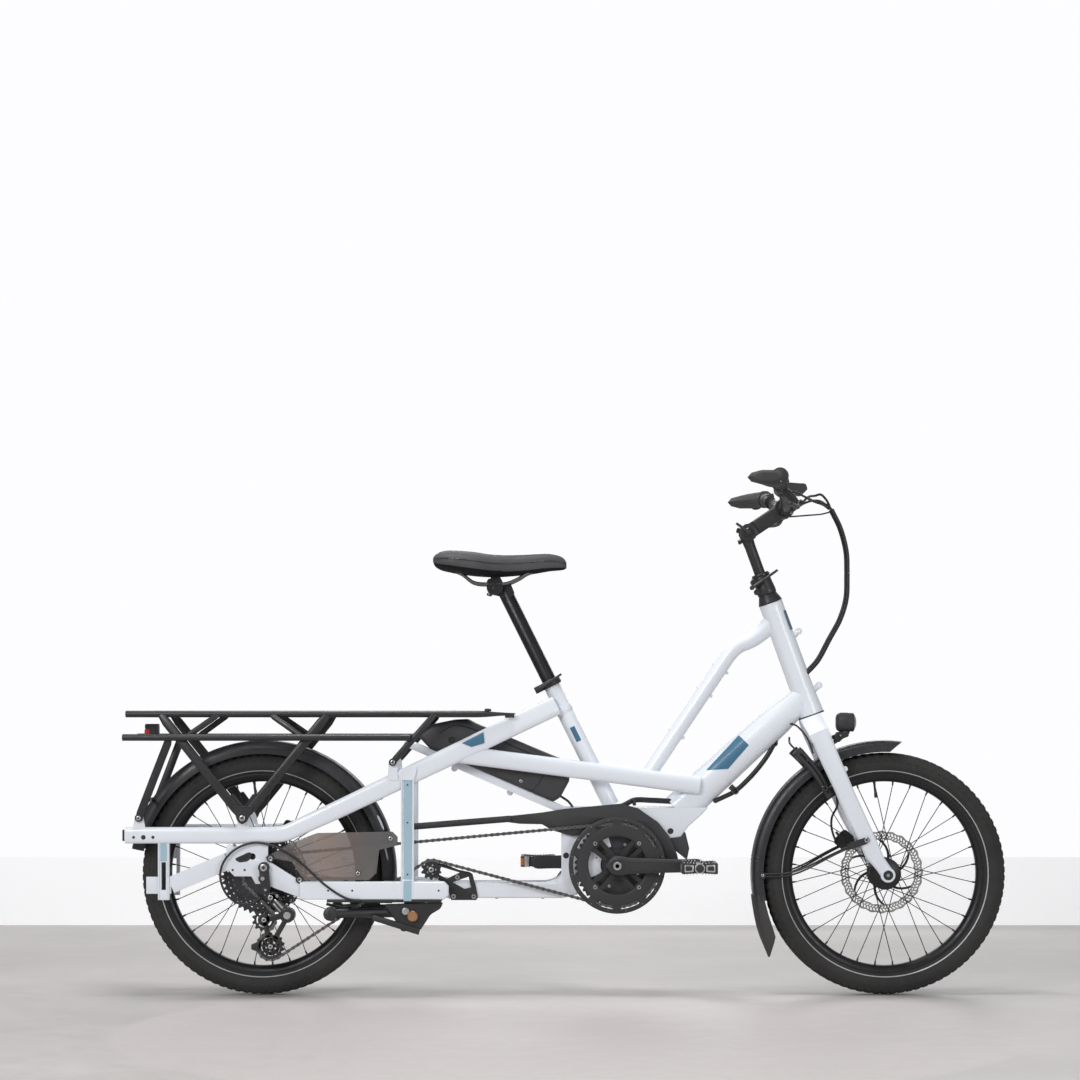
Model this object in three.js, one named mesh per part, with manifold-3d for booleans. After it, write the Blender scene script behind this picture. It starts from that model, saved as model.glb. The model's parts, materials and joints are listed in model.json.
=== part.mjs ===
// Longtail cargo bike with a mid drive, 20 inch wheels and a long rear rack.
// Millimetres. +X points forward, +Y to the rider's left and +Z up. The ground is z = 0.
import * as THREE from 'three';
import { mergeVertices } from 'three/addons/utils/BufferGeometryUtils.js';
import Module from 'manifold-3d';

const wasm = await Module();
wasm.setup();

// Driving dimensions
const wheelbase = 1333;
const rearAxleX = -652;
const tyreRadius = 260;
const tyreWidth = 58;
const clearance = 0.3;
const overrun = 3;
const axle = { x: rearAxleX, z: tyreRadius };
const frontAxle = { x: rearAxleX + wheelbase, z: tyreRadius };
const bottomBracket = { x: 106.5, z: 280 };
const chainLine = 52;
const chainPitch = 12.7;

// Steering axis: up is measured along it from the point nearest the front axle, ahead at right angles
const headAngle = THREE.MathUtils.degToRad(70);
const forkOffset = 30;
const headTubeFoot = 372;
const headTubeLength = 256;
const steerUp = { x: -Math.cos(headAngle), z: Math.sin(headAngle) };
const steerAhead = { x: Math.sin(headAngle), z: Math.cos(headAngle) };

function onSteer(up, ahead) {
  const out = ahead - forkOffset;
  return [frontAxle.x + steerUp.x * up + steerAhead.x * out,
    frontAxle.z + steerUp.z * up + steerAhead.z * out];
}

// Solids: every helper returns a closed manifold
function solid(geometry) {
  const plain = geometry.index ? geometry : geometry.clone();
  plain.deleteAttribute('normal');
  plain.deleteAttribute('uv');
  const merged = mergeVertices(plain, 1e-4);
  const vertProperties = new Float32Array(merged.attributes.position.array);
  const triVerts = new Uint32Array(merged.index.array);
  return new wasm.Manifold(new wasm.Mesh({ numProp: 3, vertProperties, triVerts }));
}

function join(...pieces) {
  return pieces.flat().reduce((whole, piece) => whole.add(piece));
}

function cut(body, ...tools) {
  return tools.flat().reduce((whole, tool) => whole.subtract(tool), body);
}

function outlineShape(points) {
  return new THREE.Shape(points.map(([a, b]) => new THREE.Vector2(a, b)));
}

// A plate whose outline lies in XZ, between two Y planes
function plate(points, yA, yB, bevel = 0) {
  const low = Math.min(yA, yB);
  const high = Math.max(yA, yB);
  const depth = high - low - 2 * bevel;
  const geometry = new THREE.ExtrudeGeometry(outlineShape(points), {
    depth, bevelEnabled: bevel > 0, bevelThickness: bevel, bevelSize: bevel,
    bevelOffset: -bevel, bevelSegments: 1, steps: 1,
  });
  geometry.rotateX(Math.PI / 2);
  geometry.translate(0, high - bevel, 0);
  return solid(geometry);
}

function box(centre, size) {
  const geometry = new THREE.BoxGeometry(size[0], size[1], size[2]);
  geometry.translate(centre[0], centre[1], centre[2]);
  return solid(geometry);
}

// A round rod, tapered where the second radius is given
function rod(from, to, radius, endRadius = radius, sides = 12) {
  const start = new THREE.Vector3(...from);
  const end = new THREE.Vector3(...to);
  const geometry = new THREE.CylinderGeometry(endRadius, radius, start.distanceTo(end), sides);
  const turn = new THREE.Quaternion().setFromUnitVectors(
    new THREE.Vector3(0, 1, 0), end.clone().sub(start).normalize());
  geometry.applyQuaternion(turn);
  const middle = start.add(end).multiplyScalar(0.5);
  geometry.translate(middle.x, middle.y, middle.z);
  return solid(geometry);
}

// A disc or boss on an axis along Y
function disc(x, z, radius, yA, yB, sides = 24) {
  return rod([x, Math.min(yA, yB), z], [x, Math.max(yA, yB), z], radius, radius, sides);
}

// A ring section is a closed list of [radius, y] points, turned about the Y axis through x, z
function turned(x, z, section, sides = 48) {
  const closed = [...section, section[0]];
  const points = closed.map(([radius, y]) => new THREE.Vector2(radius, y));
  const geometry = new THREE.LatheGeometry(points, sides);
  geometry.translate(x, 0, z);
  const body = solid(geometry);
  return body.volume() < 0 ? solid(flipped(geometry)) : body;
}

function flipped(geometry) {
  const copy = geometry.clone();
  const index = copy.index.array;
  for (let i = 0; i < index.length; i += 3) {
    [index[i], index[i + 1]] = [index[i + 1], index[i]];
  }
  return copy;
}

// A loft runs through rings of [x, y, z] points; its ends are closed over a flat outline
function loft(rings) {
  const count = rings[0].length;
  const positions = rings.flat(2);
  const index = [];
  for (let ring = 0; ring < rings.length - 1; ring += 1) {
    for (let i = 0; i < count; i += 1) {
      const a = ring * count + i;
      const b = ring * count + (i + 1) % count;
      index.push(a, b, b + count, a, b + count, a + count);
    }
  }
  const cap = capTriangles(rings[0]);
  const last = (rings.length - 1) * count;
  const capEnd = capTriangles(rings[rings.length - 1]);
  for (const [a, b, c] of cap) index.push(a, c, b);
  for (const [a, b, c] of capEnd) index.push(last + a, last + b, last + c);
  const geometry = new THREE.BufferGeometry();
  geometry.setAttribute('position', new THREE.Float32BufferAttribute(positions, 3));
  geometry.setIndex(index);
  const body = solid(geometry);
  return body.volume() < 0 ? solid(flipped(geometry)) : body;
}

// Flattens an end ring on its own plane and cuts it into triangles, wound as the ring runs
function capTriangles(ring) {
  const points = ring.map(([x, y, z]) => new THREE.Vector3(x, y, z));
  const normal = new THREE.Vector3();
  points.forEach((point, i) => {
    const next = points[(i + 1) % points.length];
    normal.add(point.clone().cross(next));
  });
  normal.normalize();
  const across = points[1].clone().sub(points[0]).normalize();
  const along = normal.clone().cross(across);
  const flat = points.map((point) => new THREE.Vector2(point.dot(across), point.dot(along)));
  return THREE.ShapeUtils.triangulateShape(flat, []);
}

// A section of [radial, y] points swept round an axis along Y, between two angles from +X
function arcSweep(centre, section, from, to, steps) {
  const rings = [];
  for (let step = 0; step <= steps; step += 1) {
    const angle = THREE.MathUtils.degToRad(from + (to - from) * step / steps);
    rings.push(section.map(([radial, y]) => [centre.x + radial * Math.cos(angle), y,
      centre.z + radial * Math.sin(angle)]));
  }
  return loft(rings);
}

// A tube with an oval section through [x, y, z, halfAcross, halfHigh] stations lying mostly along XZ
function ovalTube(stations, sides = 16) {
  const centres = stations.map(([x, y, z]) => new THREE.Vector3(x, y, z));
  const sideways = new THREE.Vector3(0, 1, 0);
  const rings = stations.map((station, i) => {
    const before = centres[Math.max(i - 1, 0)];
    const after = centres[Math.min(i + 1, centres.length - 1)];
    const along = after.clone().sub(before).normalize();
    const up = along.clone().cross(sideways).normalize().negate();
    const across = up.clone().cross(along).normalize();
    return Array.from({ length: sides }, (_, k) => {
      const angle = (k + 0.5) * 2 * Math.PI / sides;
      const point = centres[i].clone()
        .addScaledVector(across, station[3] * Math.cos(angle))
        .addScaledVector(up, station[4] * Math.sin(angle));
      return [point.x, point.y, point.z];
    });
  });
  return loft(rings);
}

// A round cable or bent tube along a smooth curve through hand-picked points
function bentTube(points, radius, sides, steps) {
  const curve = new THREE.CatmullRomCurve3(points.map((point) => new THREE.Vector3(...point)),
    false, 'centripetal');
  const section = Array.from({ length: sides }, (_, k) => {
    const angle = k * 2 * Math.PI / sides;
    return [radius * Math.cos(angle), radius * Math.sin(angle)];
  });
  const geometry = new THREE.ExtrudeGeometry(outlineShape(section),
    { steps, extrudePath: curve, bevelEnabled: false });
  return solid(geometry);
}

// Materials, one per finish
function finish(color, roughness, metalness = 0) {
  return new THREE.MeshStandardMaterial({ color, roughness, metalness });
}
const paint = finish(0xe4eaee, 0.3);
const black = finish(0x2e2d30, 0.5);
const rubber = finish(0x2b2927, 0.85);
const anodised = finish(0x1c1c1e, 0.4, 0.6);
const steel = finish(0x9a9c9e, 0.35, 0.9);
const casing = finish(0x38383a, 0.6);
const smoked = finish(0x6a5a50, 0.25);
const cushion = finish(0x35343a, 0.8);

const bike = new THREE.Group();

function add(name, body, material) {
  const result = body.getMesh();
  const geometry = new THREE.BufferGeometry();
  geometry.setAttribute('position', new THREE.BufferAttribute(result.vertProperties, 3));
  geometry.setIndex(new THREE.BufferAttribute(result.triVerts, 1));
  geometry.computeVertexNormals();
  const mesh = new THREE.Mesh(geometry, material);
  mesh.name = name;
  bike.add(mesh);
}

// Wheels: a clincher rim, its tyre, and a hub laced with straight spokes
const wheelSides = 32;
const rim = { bead: 213, well: 205, inner: 197, halfWidth: 17, wall: 2.6, spokeBed: 10 };
const tyreBulge = { low: 232, shoulder: 251, crownHalf: 10, shoulderHalf: 24 };
const hub = { flangeRadius: 34, flangeHalf: 24, flangeThick: 4, barrel: 17, bore: 5 };
const spoke = { count: 16, thickness: 2.4, start: 30, lean: 7 };
const axleTip = { radius: 10, thick: 7 };
const rotor = { radius: 90, band: 15, thick: 2.2, arms: 6, armWidth: 9, carrier: 24, inset: 14 };

function tyre(place) {
  const half = tyreWidth / 2;
  const seat = rim.well + clearance;
  const beadHalf = rim.halfWidth - rim.wall - clearance;
  return turned(place.x, place.z, [
    [seat, -beadHalf], [rim.bead + clearance, -beadHalf], [tyreBulge.low, -half],
    [tyreBulge.shoulder, -tyreBulge.shoulderHalf], [tyreRadius, -tyreBulge.crownHalf],
    [tyreRadius, tyreBulge.crownHalf], [tyreBulge.shoulder, tyreBulge.shoulderHalf],
    [tyreBulge.low, half], [rim.bead + clearance, beadHalf], [seat, beadHalf],
  ], wheelSides);
}

function wheelRim(place) {
  const bed = rim.halfWidth - rim.wall;
  return turned(place.x, place.z, [
    [rim.inner, -rim.spokeBed], [rim.bead, -rim.halfWidth],
    [rim.bead, -bed], [rim.well, -bed], [rim.well, bed], [rim.bead, bed],
    [rim.bead, rim.halfWidth], [rim.inner, rim.spokeBed],
  ], wheelSides);
}

// A disc brake rotor: a braking band on curved arms round a carrier
function brakeRotor(place, y) {
  const low = y - rotor.thick / 2;
  const high = y + rotor.thick / 2;
  const inner = rotor.radius - rotor.band;
  const band = turned(place.x, place.z, [[inner, low], [rotor.radius, low],
    [rotor.radius, high], [inner, high]], 24);
  const carrier = disc(place.x, place.z, rotor.carrier, low, high, 12);
  const arms = Array.from({ length: rotor.arms }, (_, i) => {
    const angle = i * 2 * Math.PI / rotor.arms;
    const swing = angle + Math.PI / rotor.arms;
    const reach = inner + rotor.band / 3;
    const root = [Math.cos(angle) * rotor.carrier * 0.7, Math.sin(angle) * rotor.carrier * 0.7];
    const tip = [Math.cos(swing) * reach, Math.sin(swing) * reach];
    const length = Math.hypot(tip[0] - root[0], tip[1] - root[1]);
    const side = [-(tip[1] - root[1]) / length, (tip[0] - root[0]) / length];
    const half = rotor.armWidth / 2;
    const corner = (point, sign) => [place.x + point[0] + side[0] * half * sign,
      place.z + point[1] + side[1] * half * sign];
    return plate([corner(root, -1), corner(tip, -1), corner(tip, 1), corner(root, 1)], low, high);
  });
  return join(band, carrier, arms);
}

// The hub shell, its spokes to just inside the rim, and the rotor bolted to its left flange
function lacedHub(place, ends, rotorY, flangeRadius) {
  const shell = turned(place.x, place.z, [
    [hub.bore, ends.right], [axleTip.radius, ends.right],
    [axleTip.radius, -hub.flangeHalf - hub.flangeThick],
    [flangeRadius, -hub.flangeHalf - hub.flangeThick / 2], [flangeRadius, -hub.flangeHalf],
    [hub.barrel, -hub.flangeHalf + hub.flangeThick], [hub.barrel, hub.flangeHalf - hub.flangeThick],
    [hub.flangeRadius, hub.flangeHalf], [hub.flangeRadius, hub.flangeHalf + hub.flangeThick / 2],
    [axleTip.radius + hub.bore, rotorY], [axleTip.radius, rotorY + rotor.thick],
    [axleTip.radius, ends.left], [hub.bore, ends.left],
  ], 12);
  const reach = rim.inner - 1.5 * clearance;
  const spokes = Array.from({ length: spoke.count }, (_, i) => {
    const angle = (i + 0.5) * 2 * Math.PI / spoke.count;
    const side = i % 2 === 0 ? 1 : -1;
    const lean = THREE.MathUtils.degToRad(spoke.lean) * (i % 4 < 2 ? 1 : -1);
    const root = angle + lean;
    return rod([place.x + spoke.start * Math.cos(root), side * hub.flangeHalf,
      place.z + spoke.start * Math.sin(root)],
    [place.x + reach * Math.cos(angle), side * spoke.thickness,
      place.z + reach * Math.sin(angle)], spoke.thickness / 2, spoke.thickness / 2, 3);
  });
  const bore = disc(place.x, place.z, hub.bore, ends.right - overrun, ends.left + overrun, 12);
  return cut(join(shell, spokes, brakeRotor(place, rotorY)), bore);
}

add('rear_tyre', tyre(axle), rubber);
add('rear_rim', wheelRim(axle), black);
add('front_tyre', tyre(frontAxle), rubber);
add('front_rim', wheelRim(frontAxle), black);
const rotorY = hub.flangeHalf + rotor.inset;
const frontDropout = 57;
const rearDropout = 70;
const cassetteStart = 31;
const frontEnds = { right: -frontDropout + clearance, left: frontDropout - clearance };
const rearEnds = { right: -rearDropout + clearance, left: rearDropout - clearance };
add('front_hub', lacedHub(frontAxle, frontEnds, rotorY, hub.flangeRadius), anodised);
add('rear_hub', lacedHub(axle, rearEnds, rotorY, hub.flangeRadius), anodised);
// Frame: head tube, down tube, step tube and seat tube
const headTube = { radius: 25, bore: 19, flare: 3 };
const headTop = headTubeFoot + headTubeLength;
const downTube = { width: 60, headDepth: 54, midDepth: 69, footDepth: 74 };
const downTubeNeck = { up: 411, ahead: -14 };
const downTubeMid = { x: 391, z: 535 };
const downTubeFoot = { x: 240, z: 396 };
const stepTube = { radius: 16, headUp: 594, kneeX: 364, kneeZ: 752, footX: 170, footZ: 464, bend: 50 };
const fork = { outer: 76, crownLow: 318, shoulderTop: 33, shoulderFoot: 107, steerer: 15.8, bore: 12.3,
  boreSpare: 85, raceRadius: 18.6, race: 9, sweepGap: 0.9 };
const seatTube = { radius: 17.5, bore: 15.8, boreDepth: 285, topX: -38.7, topZ: 675, footX: 95.5, footZ: 405 };
const seatTubeLength = Math.hypot(seatTube.topX - seatTube.footX, seatTube.topZ - seatTube.footZ);
const seatUp = {
  x: (seatTube.topX - seatTube.footX) / seatTubeLength,
  z: (seatTube.topZ - seatTube.footZ) / seatTubeLength,
};

function steerPoint(up, ahead = 0, y = 0) {
  const [x, z] = onSteer(up, ahead);
  return [x, y, z];
}

// Along the seat tube from its collar, and ahead of it at right angles
function seatPoint(up, ahead = 0, y = 0) {
  return [seatTube.topX + seatUp.x * up + seatUp.z * ahead, y,
    seatTube.topZ + seatUp.z * up - seatUp.x * ahead];
}

// A straight round tube about the steering axis
function steerRod(low, high, radius, endRadius = radius, sides = 24) {
  return rod(steerPoint(low), steerPoint(high), radius, endRadius, sides);
}

function headTubeSolid() {
  const shell = steerRod(headTubeFoot, headTop, headTube.radius + headTube.flare, headTube.radius);
  return cut(shell, steerRod(headTubeFoot - overrun, headTop + overrun, headTube.bore));
}
const headSkin = steerRod(headTubeFoot, headTop, headTube.radius + headTube.flare + clearance,
  headTube.radius + clearance);

// The shell that carries the motor: the big tubes end on its top
const mount = { top: 402, frontX: 301, rearX: -12, right: 38, left: 48, wall: 3.5 };
const mountTopCut = box([bottomBracket.x, 0, mount.top / 2 + clearance],
  [tyreRadius * 2, tyreRadius, mount.top]);

function downTubeSolid(grow = 0) {
  const half = downTube.width / 2 + grow;
  const neckHalf = headTube.radius + grow;
  const neck = onSteer(downTubeNeck.up, downTubeNeck.ahead);
  const run = [downTubeMid.x - neck[0], downTubeMid.z - neck[1]];
  const into = headTube.radius / Math.hypot(...run);
  const beyond = [downTubeFoot.x - downTubeMid.x, downTubeFoot.z - downTubeMid.z];
  return ovalTube([
    [neck[0] - run[0] * into, 0, neck[1] - run[1] * into, neckHalf, downTube.headDepth / 2 + grow],
    [neck[0], 0, neck[1], neckHalf, downTube.headDepth / 2 + grow],
    [neck[0] + run[0] / 2, 0, neck[1] + run[1] / 2, half, downTube.midDepth / 2 + grow],
    [downTubeMid.x, 0, downTubeMid.z, half, downTube.midDepth / 2 + grow],
    [downTubeFoot.x, 0, downTubeFoot.z, half, downTube.footDepth / 2 + grow],
    [downTubeFoot.x + beyond[0] / 2, 0, downTubeFoot.z + beyond[1] / 2, half, downTube.footDepth / 2 + grow],
  ], 20);
}

// The step tube leaves the head tube, bends down at its knee and ends on a bridge between the mid tubes
function stepTubeSolid(bridgeHalf) {
  const headEnd = onSteer(stepTube.headUp, 0);
  const knee = [stepTube.kneeX, stepTube.kneeZ];
  const foot = [stepTube.footX, stepTube.footZ];
  const toward = (target, distance) => {
    const length = Math.hypot(target[0] - knee[0], target[1] - knee[1]);
    return [knee[0] + (target[0] - knee[0]) * distance / length,
      knee[1] + (target[1] - knee[1]) * distance / length];
  };
  const { radius, bend } = stepTube;
  const route = [headEnd, toward(headEnd, bend), toward(headEnd, bend / 3), toward(foot, bend / 3),
    toward(foot, bend), foot];
  const tube = ovalTube(route.map(([x, z]) => [x, 0, z, radius, radius]), 16);
  const bridge = rod([foot[0], -bridgeHalf, foot[1]], [foot[0], bridgeHalf, foot[1]],
    radius * 0.7, radius * 0.7, 12);
  return join(tube, bridge);
}

// Twin main stays: level at the tail, then rising beside the rear wheel and the battery.
// A mid tube runs forward from each of them to the down tube.
const mainStay = { width: 20, tailDepth: 35, depth: 42, tailX: -937, tailZ: 345 };
const stayKnee = { x: -600, z: 348, run: 50 };
const stayBend = { x: -485, z: 400 };
const stayTop = { x: -24, z: 620 };
const staySide = { tail: 76, batteryX: -170, battery: 64, top: 24 };
const staySlope = (stayTop.z - stayBend.z) / (stayTop.x - stayBend.x);
const tailCap = { length: 4, depth: 23, width: 14 };
const midTube = { high: 19, wide: 12, rearX: -238, rearSide: 62, frontX: 283, frontZ: 449, frontSide: 32 };
const lug = { thick: 6, radius: 9, foot: 15 };
const rackPlane = { inner: 84, outer: 94 };
const rackBolts = {
  tail: { x: -906.5, z: 382 }, middle: { x: -686.7, z: 382 }, front: { x: -369, z: 500 },
};

function stayHeight(x) {
  return x < stayBend.x ? mainStay.tailZ : stayBend.z + (x - stayBend.x) * staySlope;
}

function midTubeAt(x) {
  const share = (x - midTube.rearX) / (midTube.frontX - midTube.rearX);
  const rearZ = stayHeight(midTube.rearX);
  return { side: midTube.rearSide + (midTube.frontSide - midTube.rearSide) * share,
    z: rearZ + (midTube.frontZ - rearZ) * share };
}

function stayBar(side, grow = 0) {
  const halfWidth = mainStay.width / 2 + grow;
  const half = mainStay.depth / 2 + grow;
  const tail = mainStay.tailDepth / 2 + grow;
  const station = (x, y, z, high) => [x, side * y, z, halfWidth, high];
  return ovalTube([
    station(mainStay.tailX - grow, staySide.tail, mainStay.tailZ, tail),
    station(stayKnee.x - stayKnee.run, staySide.tail, mainStay.tailZ, tail),
    station(stayKnee.x, staySide.tail, stayKnee.z, tail),
    station(stayBend.x, staySide.tail, stayBend.z, tail),
    station(staySide.batteryX, staySide.battery, stayHeight(staySide.batteryX), half),
    station(stayTop.x + grow, staySide.top, stayTop.z, half),
  ], 12);
}

function midBar(side, grow = 0) {
  const { z, side: start } = midTubeAt(midTube.rearX);
  const wide = midTube.wide + grow;
  const high = midTube.high + grow;
  return ovalTube([[midTube.rearX, side * start, z, wide, high],
    [midTube.frontX, side * midTube.frontSide, midTube.frontZ, wide, high]], 12);
}

function mainStaySolid(side, downTubeSkin, seatTubeSkin) {
  const rackTab = ({ x, z }) => plate([[x - lug.foot, stayHeight(x)], [x + lug.foot, stayHeight(x)],
    [x + lug.radius, z], [x + lug.radius / 2, z + lug.radius * 0.85],
    [x - lug.radius / 2, z + lug.radius * 0.85], [x - lug.radius, z]],
  side * (rackPlane.inner - clearance - lug.thick), side * (rackPlane.inner - clearance));
  const cap = box([mainStay.tailX - tailCap.length / 2, side * staySide.tail, mainStay.tailZ],
    [tailCap.length, tailCap.width, tailCap.depth]);
  const tabs = Object.values(rackBolts).map(rackTab);
  return cut(join(stayBar(side), midBar(side), tabs, cap), downTubeSkin, seatTubeSkin);
}

// Rear triangle on each side: dropout plate, lower brace, tail plate, chainstay and upright strut
const triangle = { inner: 70, outer: 78, stayInner: 65, stayOuter: 84 };
const chainstay = { rearX: -567, frontX: -251, low: 209, high: 247 };
const strut = { x: -338, width: 26, low: 209, top: 480 };
const tailPlate = { rearX: -867, frontX: -843, low: 208, slotLow: 229, slotHigh: 288, slotWidth: 10 };
const brace = { rearX: -840, rearZ: 239, frontX: -720, frontZ: 290, depth: 36, blockX: -892 };
const dropout = { toeX: -634, topZ: 345, heelX: -722, archZ: 258, tongue: 17, tongueLow: 242 };
const dropoutSlot = { x: -680, z: 300, length: 26, radius: 7 };

function bandAlong(from, to, depth) {
  const length = Math.hypot(to[0] - from[0], to[1] - from[1]);
  const side = [-(to[1] - from[1]) / length * depth / 2, (to[0] - from[0]) / length * depth / 2];
  return [[from[0] - side[0], from[1] - side[1]], [to[0] - side[0], to[1] - side[1]],
    [to[0] + side[0], to[1] + side[1]], [from[0] + side[0], from[1] + side[1]]];
}

function rearTriangleSolid(side, staySkin) {
  const low = side * triangle.inner;
  const high = side * triangle.outer;
  const end = (chainstay.high - chainstay.low) / 2;
  const upright = plate([[strut.x - strut.width / 2, strut.low], [strut.x + strut.width / 2, strut.low],
    [strut.x + strut.width / 2, strut.top], [strut.x - strut.width / 2, strut.top]],
  side * (triangle.stayInner + overrun), side * (triangle.stayOuter - overrun));
  const stay = plate([[chainstay.rearX, chainstay.low], [chainstay.frontX - end / 2, chainstay.low],
    [chainstay.frontX, chainstay.low + end / 2], [chainstay.frontX, chainstay.high - end / 2],
    [chainstay.frontX - end / 2, chainstay.high], [chainstay.rearX, chainstay.high]],
  side * triangle.stayInner, side * triangle.stayOuter, 2);
  const drop = plate([[chainstay.rearX + overrun, chainstay.low + overrun],
    [chainstay.rearX + overrun, chainstay.high], [axle.x + dropout.tongue + overrun * 2, dropoutSlot.z - 12],
    [dropout.toeX, dropoutSlot.z + overrun], [dropout.toeX, dropout.topZ], [dropout.heelX, dropout.topZ],
    [dropout.heelX, dropout.archZ + dropout.tongue], [dropout.heelX + dropout.tongue, dropout.archZ],
    [axle.x - dropout.tongue, dropout.archZ], [axle.x - dropout.tongue / 2, dropout.tongueLow],
    [axle.x + dropout.tongue / 2, dropout.tongueLow]], low, high);
  const window = join(disc(dropoutSlot.x, dropoutSlot.z - dropoutSlot.radius / 2, dropoutSlot.radius * 0.7,
    low - overrun * side, high + overrun * side, 12),
  disc(dropoutSlot.x + dropoutSlot.length / 2, dropoutSlot.z, dropoutSlot.radius, low - overrun * side,
    high + overrun * side, 12));
  const lower = plate(bandAlong([brace.rearX, brace.rearZ], [brace.frontX, brace.frontZ], brace.depth),
    low, high);
  const block = plate([[brace.blockX, brace.rearZ - brace.depth / 2], [brace.rearX, brace.rearZ - brace.depth / 2],
    [brace.rearX, brace.rearZ + brace.depth / 2], [brace.blockX, brace.rearZ + brace.depth / 2]], low, high);
  const slot = box([(tailPlate.rearX + tailPlate.frontX) / 2, (low + high) / 2,
    (tailPlate.slotLow + tailPlate.slotHigh) / 2],
  [tailPlate.slotWidth, tyreWidth, tailPlate.slotHigh - tailPlate.slotLow]);
  const tail = plate([[tailPlate.rearX, tailPlate.low], [tailPlate.frontX, tailPlate.low],
    [tailPlate.frontX, mainStay.tailZ], [tailPlate.rearX, mainStay.tailZ]],
  low, high + side * overrun);
  const body = join(cut(join(tail, block, lower, drop), slot, window), stay, upright);
  const bolt = disc(axle.x, axle.z, hub.bore - clearance, triangle.outer, -triangle.inner + clearance, 12);
  const whole = join(body, side > 0 ? bolt : hangerSolid());
  return cut(whole, staySkin);
}

// The gear hanger bolted outside the right dropout
const hanger = { x: -642, z: 277, radius: 12, armX: -638, armZ: 230, armRadius: 10, thick: 13 };
const hangerFace = triangle.outer;

function hangerSolid() {
  const outer = -hangerFace - hanger.thick;
  return join(disc(hanger.x, hanger.z, hanger.radius, -hangerFace + overrun, outer, 14),
    plate(bandAlong([hanger.x, hanger.z], [hanger.armX, hanger.armZ], hanger.armRadius * 2),
      -hangerFace - clearance, outer),
    disc(hanger.armX, hanger.armZ, hanger.armRadius, -hangerFace - clearance, outer, 14));
}

add('head_tube', headTubeSolid(), paint);
const forkSweep = steerRod(fork.crownLow - overrun, headTubeFoot, fork.shoulderFoot + fork.sweepGap,
  fork.shoulderTop + fork.sweepGap);
const downTubeBody = cut(downTubeSolid(), headSkin, mountTopCut, forkSweep);
add('down_tube', downTubeBody, paint);
add('step_tube', cut(stepTubeSolid(midTubeAt(stepTube.footX).side - midTube.wide - clearance * 2), headSkin,
  downTubeSolid(clearance)), paint);
const seatTubeShell = rod(seatPoint(0), seatPoint(-seatTubeLength - seatTube.radius), seatTube.radius,
  seatTube.radius, 20);
const seatTubeBore = rod(seatPoint(overrun), seatPoint(-seatTube.boreDepth), seatTube.bore, seatTube.bore, 20);
add('seat_tube', cut(seatTubeShell, seatTubeBore, mountTopCut), paint);
const seatTubeSkin = rod(seatPoint(overrun), seatPoint(-seatTubeLength), seatTube.radius + clearance,
  seatTube.radius + clearance, 20);
for (const [word, side] of [['right', -1], ['left', 1]]) {
  add(`${word}_main_stay`, mainStaySolid(side, downTubeSolid(clearance), seatTubeSkin), paint);
  add(`${word}_rear_triangle`, rearTriangleSolid(side, stayBar(side, clearance)), paint);
}
// Mid drive: the motor, the frame shell that holds it, and the beam back to the rear triangle
const motor = { radius: 100, right: 34, left: 44, axleBore: 12.3 };
const motorOutlineShares = [
  [1.15, 0.38], [1.5, 0.1], [1.55, 0.35], [1.47, 0.68], [1.15, 0.92], [0.4, 1.02], [-0.45, 0.88],
  [-0.82, 0.4], [-0.86, -0.1], [-0.66, -0.62], [-0.2, -0.86], [0.3, -0.82], [0.75, -0.55],
];
const beam = { rearX: -345, low: 209, high: 243, frontX: 30, rise: 262, half: 38 };
const crossMember = { rearX: -345, frontX: -262, low: 209, high: 240 };
const cradle = { rearX: -348, rearZ: 542, frontX: -4, frontZ: 394, thick: 16, width: 44 };
const cradleBridge = { x: -270, radius: 8, drop: 13 };
const cradleLength = Math.hypot(cradle.frontX - cradle.rearX, cradle.frontZ - cradle.rearZ);
const cradleAlong = { x: (cradle.frontX - cradle.rearX) / cradleLength,
  z: (cradle.frontZ - cradle.rearZ) / cradleLength };

// Along the battery cradle from its rear end, and above its centre line
function onCradle(along, above) {
  return [cradle.rearX + cradleAlong.x * along - cradleAlong.z * above,
    cradle.rearZ + cradleAlong.z * along + cradleAlong.x * above];
}

function motorOutline(grow) {
  return motorOutlineShares.map(([x, z]) => {
    const reach = Math.hypot(x, z);
    const size = motor.radius + grow / reach;
    return [bottomBracket.x + x * size, bottomBracket.z + z * size];
  });
}

function motorSolid() {
  const body = plate(motorOutline(0), -motor.right, motor.left, mount.wall);
  return cut(body, disc(bottomBracket.x, bottomBracket.z, motor.axleBore, -motor.right - overrun,
    motor.left + overrun, 16));
}

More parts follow.
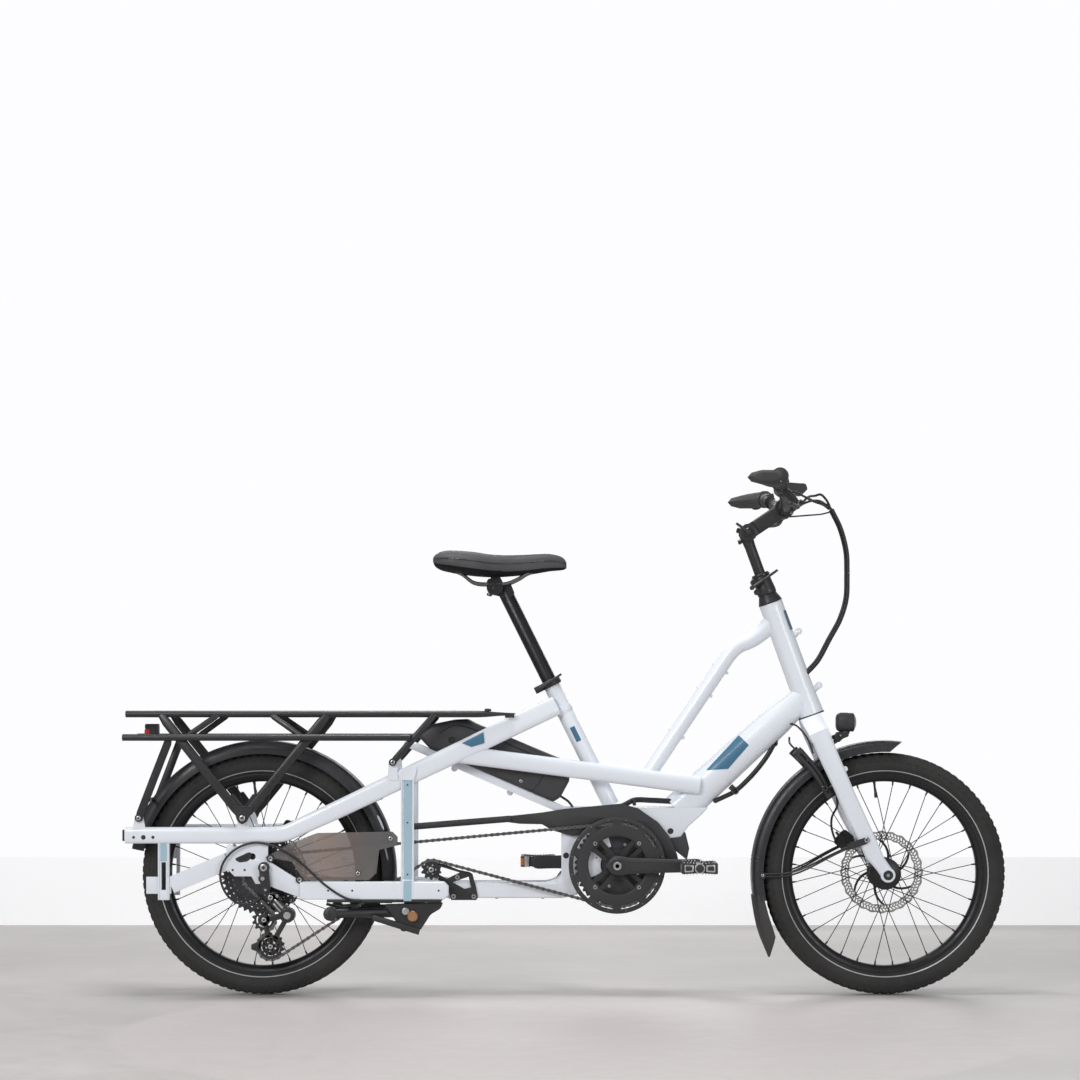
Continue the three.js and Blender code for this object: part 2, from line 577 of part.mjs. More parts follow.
function motorCradleSolid(staySkins) {
  const shellOutline = [[mount.rearX, beam.high], [mount.rearX, mount.top], [mount.frontX, mount.top],
    [mount.frontX - 15, mount.top - 16], [mount.frontX - 42, mount.top - 40],
    [mount.frontX - 58, mount.top - 62], [mount.frontX - 86, mount.top - 66],
    [mount.frontX - 112, mount.top - 48], [mount.frontX - 150, mount.top - 38],
    [bottomBracket.x, mount.top - 36], [bottomBracket.x - 50, mount.top - 52],
    [bottomBracket.x - 74, bottomBracket.z], [beam.frontX, beam.high]];
  const shell = plate(shellOutline, -mount.right, mount.left, 2);
  const cavity = plate(motorOutline(clearance), -motor.right - clearance, motor.left + clearance);
  const bar = plate([[beam.rearX, beam.low], [beam.frontX - 40, beam.low], [beam.frontX - 8, beam.low + 7],
    [beam.frontX, beam.rise], [mount.rearX, beam.rise], [mount.rearX - 12, beam.high], [beam.rearX, beam.high]],
  -beam.half, beam.half, 3);
  const reach = triangle.stayInner - clearance;
  const cross = box([(crossMember.rearX + crossMember.frontX) / 2, 0, (crossMember.low + crossMember.high) / 2],
    [crossMember.frontX - crossMember.rearX, reach * 2, crossMember.high - crossMember.low]);
  const half = cradle.thick / 2;
  const slope = plate([onCradle(0, -half), onCradle(cradleLength, -half), onCradle(cradleLength, half),
    onCradle(0, half)], -cradle.width / 2, cradle.width / 2);
  const bridgeZ = stayHeight(cradleBridge.x) - cradleBridge.drop + cradleBridge.radius;
  const bridge = rod([cradleBridge.x, -staySide.battery, bridgeZ], [cradleBridge.x, staySide.battery, bridgeZ],
    cradleBridge.radius, cradleBridge.radius, 10);
  return cut(join(shell, bar, cross, slope, bridge), cavity, staySkins);
}

// Battery: a rounded pack lying on the cradle, with its raised rear cover
const battery = { length: 340, half: 35, seat: 8.3 };
const batteryOutlineShares = [
  [0.165, 0], [1.01, 0], [1.04, 0.045], [1.05, 0.16], [1.02, 0.25], [0.945, 0.268], [0.37, 0.262],
  [0.31, 0.268], [0.235, 0.232], [0.11, 0.145], [0.06, 0.045],
];
function batterySolid() {
  const outline = batteryOutlineShares.map(([along, above]) => onCradle(battery.length * along,
    battery.seat + battery.length * above));
  return plate(outline, -battery.half, battery.half, 6);
}

// Drivetrain, all in one plane right of the centre line
const ringTeeth = 44;
const drivenCogTeeth = 19;
const idlerTeeth = 10;
const upperJockeyTeeth = 12;
const lowerJockeyTeeth = 14;
const chain = { high: 9, wide: 6, slot: 2.6 };
const sprocketThick = 2;
const toothHeight = 2.6;
const chainring = { spiderRadius: 58, spiderThick: 5, guardOuter: 103, guardInner: 86, guardThick: 3 };
const crank = { length: 170, bossRadius: 21, root: 38, tip: 30, thick: 14, start: 68, spindle: 5 };
const pedal = { length: 76, width: 92, high: 26, gap: 2, rail: 13, bore: 5.3 };
const idler = { x: -289, z: 271, bore: 4.3, hubRadius: 14 };
const upperJockey = { x: -645, z: 164 };
const lowerJockey = { x: -631, z: 107 };
const cogs = { start: 31, pitch: 7, teeth: [42, 34, 27, 19, 15], lockRadius: 20 };

function pitchRadius(teeth) {
  return chainPitch / (2 * Math.sin(Math.PI / teeth));
}

// A toothed wheel: every second outline point is a tooth tip
function sprocket(place, teeth, yA, yB) {
  const root = pitchRadius(teeth) - toothHeight * 1.6;
  const tip = pitchRadius(teeth) + toothHeight * 0.7;
  const outline = Array.from({ length: teeth * 2 }, (_, i) => {
    const radius = i % 2 === 0 ? tip : root;
    const angle = (i + 0.5) * Math.PI / teeth;
    return [place.x + radius * Math.cos(angle), place.z + radius * Math.sin(angle)];
  });
  return plate(outline, yA, yB);
}

// The chain's route over its wheels: turn is 1 where it runs anticlockwise seen from the right, else -1
const chainWheels = [
  { ...bottomBracket, teeth: ringTeeth, turn: 1 }, { ...axle, teeth: drivenCogTeeth, turn: 1 },
  { ...upperJockey, teeth: upperJockeyTeeth, turn: -1 }, { ...lowerJockey, teeth: lowerJockeyTeeth, turn: 1 },
  { ...idler, teeth: idlerTeeth, turn: -1 },
];
const chainArcStep = Math.PI / 8;

function chainRun(from, to) {
  const gap = Math.hypot(to.x - from.x, to.z - from.z);
  const aim = Math.atan2(to.z - from.z, to.x - from.x);
  const lift = to.turn * pitchRadius(to.teeth) - from.turn * pitchRadius(from.teeth);
  return aim - Math.asin(lift / gap);
}

function chainOutline(offset) {
  const runs = chainWheels.map((wheel, i) => chainRun(wheel, chainWheels[(i + 1) % chainWheels.length]));
  return chainWheels.flatMap((wheel, i) => {
    const arrive = runs[(i + chainWheels.length - 1) % chainWheels.length];
    let sweep = runs[i] - arrive;
    while (sweep * wheel.turn < 0) sweep += wheel.turn * 2 * Math.PI;
    const steps = Math.max(1, Math.round(Math.abs(sweep) / chainArcStep));
    const reach = wheel.turn * pitchRadius(wheel.teeth) + offset;
    return Array.from({ length: steps + 1 }, (_, k) => {
      const heading = arrive + sweep * k / steps;
      return [wheel.x + Math.sin(heading) * reach, wheel.z - Math.cos(heading) * reach];
    });
  });
}

function chainSolid() {
  const half = chain.high / 2;
  const low = -chainLine - chain.wide / 2;
  const high = -chainLine + chain.wide / 2;
  const band = cut(plate(chainOutline(half), low, high), plate(chainOutline(-half), low - overrun, high + overrun));
  const slots = chainWheels.map((wheel) => disc(wheel.x, wheel.z, pitchRadius(wheel.teeth) + toothHeight,
    -chainLine - chain.slot / 2, -chainLine + chain.slot / 2, 16));
  return cut(band, slots);
}

// Crankset: axle, both arms, chainring with its spider, guard ring and bolts
function crankArm(sign, yA, yB) {
  const tipX = bottomBracket.x + sign * crank.length;
  const root = crank.root / 2;
  const tip = crank.tip / 2;
  const arm = plate([[bottomBracket.x, bottomBracket.z - root], [tipX, bottomBracket.z - tip],
    [tipX + sign * tip * 0.7, bottomBracket.z - tip * 0.7], [tipX + sign * tip, bottomBracket.z],
    [tipX + sign * tip * 0.7, bottomBracket.z + tip * 0.7], [tipX, bottomBracket.z + tip],
    [bottomBracket.x, bottomBracket.z + root]].map(([x, z]) => [x, z]), yA, yB);
  return join(arm, disc(bottomBracket.x, bottomBracket.z, crank.bossRadius, yA, yB, 16));
}

function pedalPlace(side) {
  return { x: bottomBracket.x - side * crank.length, z: bottomBracket.z };
}

const armInner = crank.start;
const armOuter = crank.start + crank.thick;
const spindleEnd = armOuter + pedal.gap + pedal.width - pedal.rail;
function cranksetSolid() {
  const ringLow = -chainLine - sprocketThick / 2;
  const ringHigh = ringLow + sprocketThick;
  const ring = cut(disc(bottomBracket.x, bottomBracket.z, pitchRadius(ringTeeth), ringLow, ringHigh, 28),
    disc(bottomBracket.x, bottomBracket.z, chainring.spiderRadius + 6, ringLow - overrun, ringHigh + overrun, 16));
  const arms = Array.from({ length: 4 }, (_, i) => {
    const angle = (i + 0.5) * Math.PI / 2;
    const reach = chainring.spiderRadius + 16;
    return plate(bandAlong([bottomBracket.x, bottomBracket.z],
      [bottomBracket.x + reach * Math.cos(angle), bottomBracket.z + reach * Math.sin(angle)], crank.bossRadius),
    ringHigh, ringLow - chainring.spiderThick);
  });
  const guardHigh = ringLow - chainring.spiderThick + clearance;
  const guard = turned(bottomBracket.x, bottomBracket.z, [
    [chainring.spiderRadius + 4, guardHigh - chainring.guardThick], [chainring.guardOuter, guardHigh - chainring.guardThick],
    [chainring.guardOuter, guardHigh], [chainring.spiderRadius + 4, guardHigh]], 28);
  const spindle = disc(bottomBracket.x, bottomBracket.z, motor.axleBore - clearance, -armOuter, armOuter, 16);
  const boss = disc(bottomBracket.x, bottomBracket.z, crank.bossRadius, -armOuter, ringHigh, 16);
  const pins = [-1, 1].map((side) => {
    const { x, z } = pedalPlace(side);
    return disc(x, z, crank.spindle, side * (armOuter - overrun), side * spindleEnd, 10);
  });
  return join(ring, arms, guard, spindle, boss, crankArm(1, -armInner, -armOuter),
    crankArm(-1, armInner, armOuter), pins);
}

// A caged pedal: a bored body with two windows
function pedalSolid(side) {
  const { x, z } = pedalPlace(side);
  const inner = armOuter + pedal.gap;
  const middle = side * (inner + pedal.width / 2);
  const body = box([x, middle, z], [pedal.length, pedal.width, pedal.high]);
  const windowLength = pedal.length / 2 - pedal.rail - pedal.bore * 2;
  const windows = [-1, 1].map((end) => box([x + end * (pedal.bore * 2 + windowLength / 2), middle, z],
    [windowLength, pedal.width - 2 * pedal.rail, pedal.high * 2]));
  return cut(body, windows, disc(x, z, pedal.bore, side * (inner - overrun), side * (spindleEnd + clearance), 12));
}

function cassetteSolid() {
  const sleeveEnd = -cogs.start - cogs.pitch * cogs.teeth.length;
  const stack = cogs.teeth.map((teeth, i) => {
    const y = -cogs.start - cogs.pitch * i;
    return disc(axle.x, axle.z, pitchRadius(teeth) + toothHeight / 2, y - sprocketThick / 2,
      y + sprocketThick / 2, 16);
  });
  const sleeve = disc(axle.x, axle.z, cogs.lockRadius, sleeveEnd, -cogs.start + sprocketThick / 2, 14);
  return cut(join(sleeve, stack), disc(axle.x, axle.z, axleTip.radius + 2 * clearance, sleeveEnd - overrun,
    -cogs.start + overrun, 12));
}

// Derailleur: a shifting body with its knuckle, the sprung cage and its two jockey wheels
const knuckle = { x: -592, z: 176, radius: 16 };
const shifter = { x: -627, z: 214, radius: 9, outer: 96 };
const cage = { outer: 59.5, inner: 46.8, thick: 2, pivot: 14, guide: 13, tension: 17, pin: 3.6, bore: 4.2 };

function derailleurBodySolid() {
  const inner = -hangerFace - 2 * clearance;
  return join(disc(shifter.x, shifter.z, shifter.radius, inner, -shifter.outer, 14),
    plate(bandAlong([shifter.x, shifter.z], [knuckle.x, knuckle.z], shifter.radius * 2), inner, -shifter.outer),
    disc(knuckle.x, knuckle.z, knuckle.radius, -cage.outer - clearance, -shifter.outer, 16));
}

function cageSolid() {
  const link = (from, to, width, yA, yB) => plate(bandAlong([from.x, from.z], [to.x, to.z], width), yA, yB);
  const outerY = [-cage.outer, -cage.outer + cage.thick];
  const innerY = [-cage.inner, -cage.inner + cage.thick];
  const outer = [disc(knuckle.x, knuckle.z, cage.pivot, ...outerY, 10),
    disc(upperJockey.x, upperJockey.z, cage.guide, ...outerY, 10),
    disc(lowerJockey.x, lowerJockey.z, cage.tension, ...outerY, 10),
    link(knuckle, upperJockey, cage.guide * 1.6, ...outerY), link(knuckle, lowerJockey, cage.guide * 1.6, ...outerY),
    link(upperJockey, lowerJockey, cage.guide * 1.6, ...outerY)];
  const inner = [disc(upperJockey.x, upperJockey.z, cage.guide, ...innerY, 10),
    disc(lowerJockey.x, lowerJockey.z, cage.tension, ...innerY, 10),
    link(upperJockey, lowerJockey, cage.guide * 1.6, ...innerY)];
  const pins = [upperJockey, lowerJockey].map(({ x, z }) => disc(x, z, cage.pin, outerY[0], innerY[1], 10));
  return join(outer, inner, pins);
}

function jockeySolid(place, teeth) {
  const half = sprocketThick / 2;
  const wheel = sprocket(place, teeth, -chainLine - half, -chainLine + half);
  const hubPart = disc(place.x, place.z, cage.bore * 1.8, -cage.outer + cage.thick + clearance,
    -cage.inner - clearance, 14);
  return cut(join(wheel, hubPart), disc(place.x, place.z, cage.bore, -cage.outer, -cage.inner + overrun, 12));
}

// Idler: a small toothed wheel that lifts the lower run over the beam, on a windowed bracket
const bracket = { size: 100, thick: 4, boss: 15, pin: 4, boltRadius: 5 };
const idlerPlateShares = [[-0.14, -0.1], [0.2, -0.255], [0.355, -0.376], [0.38, -0.54], [0.42, -0.66],
  [0.95, -0.66], [0.99, -0.6], [0.95, -0.39], [0.875, -0.105], [0.81, -0.06], [0.575, -0.013],
  [0.28, 0.105], [0, 0.15]];
const idlerWindowShares = [[[0.2, 0.05], [0.16, -0.12], [0.33, -0.2], [0.6, -0.07]],
  [[0.45, -0.28], [0.7, -0.42], [0.84, -0.39], [0.79, -0.16]]];
const idlerInner = -beam.half - clearance;

function idlerBracketSolid() {
  const outer = idlerInner - bracket.thick;
  const at = ([x, z]) => [idler.x + x * bracket.size, idler.z + z * bracket.size];
  const windows = idlerWindowShares.map((shares) => plate(shares.map(at), idlerInner + overrun, outer - overrun));
  const body = cut(join(plate(idlerPlateShares.map(at), idlerInner, outer),
    disc(idler.x, idler.z, bracket.boss, idlerInner, outer, 18)), windows);
  const end = -chainLine - chain.wide / 2 - bracket.thick;
  return join(body, disc(idler.x, idler.z, bracket.pin, outer + 1, end, 12),
    disc(idler.x, idler.z, idler.hubRadius / 2, end + clearance, end - sprocketThick, 12));
}

function idlerSprocketSolid() {
  const inner = idlerInner - bracket.thick - clearance;
  const outer = -chainLine - chain.wide / 2 - bracket.thick + 2 * clearance;
  const half = sprocketThick / 2;
  return cut(join(sprocket(idler, idlerTeeth, -chainLine - half, -chainLine + half),
    disc(idler.x, idler.z, idler.hubRadius, inner, outer, 18)),
  disc(idler.x, idler.z, idler.bore, inner + overrun, outer - overrun, 12));
}

// Chain guard: a tube from the right strut, opening into a blade over the chainring
const guard = { tubeRadius: 7, tubeY: 51, rearX: -331, rearZ: 362, tubeX: -120, tubeZ: 379, low: 39, high: 47 };
const guardBladeShares = [[-2.45, 1.03], [-1.6, 1.12], [-1.1, 1.2], [0.09, 1.31], [0.45, 1.21],
  [0.87, 0.92], [1.11, 0.62], [1.28, 0.24], [1.32, 0.05], [0.98, 0.05], [0.92, 0.35], [0.6, 0.78],
  [0, 0.98], [-0.55, 0.82], [-0.75, 0.64], [-0.96, 0.62], [-1.38, 0.74], [-1.6, 0.87], [-2.07, 0.88], [-2.45, 0.93]];
const guardBlade = 100;
function chainGuardSolid() {
  const blade = plate(guardBladeShares.map(([x, z]) => [bottomBracket.x + x * guardBlade,
    bottomBracket.z + z * guardBlade]), -guard.low, -guard.high);
  const tube = rod([guard.rearX, -guard.tubeY, guard.rearZ], [guard.tubeX, -guard.tubeY, guard.tubeZ],
    guard.tubeRadius, guard.tubeRadius, 12);
  const foot = disc(guard.rearX, guard.rearZ, guard.tubeRadius * 0.8, -guard.tubeY,
    -triangle.stayInner - overrun + clearance, 10);
  return join(blade, tube, foot);
}

const staySkins = [stayBar(-1, clearance), stayBar(1, clearance)];
add('drive_motor', motorSolid(), casing);
add('motor_cradle', motorCradleSolid(staySkins), paint);
add('battery', batterySolid(), casing);
add('chain', chainSolid(), steel);
add('crankset', cranksetSolid(), black);
add('right_pedal', pedalSolid(-1), black);
add('left_pedal', pedalSolid(1), black);
add('cassette', cassetteSolid(), anodised);
add('derailleur_body', derailleurBodySolid(), anodised);
add('derailleur_cage', cageSolid(), anodised);
add('upper_jockey_wheel', jockeySolid(upperJockey, upperJockeyTeeth), black);
add('lower_jockey_wheel', jockeySolid(lowerJockey, lowerJockeyTeeth), black);
add('idler_bracket', idlerBracketSolid(), black);
add('idler_sprocket', idlerSprocketSolid(), black);
add('chain_guard', chainGuardSolid(), black);
// Fork: crown, two blades, steerer and the axle through the hub
const forkTop = headTop + 18;
const bladeOutlineShares = [
  [0.9, 0.047], [0.75, 0.0516], [0.54, 0.0624], [0.24, 0.086], [0.1, 0.095], [0, 0.121], [-0.03, 0.11],
  [-0.04, 0.081], [-0.03, 0.05], [0.05, 0.03], [0.135, -0.0024], [0.28, -0.013], [0.38, -0.028],
  [0.55, -0.039], [0.77, -0.06], [0.9, -0.067],
];
const crownOutlineShares = [[0.855, -0.065], [0.999, -0.075], [0.999, 0.045], [0.855, 0.05]];

function steerOutline(shares) {
  return shares.map(([up, ahead]) => onSteer(headTubeFoot * up, headTubeFoot * ahead));
}

function forkSolid() {
  const blades = [-1, 1].map((side) => plate(steerOutline(bladeOutlineShares),
    side * (frontDropout + clearance), side * fork.outer, 4));
  const shoulders = steerRod(fork.crownLow - overrun, headTubeFoot, fork.shoulderFoot, fork.shoulderTop);
  const crown = plate(steerOutline(crownOutlineShares), -fork.outer, fork.outer).intersect(shoulders);
  const steerer = steerRod(headTubeFoot - headTube.radius, forkTop, fork.steerer, fork.steerer, 14);
  const race = steerRod(headTubeFoot - headTube.flare, headTubeFoot + fork.race, fork.raceRadius,
    fork.raceRadius, 14);
  const bolt = disc(frontAxle.x, frontAxle.z, hub.bore - clearance, -fork.outer + overrun,
    fork.outer - overrun, 12);
  return cut(join(blades, crown, steerer, race, bolt), steerRod(post.foot - fork.boreSpare,
    forkTop + overrun, fork.bore, fork.bore, 14));
}

// Fenders share one shallow U section
const fender = { outer: 286, skirt: 262, half: 36, wall: 2.6 };
const fenderSection = [
  [fender.skirt, -fender.half], [fender.outer - 6, -fender.half + 4], [fender.outer, -fender.half / 3],
  [fender.outer, fender.half / 3], [fender.outer - 6, fender.half - 4], [fender.skirt, fender.half],
  [fender.skirt, fender.half - fender.wall], [fender.outer - 6 - fender.wall / 2, fender.half - 4 - fender.wall],
  [fender.outer - fender.wall, fender.half / 3], [fender.outer - fender.wall, -fender.half / 3],
  [fender.outer - 6 - fender.wall / 2, -fender.half + 4 + fender.wall], [fender.skirt, -fender.half + fender.wall],
];
const frontFender = { from: 83, to: 197, steps: 11, flapX: 433, flapZ: 81, flapThick: 4, tab: 6 };
const fenderStay = { radius: 2.6, rearX: 420, rearZ: 238, kneeX: 584, kneeZ: 290, side: 53, endX: 646, endZ: 299 };

function frontFenderSolid() {
  const arc = arcSweep(frontAxle, fenderSection, frontFender.from, frontFender.to, frontFender.steps);
  const seam = THREE.MathUtils.degToRad(frontFender.to - 3);
  const reach = fender.outer - fender.wall / 2;
  const flap = plate(bandAlong([frontAxle.x + reach * Math.cos(seam), frontAxle.z + reach * Math.sin(seam)],
    [frontFender.flapX, frontFender.flapZ], frontFender.flapThick), -fender.half + 6, fender.half - 6);
  const tabFoot = Math.sqrt((fender.outer - fender.wall / 2) ** 2 - forkOffset ** 2);
  const tab = steerRod(tabFoot, fork.crownLow - 2 * clearance, frontFender.tab, frontFender.tab, 8);
  const stays = [-1, 1].map((side) => {
    const knee = [fenderStay.kneeX, side * fenderStay.side, fenderStay.kneeZ];
    const end = [fenderStay.endX, side * fenderStay.side, fenderStay.endZ];
    return join(rod([fenderStay.rearX, side * (fender.half - 1), fenderStay.rearZ], knee, fenderStay.radius,
      fenderStay.radius, 6), rod(knee, end, fenderStay.radius, fenderStay.radius, 6),
    disc(fenderStay.endX, fenderStay.endZ, fenderStay.radius * 2, side * (fenderStay.side - overrun),
      side * frontDropout, 8));
  });
  return join(arc, flap, tab, stays);
}

const lamp = { rearX: 574, frontX: 622, low: 564, high: 605, half: 22 };
function headlightSolid() {
  const { rearX, frontX, low, high, half } = lamp;
  const cut1 = (high - low) / 6;
  const outline = [[rearX, low + cut1], [rearX + cut1, low], [frontX - cut1 * 2, low], [frontX - cut1, low + cut1],
    [frontX, (low + high) / 2], [frontX - cut1, high - cut1], [frontX - cut1 * 2, high], [rearX + cut1, high],
    [rearX, high - cut1]];
  const [crownX, crownZ] = onSteer(headTubeFoot * 0.88, headTubeFoot * 0.05);
  const middleX = (rearX + frontX) / 2;
  const arm = plate(bandAlong([crownX + 2 * clearance, crownZ - cut1], [middleX, low - cut1], cut1),
    -half / 3, half / 3);
  const post = plate([[middleX - cut1, low - cut1 * 1.5], [middleX + cut1, low - cut1 * 1.5],
    [middleX + cut1, low + cut1], [middleX - cut1, low + cut1]], -half / 3, half / 3);
  const forkSkin = plate(steerOutline(crownOutlineShares), -fork.outer, fork.outer);
  return cut(join(plate(outline, -half, half, 5), arm, post), forkSkin);
}

// Disc brake calipers straddle their rotors
const caliper = { length: 30, height: 34, inner: 28, slot: 2.2, reach: 14, frontAngle: 139.3, rearAngle: 60 };
function caliperSolid(place, angle, outer) {
  const turn = THREE.MathUtils.degToRad(angle);
  const x = place.x + (rotor.radius + caliper.reach) * Math.cos(turn);
  const z = place.z + (rotor.radius + caliper.reach) * Math.sin(turn);
  const body = box([x, (caliper.inner + outer) / 2, z], [caliper.length, outer - caliper.inner, caliper.height]);
  return cut(body, disc(place.x, place.z, rotor.radius + 2 * clearance + 1, rotorY - caliper.slot,
    rotorY + caliper.slot, 40));
}

// Frame lock: a hoop round the tyre behind the fork, on four stand-offs
const ringLock = { angle: 125.5, low: 190, high: 328, width: 20, bridge: 290, inner: 38, outer: 50 };
const lockBlocks = { x: 547, length: 26, height: 14, upperZ: 474, lowerZ: 438, lowerX: 561 };
function ringLockSolid() {
  const angle = THREE.MathUtils.degToRad(ringLock.angle);
  const at = (reach) => [frontAxle.x + reach * Math.cos(angle), frontAxle.z + reach * Math.sin(angle)];
  const bridge = plate(bandAlong(at(ringLock.bridge), at(ringLock.high), ringLock.width), -ringLock.outer,
    ringLock.outer, 2);
  const arms = [-1, 1].map((side) => {
    const blocks = [[lockBlocks.x, lockBlocks.upperZ], [lockBlocks.lowerX, lockBlocks.lowerZ]].map(([x, z]) => (
      box([x, side * (ringLock.inner + frontDropout) / 2, z],
        [lockBlocks.length, frontDropout - ringLock.inner, lockBlocks.height])));
    return join(plate(bandAlong(at(ringLock.low), at(ringLock.high), ringLock.width), side * ringLock.inner,
      side * ringLock.outer, 2), blocks);
  });
  return join(bridge, arms);
}

// Handlepost: a clamp on the steerer holds a sliding post, and the stem tilts on the post's head
const postClamp = { coneHigh: 20, coneRadius: 20, low: 650, high: 696, radius: 19, earLength: 17, earHalf: 9 };
const post = { radius: 12, foot: 565, pivotUp: 787, pivotAhead: 5.6, headRadius: 15, headHalf: 14 };
const stemBody = { barUp: 809.3, barAhead: 95.8, depth: 31, half: 21, lugOuter: 21, ringRadius: 22, root: 19 };
const bar = { centreRadius: 15.7, centreHalf: 34, radius: 11.1 };
const pivotPlace = onSteer(post.pivotUp, post.pivotAhead);
const barPlace = onSteer(stemBody.barUp, stemBody.barAhead);

function postClampSolid() {
  const cone = steerRod(headTop + clearance, headTop + postClamp.coneHigh, headTube.radius - 1, postClamp.coneRadius);
  const plug = steerRod(headTop - fork.race, headTop + overrun, fork.raceRadius, fork.raceRadius, 14);
  const sleeve = steerRod(headTop + postClamp.coneHigh - overrun, postClamp.high, postClamp.radius,
    postClamp.radius, 14);
  const ear = plate(steerOutlineBox(postClamp.low, postClamp.high, -postClamp.radius - postClamp.earLength, 0),
    -postClamp.earHalf, postClamp.earHalf, 2);
  const steererHole = steerRod(headTop - fork.race - overrun, forkTop + clearance, fork.steerer + clearance,
    fork.steerer + clearance, 14);
  return cut(join(cone, plug, sleeve, ear), steererHole,
    steerRod(forkTop, postClamp.high + overrun, fork.bore, fork.bore, 14));
}

function steerOutlineBox(low, high, rear, front) {
  return [onSteer(low, rear), onSteer(low, front), onSteer(high, front), onSteer(high, rear)];
}

// A quick release lever: a nut, a rod along Y and a curved handle lying back along the frame
function quickLever(place, earHalf, halfWidth, handleTo, thick) {
  const [x, z] = place;
  const y = -halfWidth - clearance;
  return join(disc(x, z, thick, -earHalf - clearance, y - thick * 2, 10),
    rod([x, y - thick * 1.2, z], [handleTo[0], y - thick * 1.6, handleTo[1]], thick * 0.8, thick * 0.55, 8));
}

function handlepostSolid() {
  const tube = steerRod(post.foot, post.pivotUp - post.headRadius / 2, post.radius, post.radius, 14);
  const headPart = disc(pivotPlace[0], pivotPlace[1], post.headRadius, -post.headHalf, post.headHalf, 14);
  const neck = steerRod(post.pivotUp - post.headRadius * 2, post.pivotUp - post.headRadius / 2,
    post.radius, post.radius + 2, 14);
  const pinHalf = stemBody.lugOuter - overrun;
  const stop = disc(pivotPlace[0], pivotPlace[1], hub.bore, -pinHalf, pinHalf, 10);
  return join(tube, headPart, neck, stop);
}

function stemSolid() {
  const lugInner = post.headHalf + clearance;
  const reach = [barPlace[0] - pivotPlace[0], barPlace[1] - pivotPlace[1]];
  const length = Math.hypot(...reach);
  const start = (post.headRadius + overrun) / length;
  const bodyStart = [pivotPlace[0] + reach[0] * start, pivotPlace[1] + reach[1] * start];
  const body = plate(bandAlong(bodyStart, barPlace, stemBody.depth), -stemBody.half, stemBody.half, 3);
  const lugs = [-1, 1].map((side) => join(
    disc(...pivotPlace, stemBody.root, side * lugInner, side * stemBody.lugOuter, 14),
    plate(bandAlong(pivotPlace, bodyStart, stemBody.depth), side * lugInner, side * stemBody.lugOuter)));
  const ring = disc(...barPlace, stemBody.ringRadius, -stemBody.half, stemBody.half, 14);
  const barHole = disc(...barPlace, bar.centreRadius + clearance, -stemBody.half - overrun,
    stemBody.half + overrun, 14);
  const headHole = disc(...pivotPlace, post.headRadius + overrun / 2, -lugInner, lugInner, 14);
  const pinHole = disc(...pivotPlace, hub.bore + clearance, -stemBody.half - overrun, stemBody.half + overrun, 12);
  return cut(join(body, lugs, ring), barHole, headHole, pinHole);
}

// Handlebar: swept back and up to the grips
const barRoute = [
  [0, 0, 0], [0, 40, 0], [-8, 112, 16], [-22, 190, 34], [-30, 255, 40], [-34, 320, 41],
];
const leverPerch = { y: 186, half: 12, ahead: 34, drop: 41, radius: 16 };
const display = { low: 76, high: 103, rear: 463, front: 515, tilt: 18, thick: 15, half: 42, strutY: 26 };
function barPoint([back, y, up], side) {
  return [barPlace[0] + back, side * y, barPlace[1] + up];
}

function barTube(grow = 0) {
  const route = [...barRoute.slice(1).reverse().map((point) => barPoint(point, -1)),
    ...barRoute.map((point) => barPoint(point, 1))];
  return bentTube(route, bar.radius + grow, 8, 18);
}

const perchPlace = barPoint(barRoute[3], 1);
const leverPivot = [perchPlace[0] + leverPerch.ahead, perchPlace[2] - leverPerch.drop];
function handlebarSolid() {
  const centre = disc(...barPlace, bar.centreRadius, -bar.centreHalf, bar.centreHalf, 14);
  const perches = [-1, 1].map((side) => join(
    disc(perchPlace[0], perchPlace[2], leverPerch.radius, side * (leverPerch.y - leverPerch.half),
      side * (leverPerch.y + leverPerch.half), 10),
    plate(bandAlong([perchPlace[0], perchPlace[2]], leverPivot, leverPerch.radius),
      side * (leverPerch.y - leverPerch.half), side * (leverPerch.y + leverPerch.half), 1)));
  const topZ = barPlace[1] + display.thick * 3.7;
  const screen = plate([[display.rear, topZ - display.thick], [display.front, topZ - display.thick - display.tilt],
    [display.front + display.thick / 3, topZ - display.tilt], [display.rear + display.thick / 3, topZ]],
  -display.half, display.half, 3);
  const strut = plate(bandAlong(barPlace, [display.rear + display.tilt, topZ - display.thick], display.tilt),
    -display.strutY - display.tilt / 2 + clearance * 4, -display.strutY + clearance * 4);
  return join(barTube(), centre, perches, screen, strut);
}

// Grips: round at the inner end, widening to a palm rest behind the bar
const gripStationShares = [
  // along, half fore and aft, half height, shift back
  [0, 0.14, 0.14, 0], [0.2, 0.15, 0.14, 0.01], [0.55, 0.27, 0.135, 0.14], [0.82, 0.34, 0.125, 0.21],
  [0.95, 0.32, 0.115, 0.21], [1, 0.25, 0.07, 0.2],
];
const grip = { start: 206, length: 123 };
function gripSolid(side) {
  const rings = gripStationShares.map(([along, wide, high, back]) => {
    const y = grip.start + grip.length * along;
    const share = (y - barRoute[3][1]) / (barRoute[5][1] - barRoute[3][1]);
    const x = barPlace[0] + barRoute[3][0] + (barRoute[5][0] - barRoute[3][0]) * share - back * grip.length;
    const z = barPlace[1] + barRoute[4][2];
    return Array.from({ length: 10 }, (_, k) => {
      const angle = k * Math.PI / 5;
      return [x + Math.cos(angle) * wide * grip.length, side * y, z + Math.sin(angle) * high * grip.length];
    });
  });
  return cut(loft(rings), barTube(clearance));
}

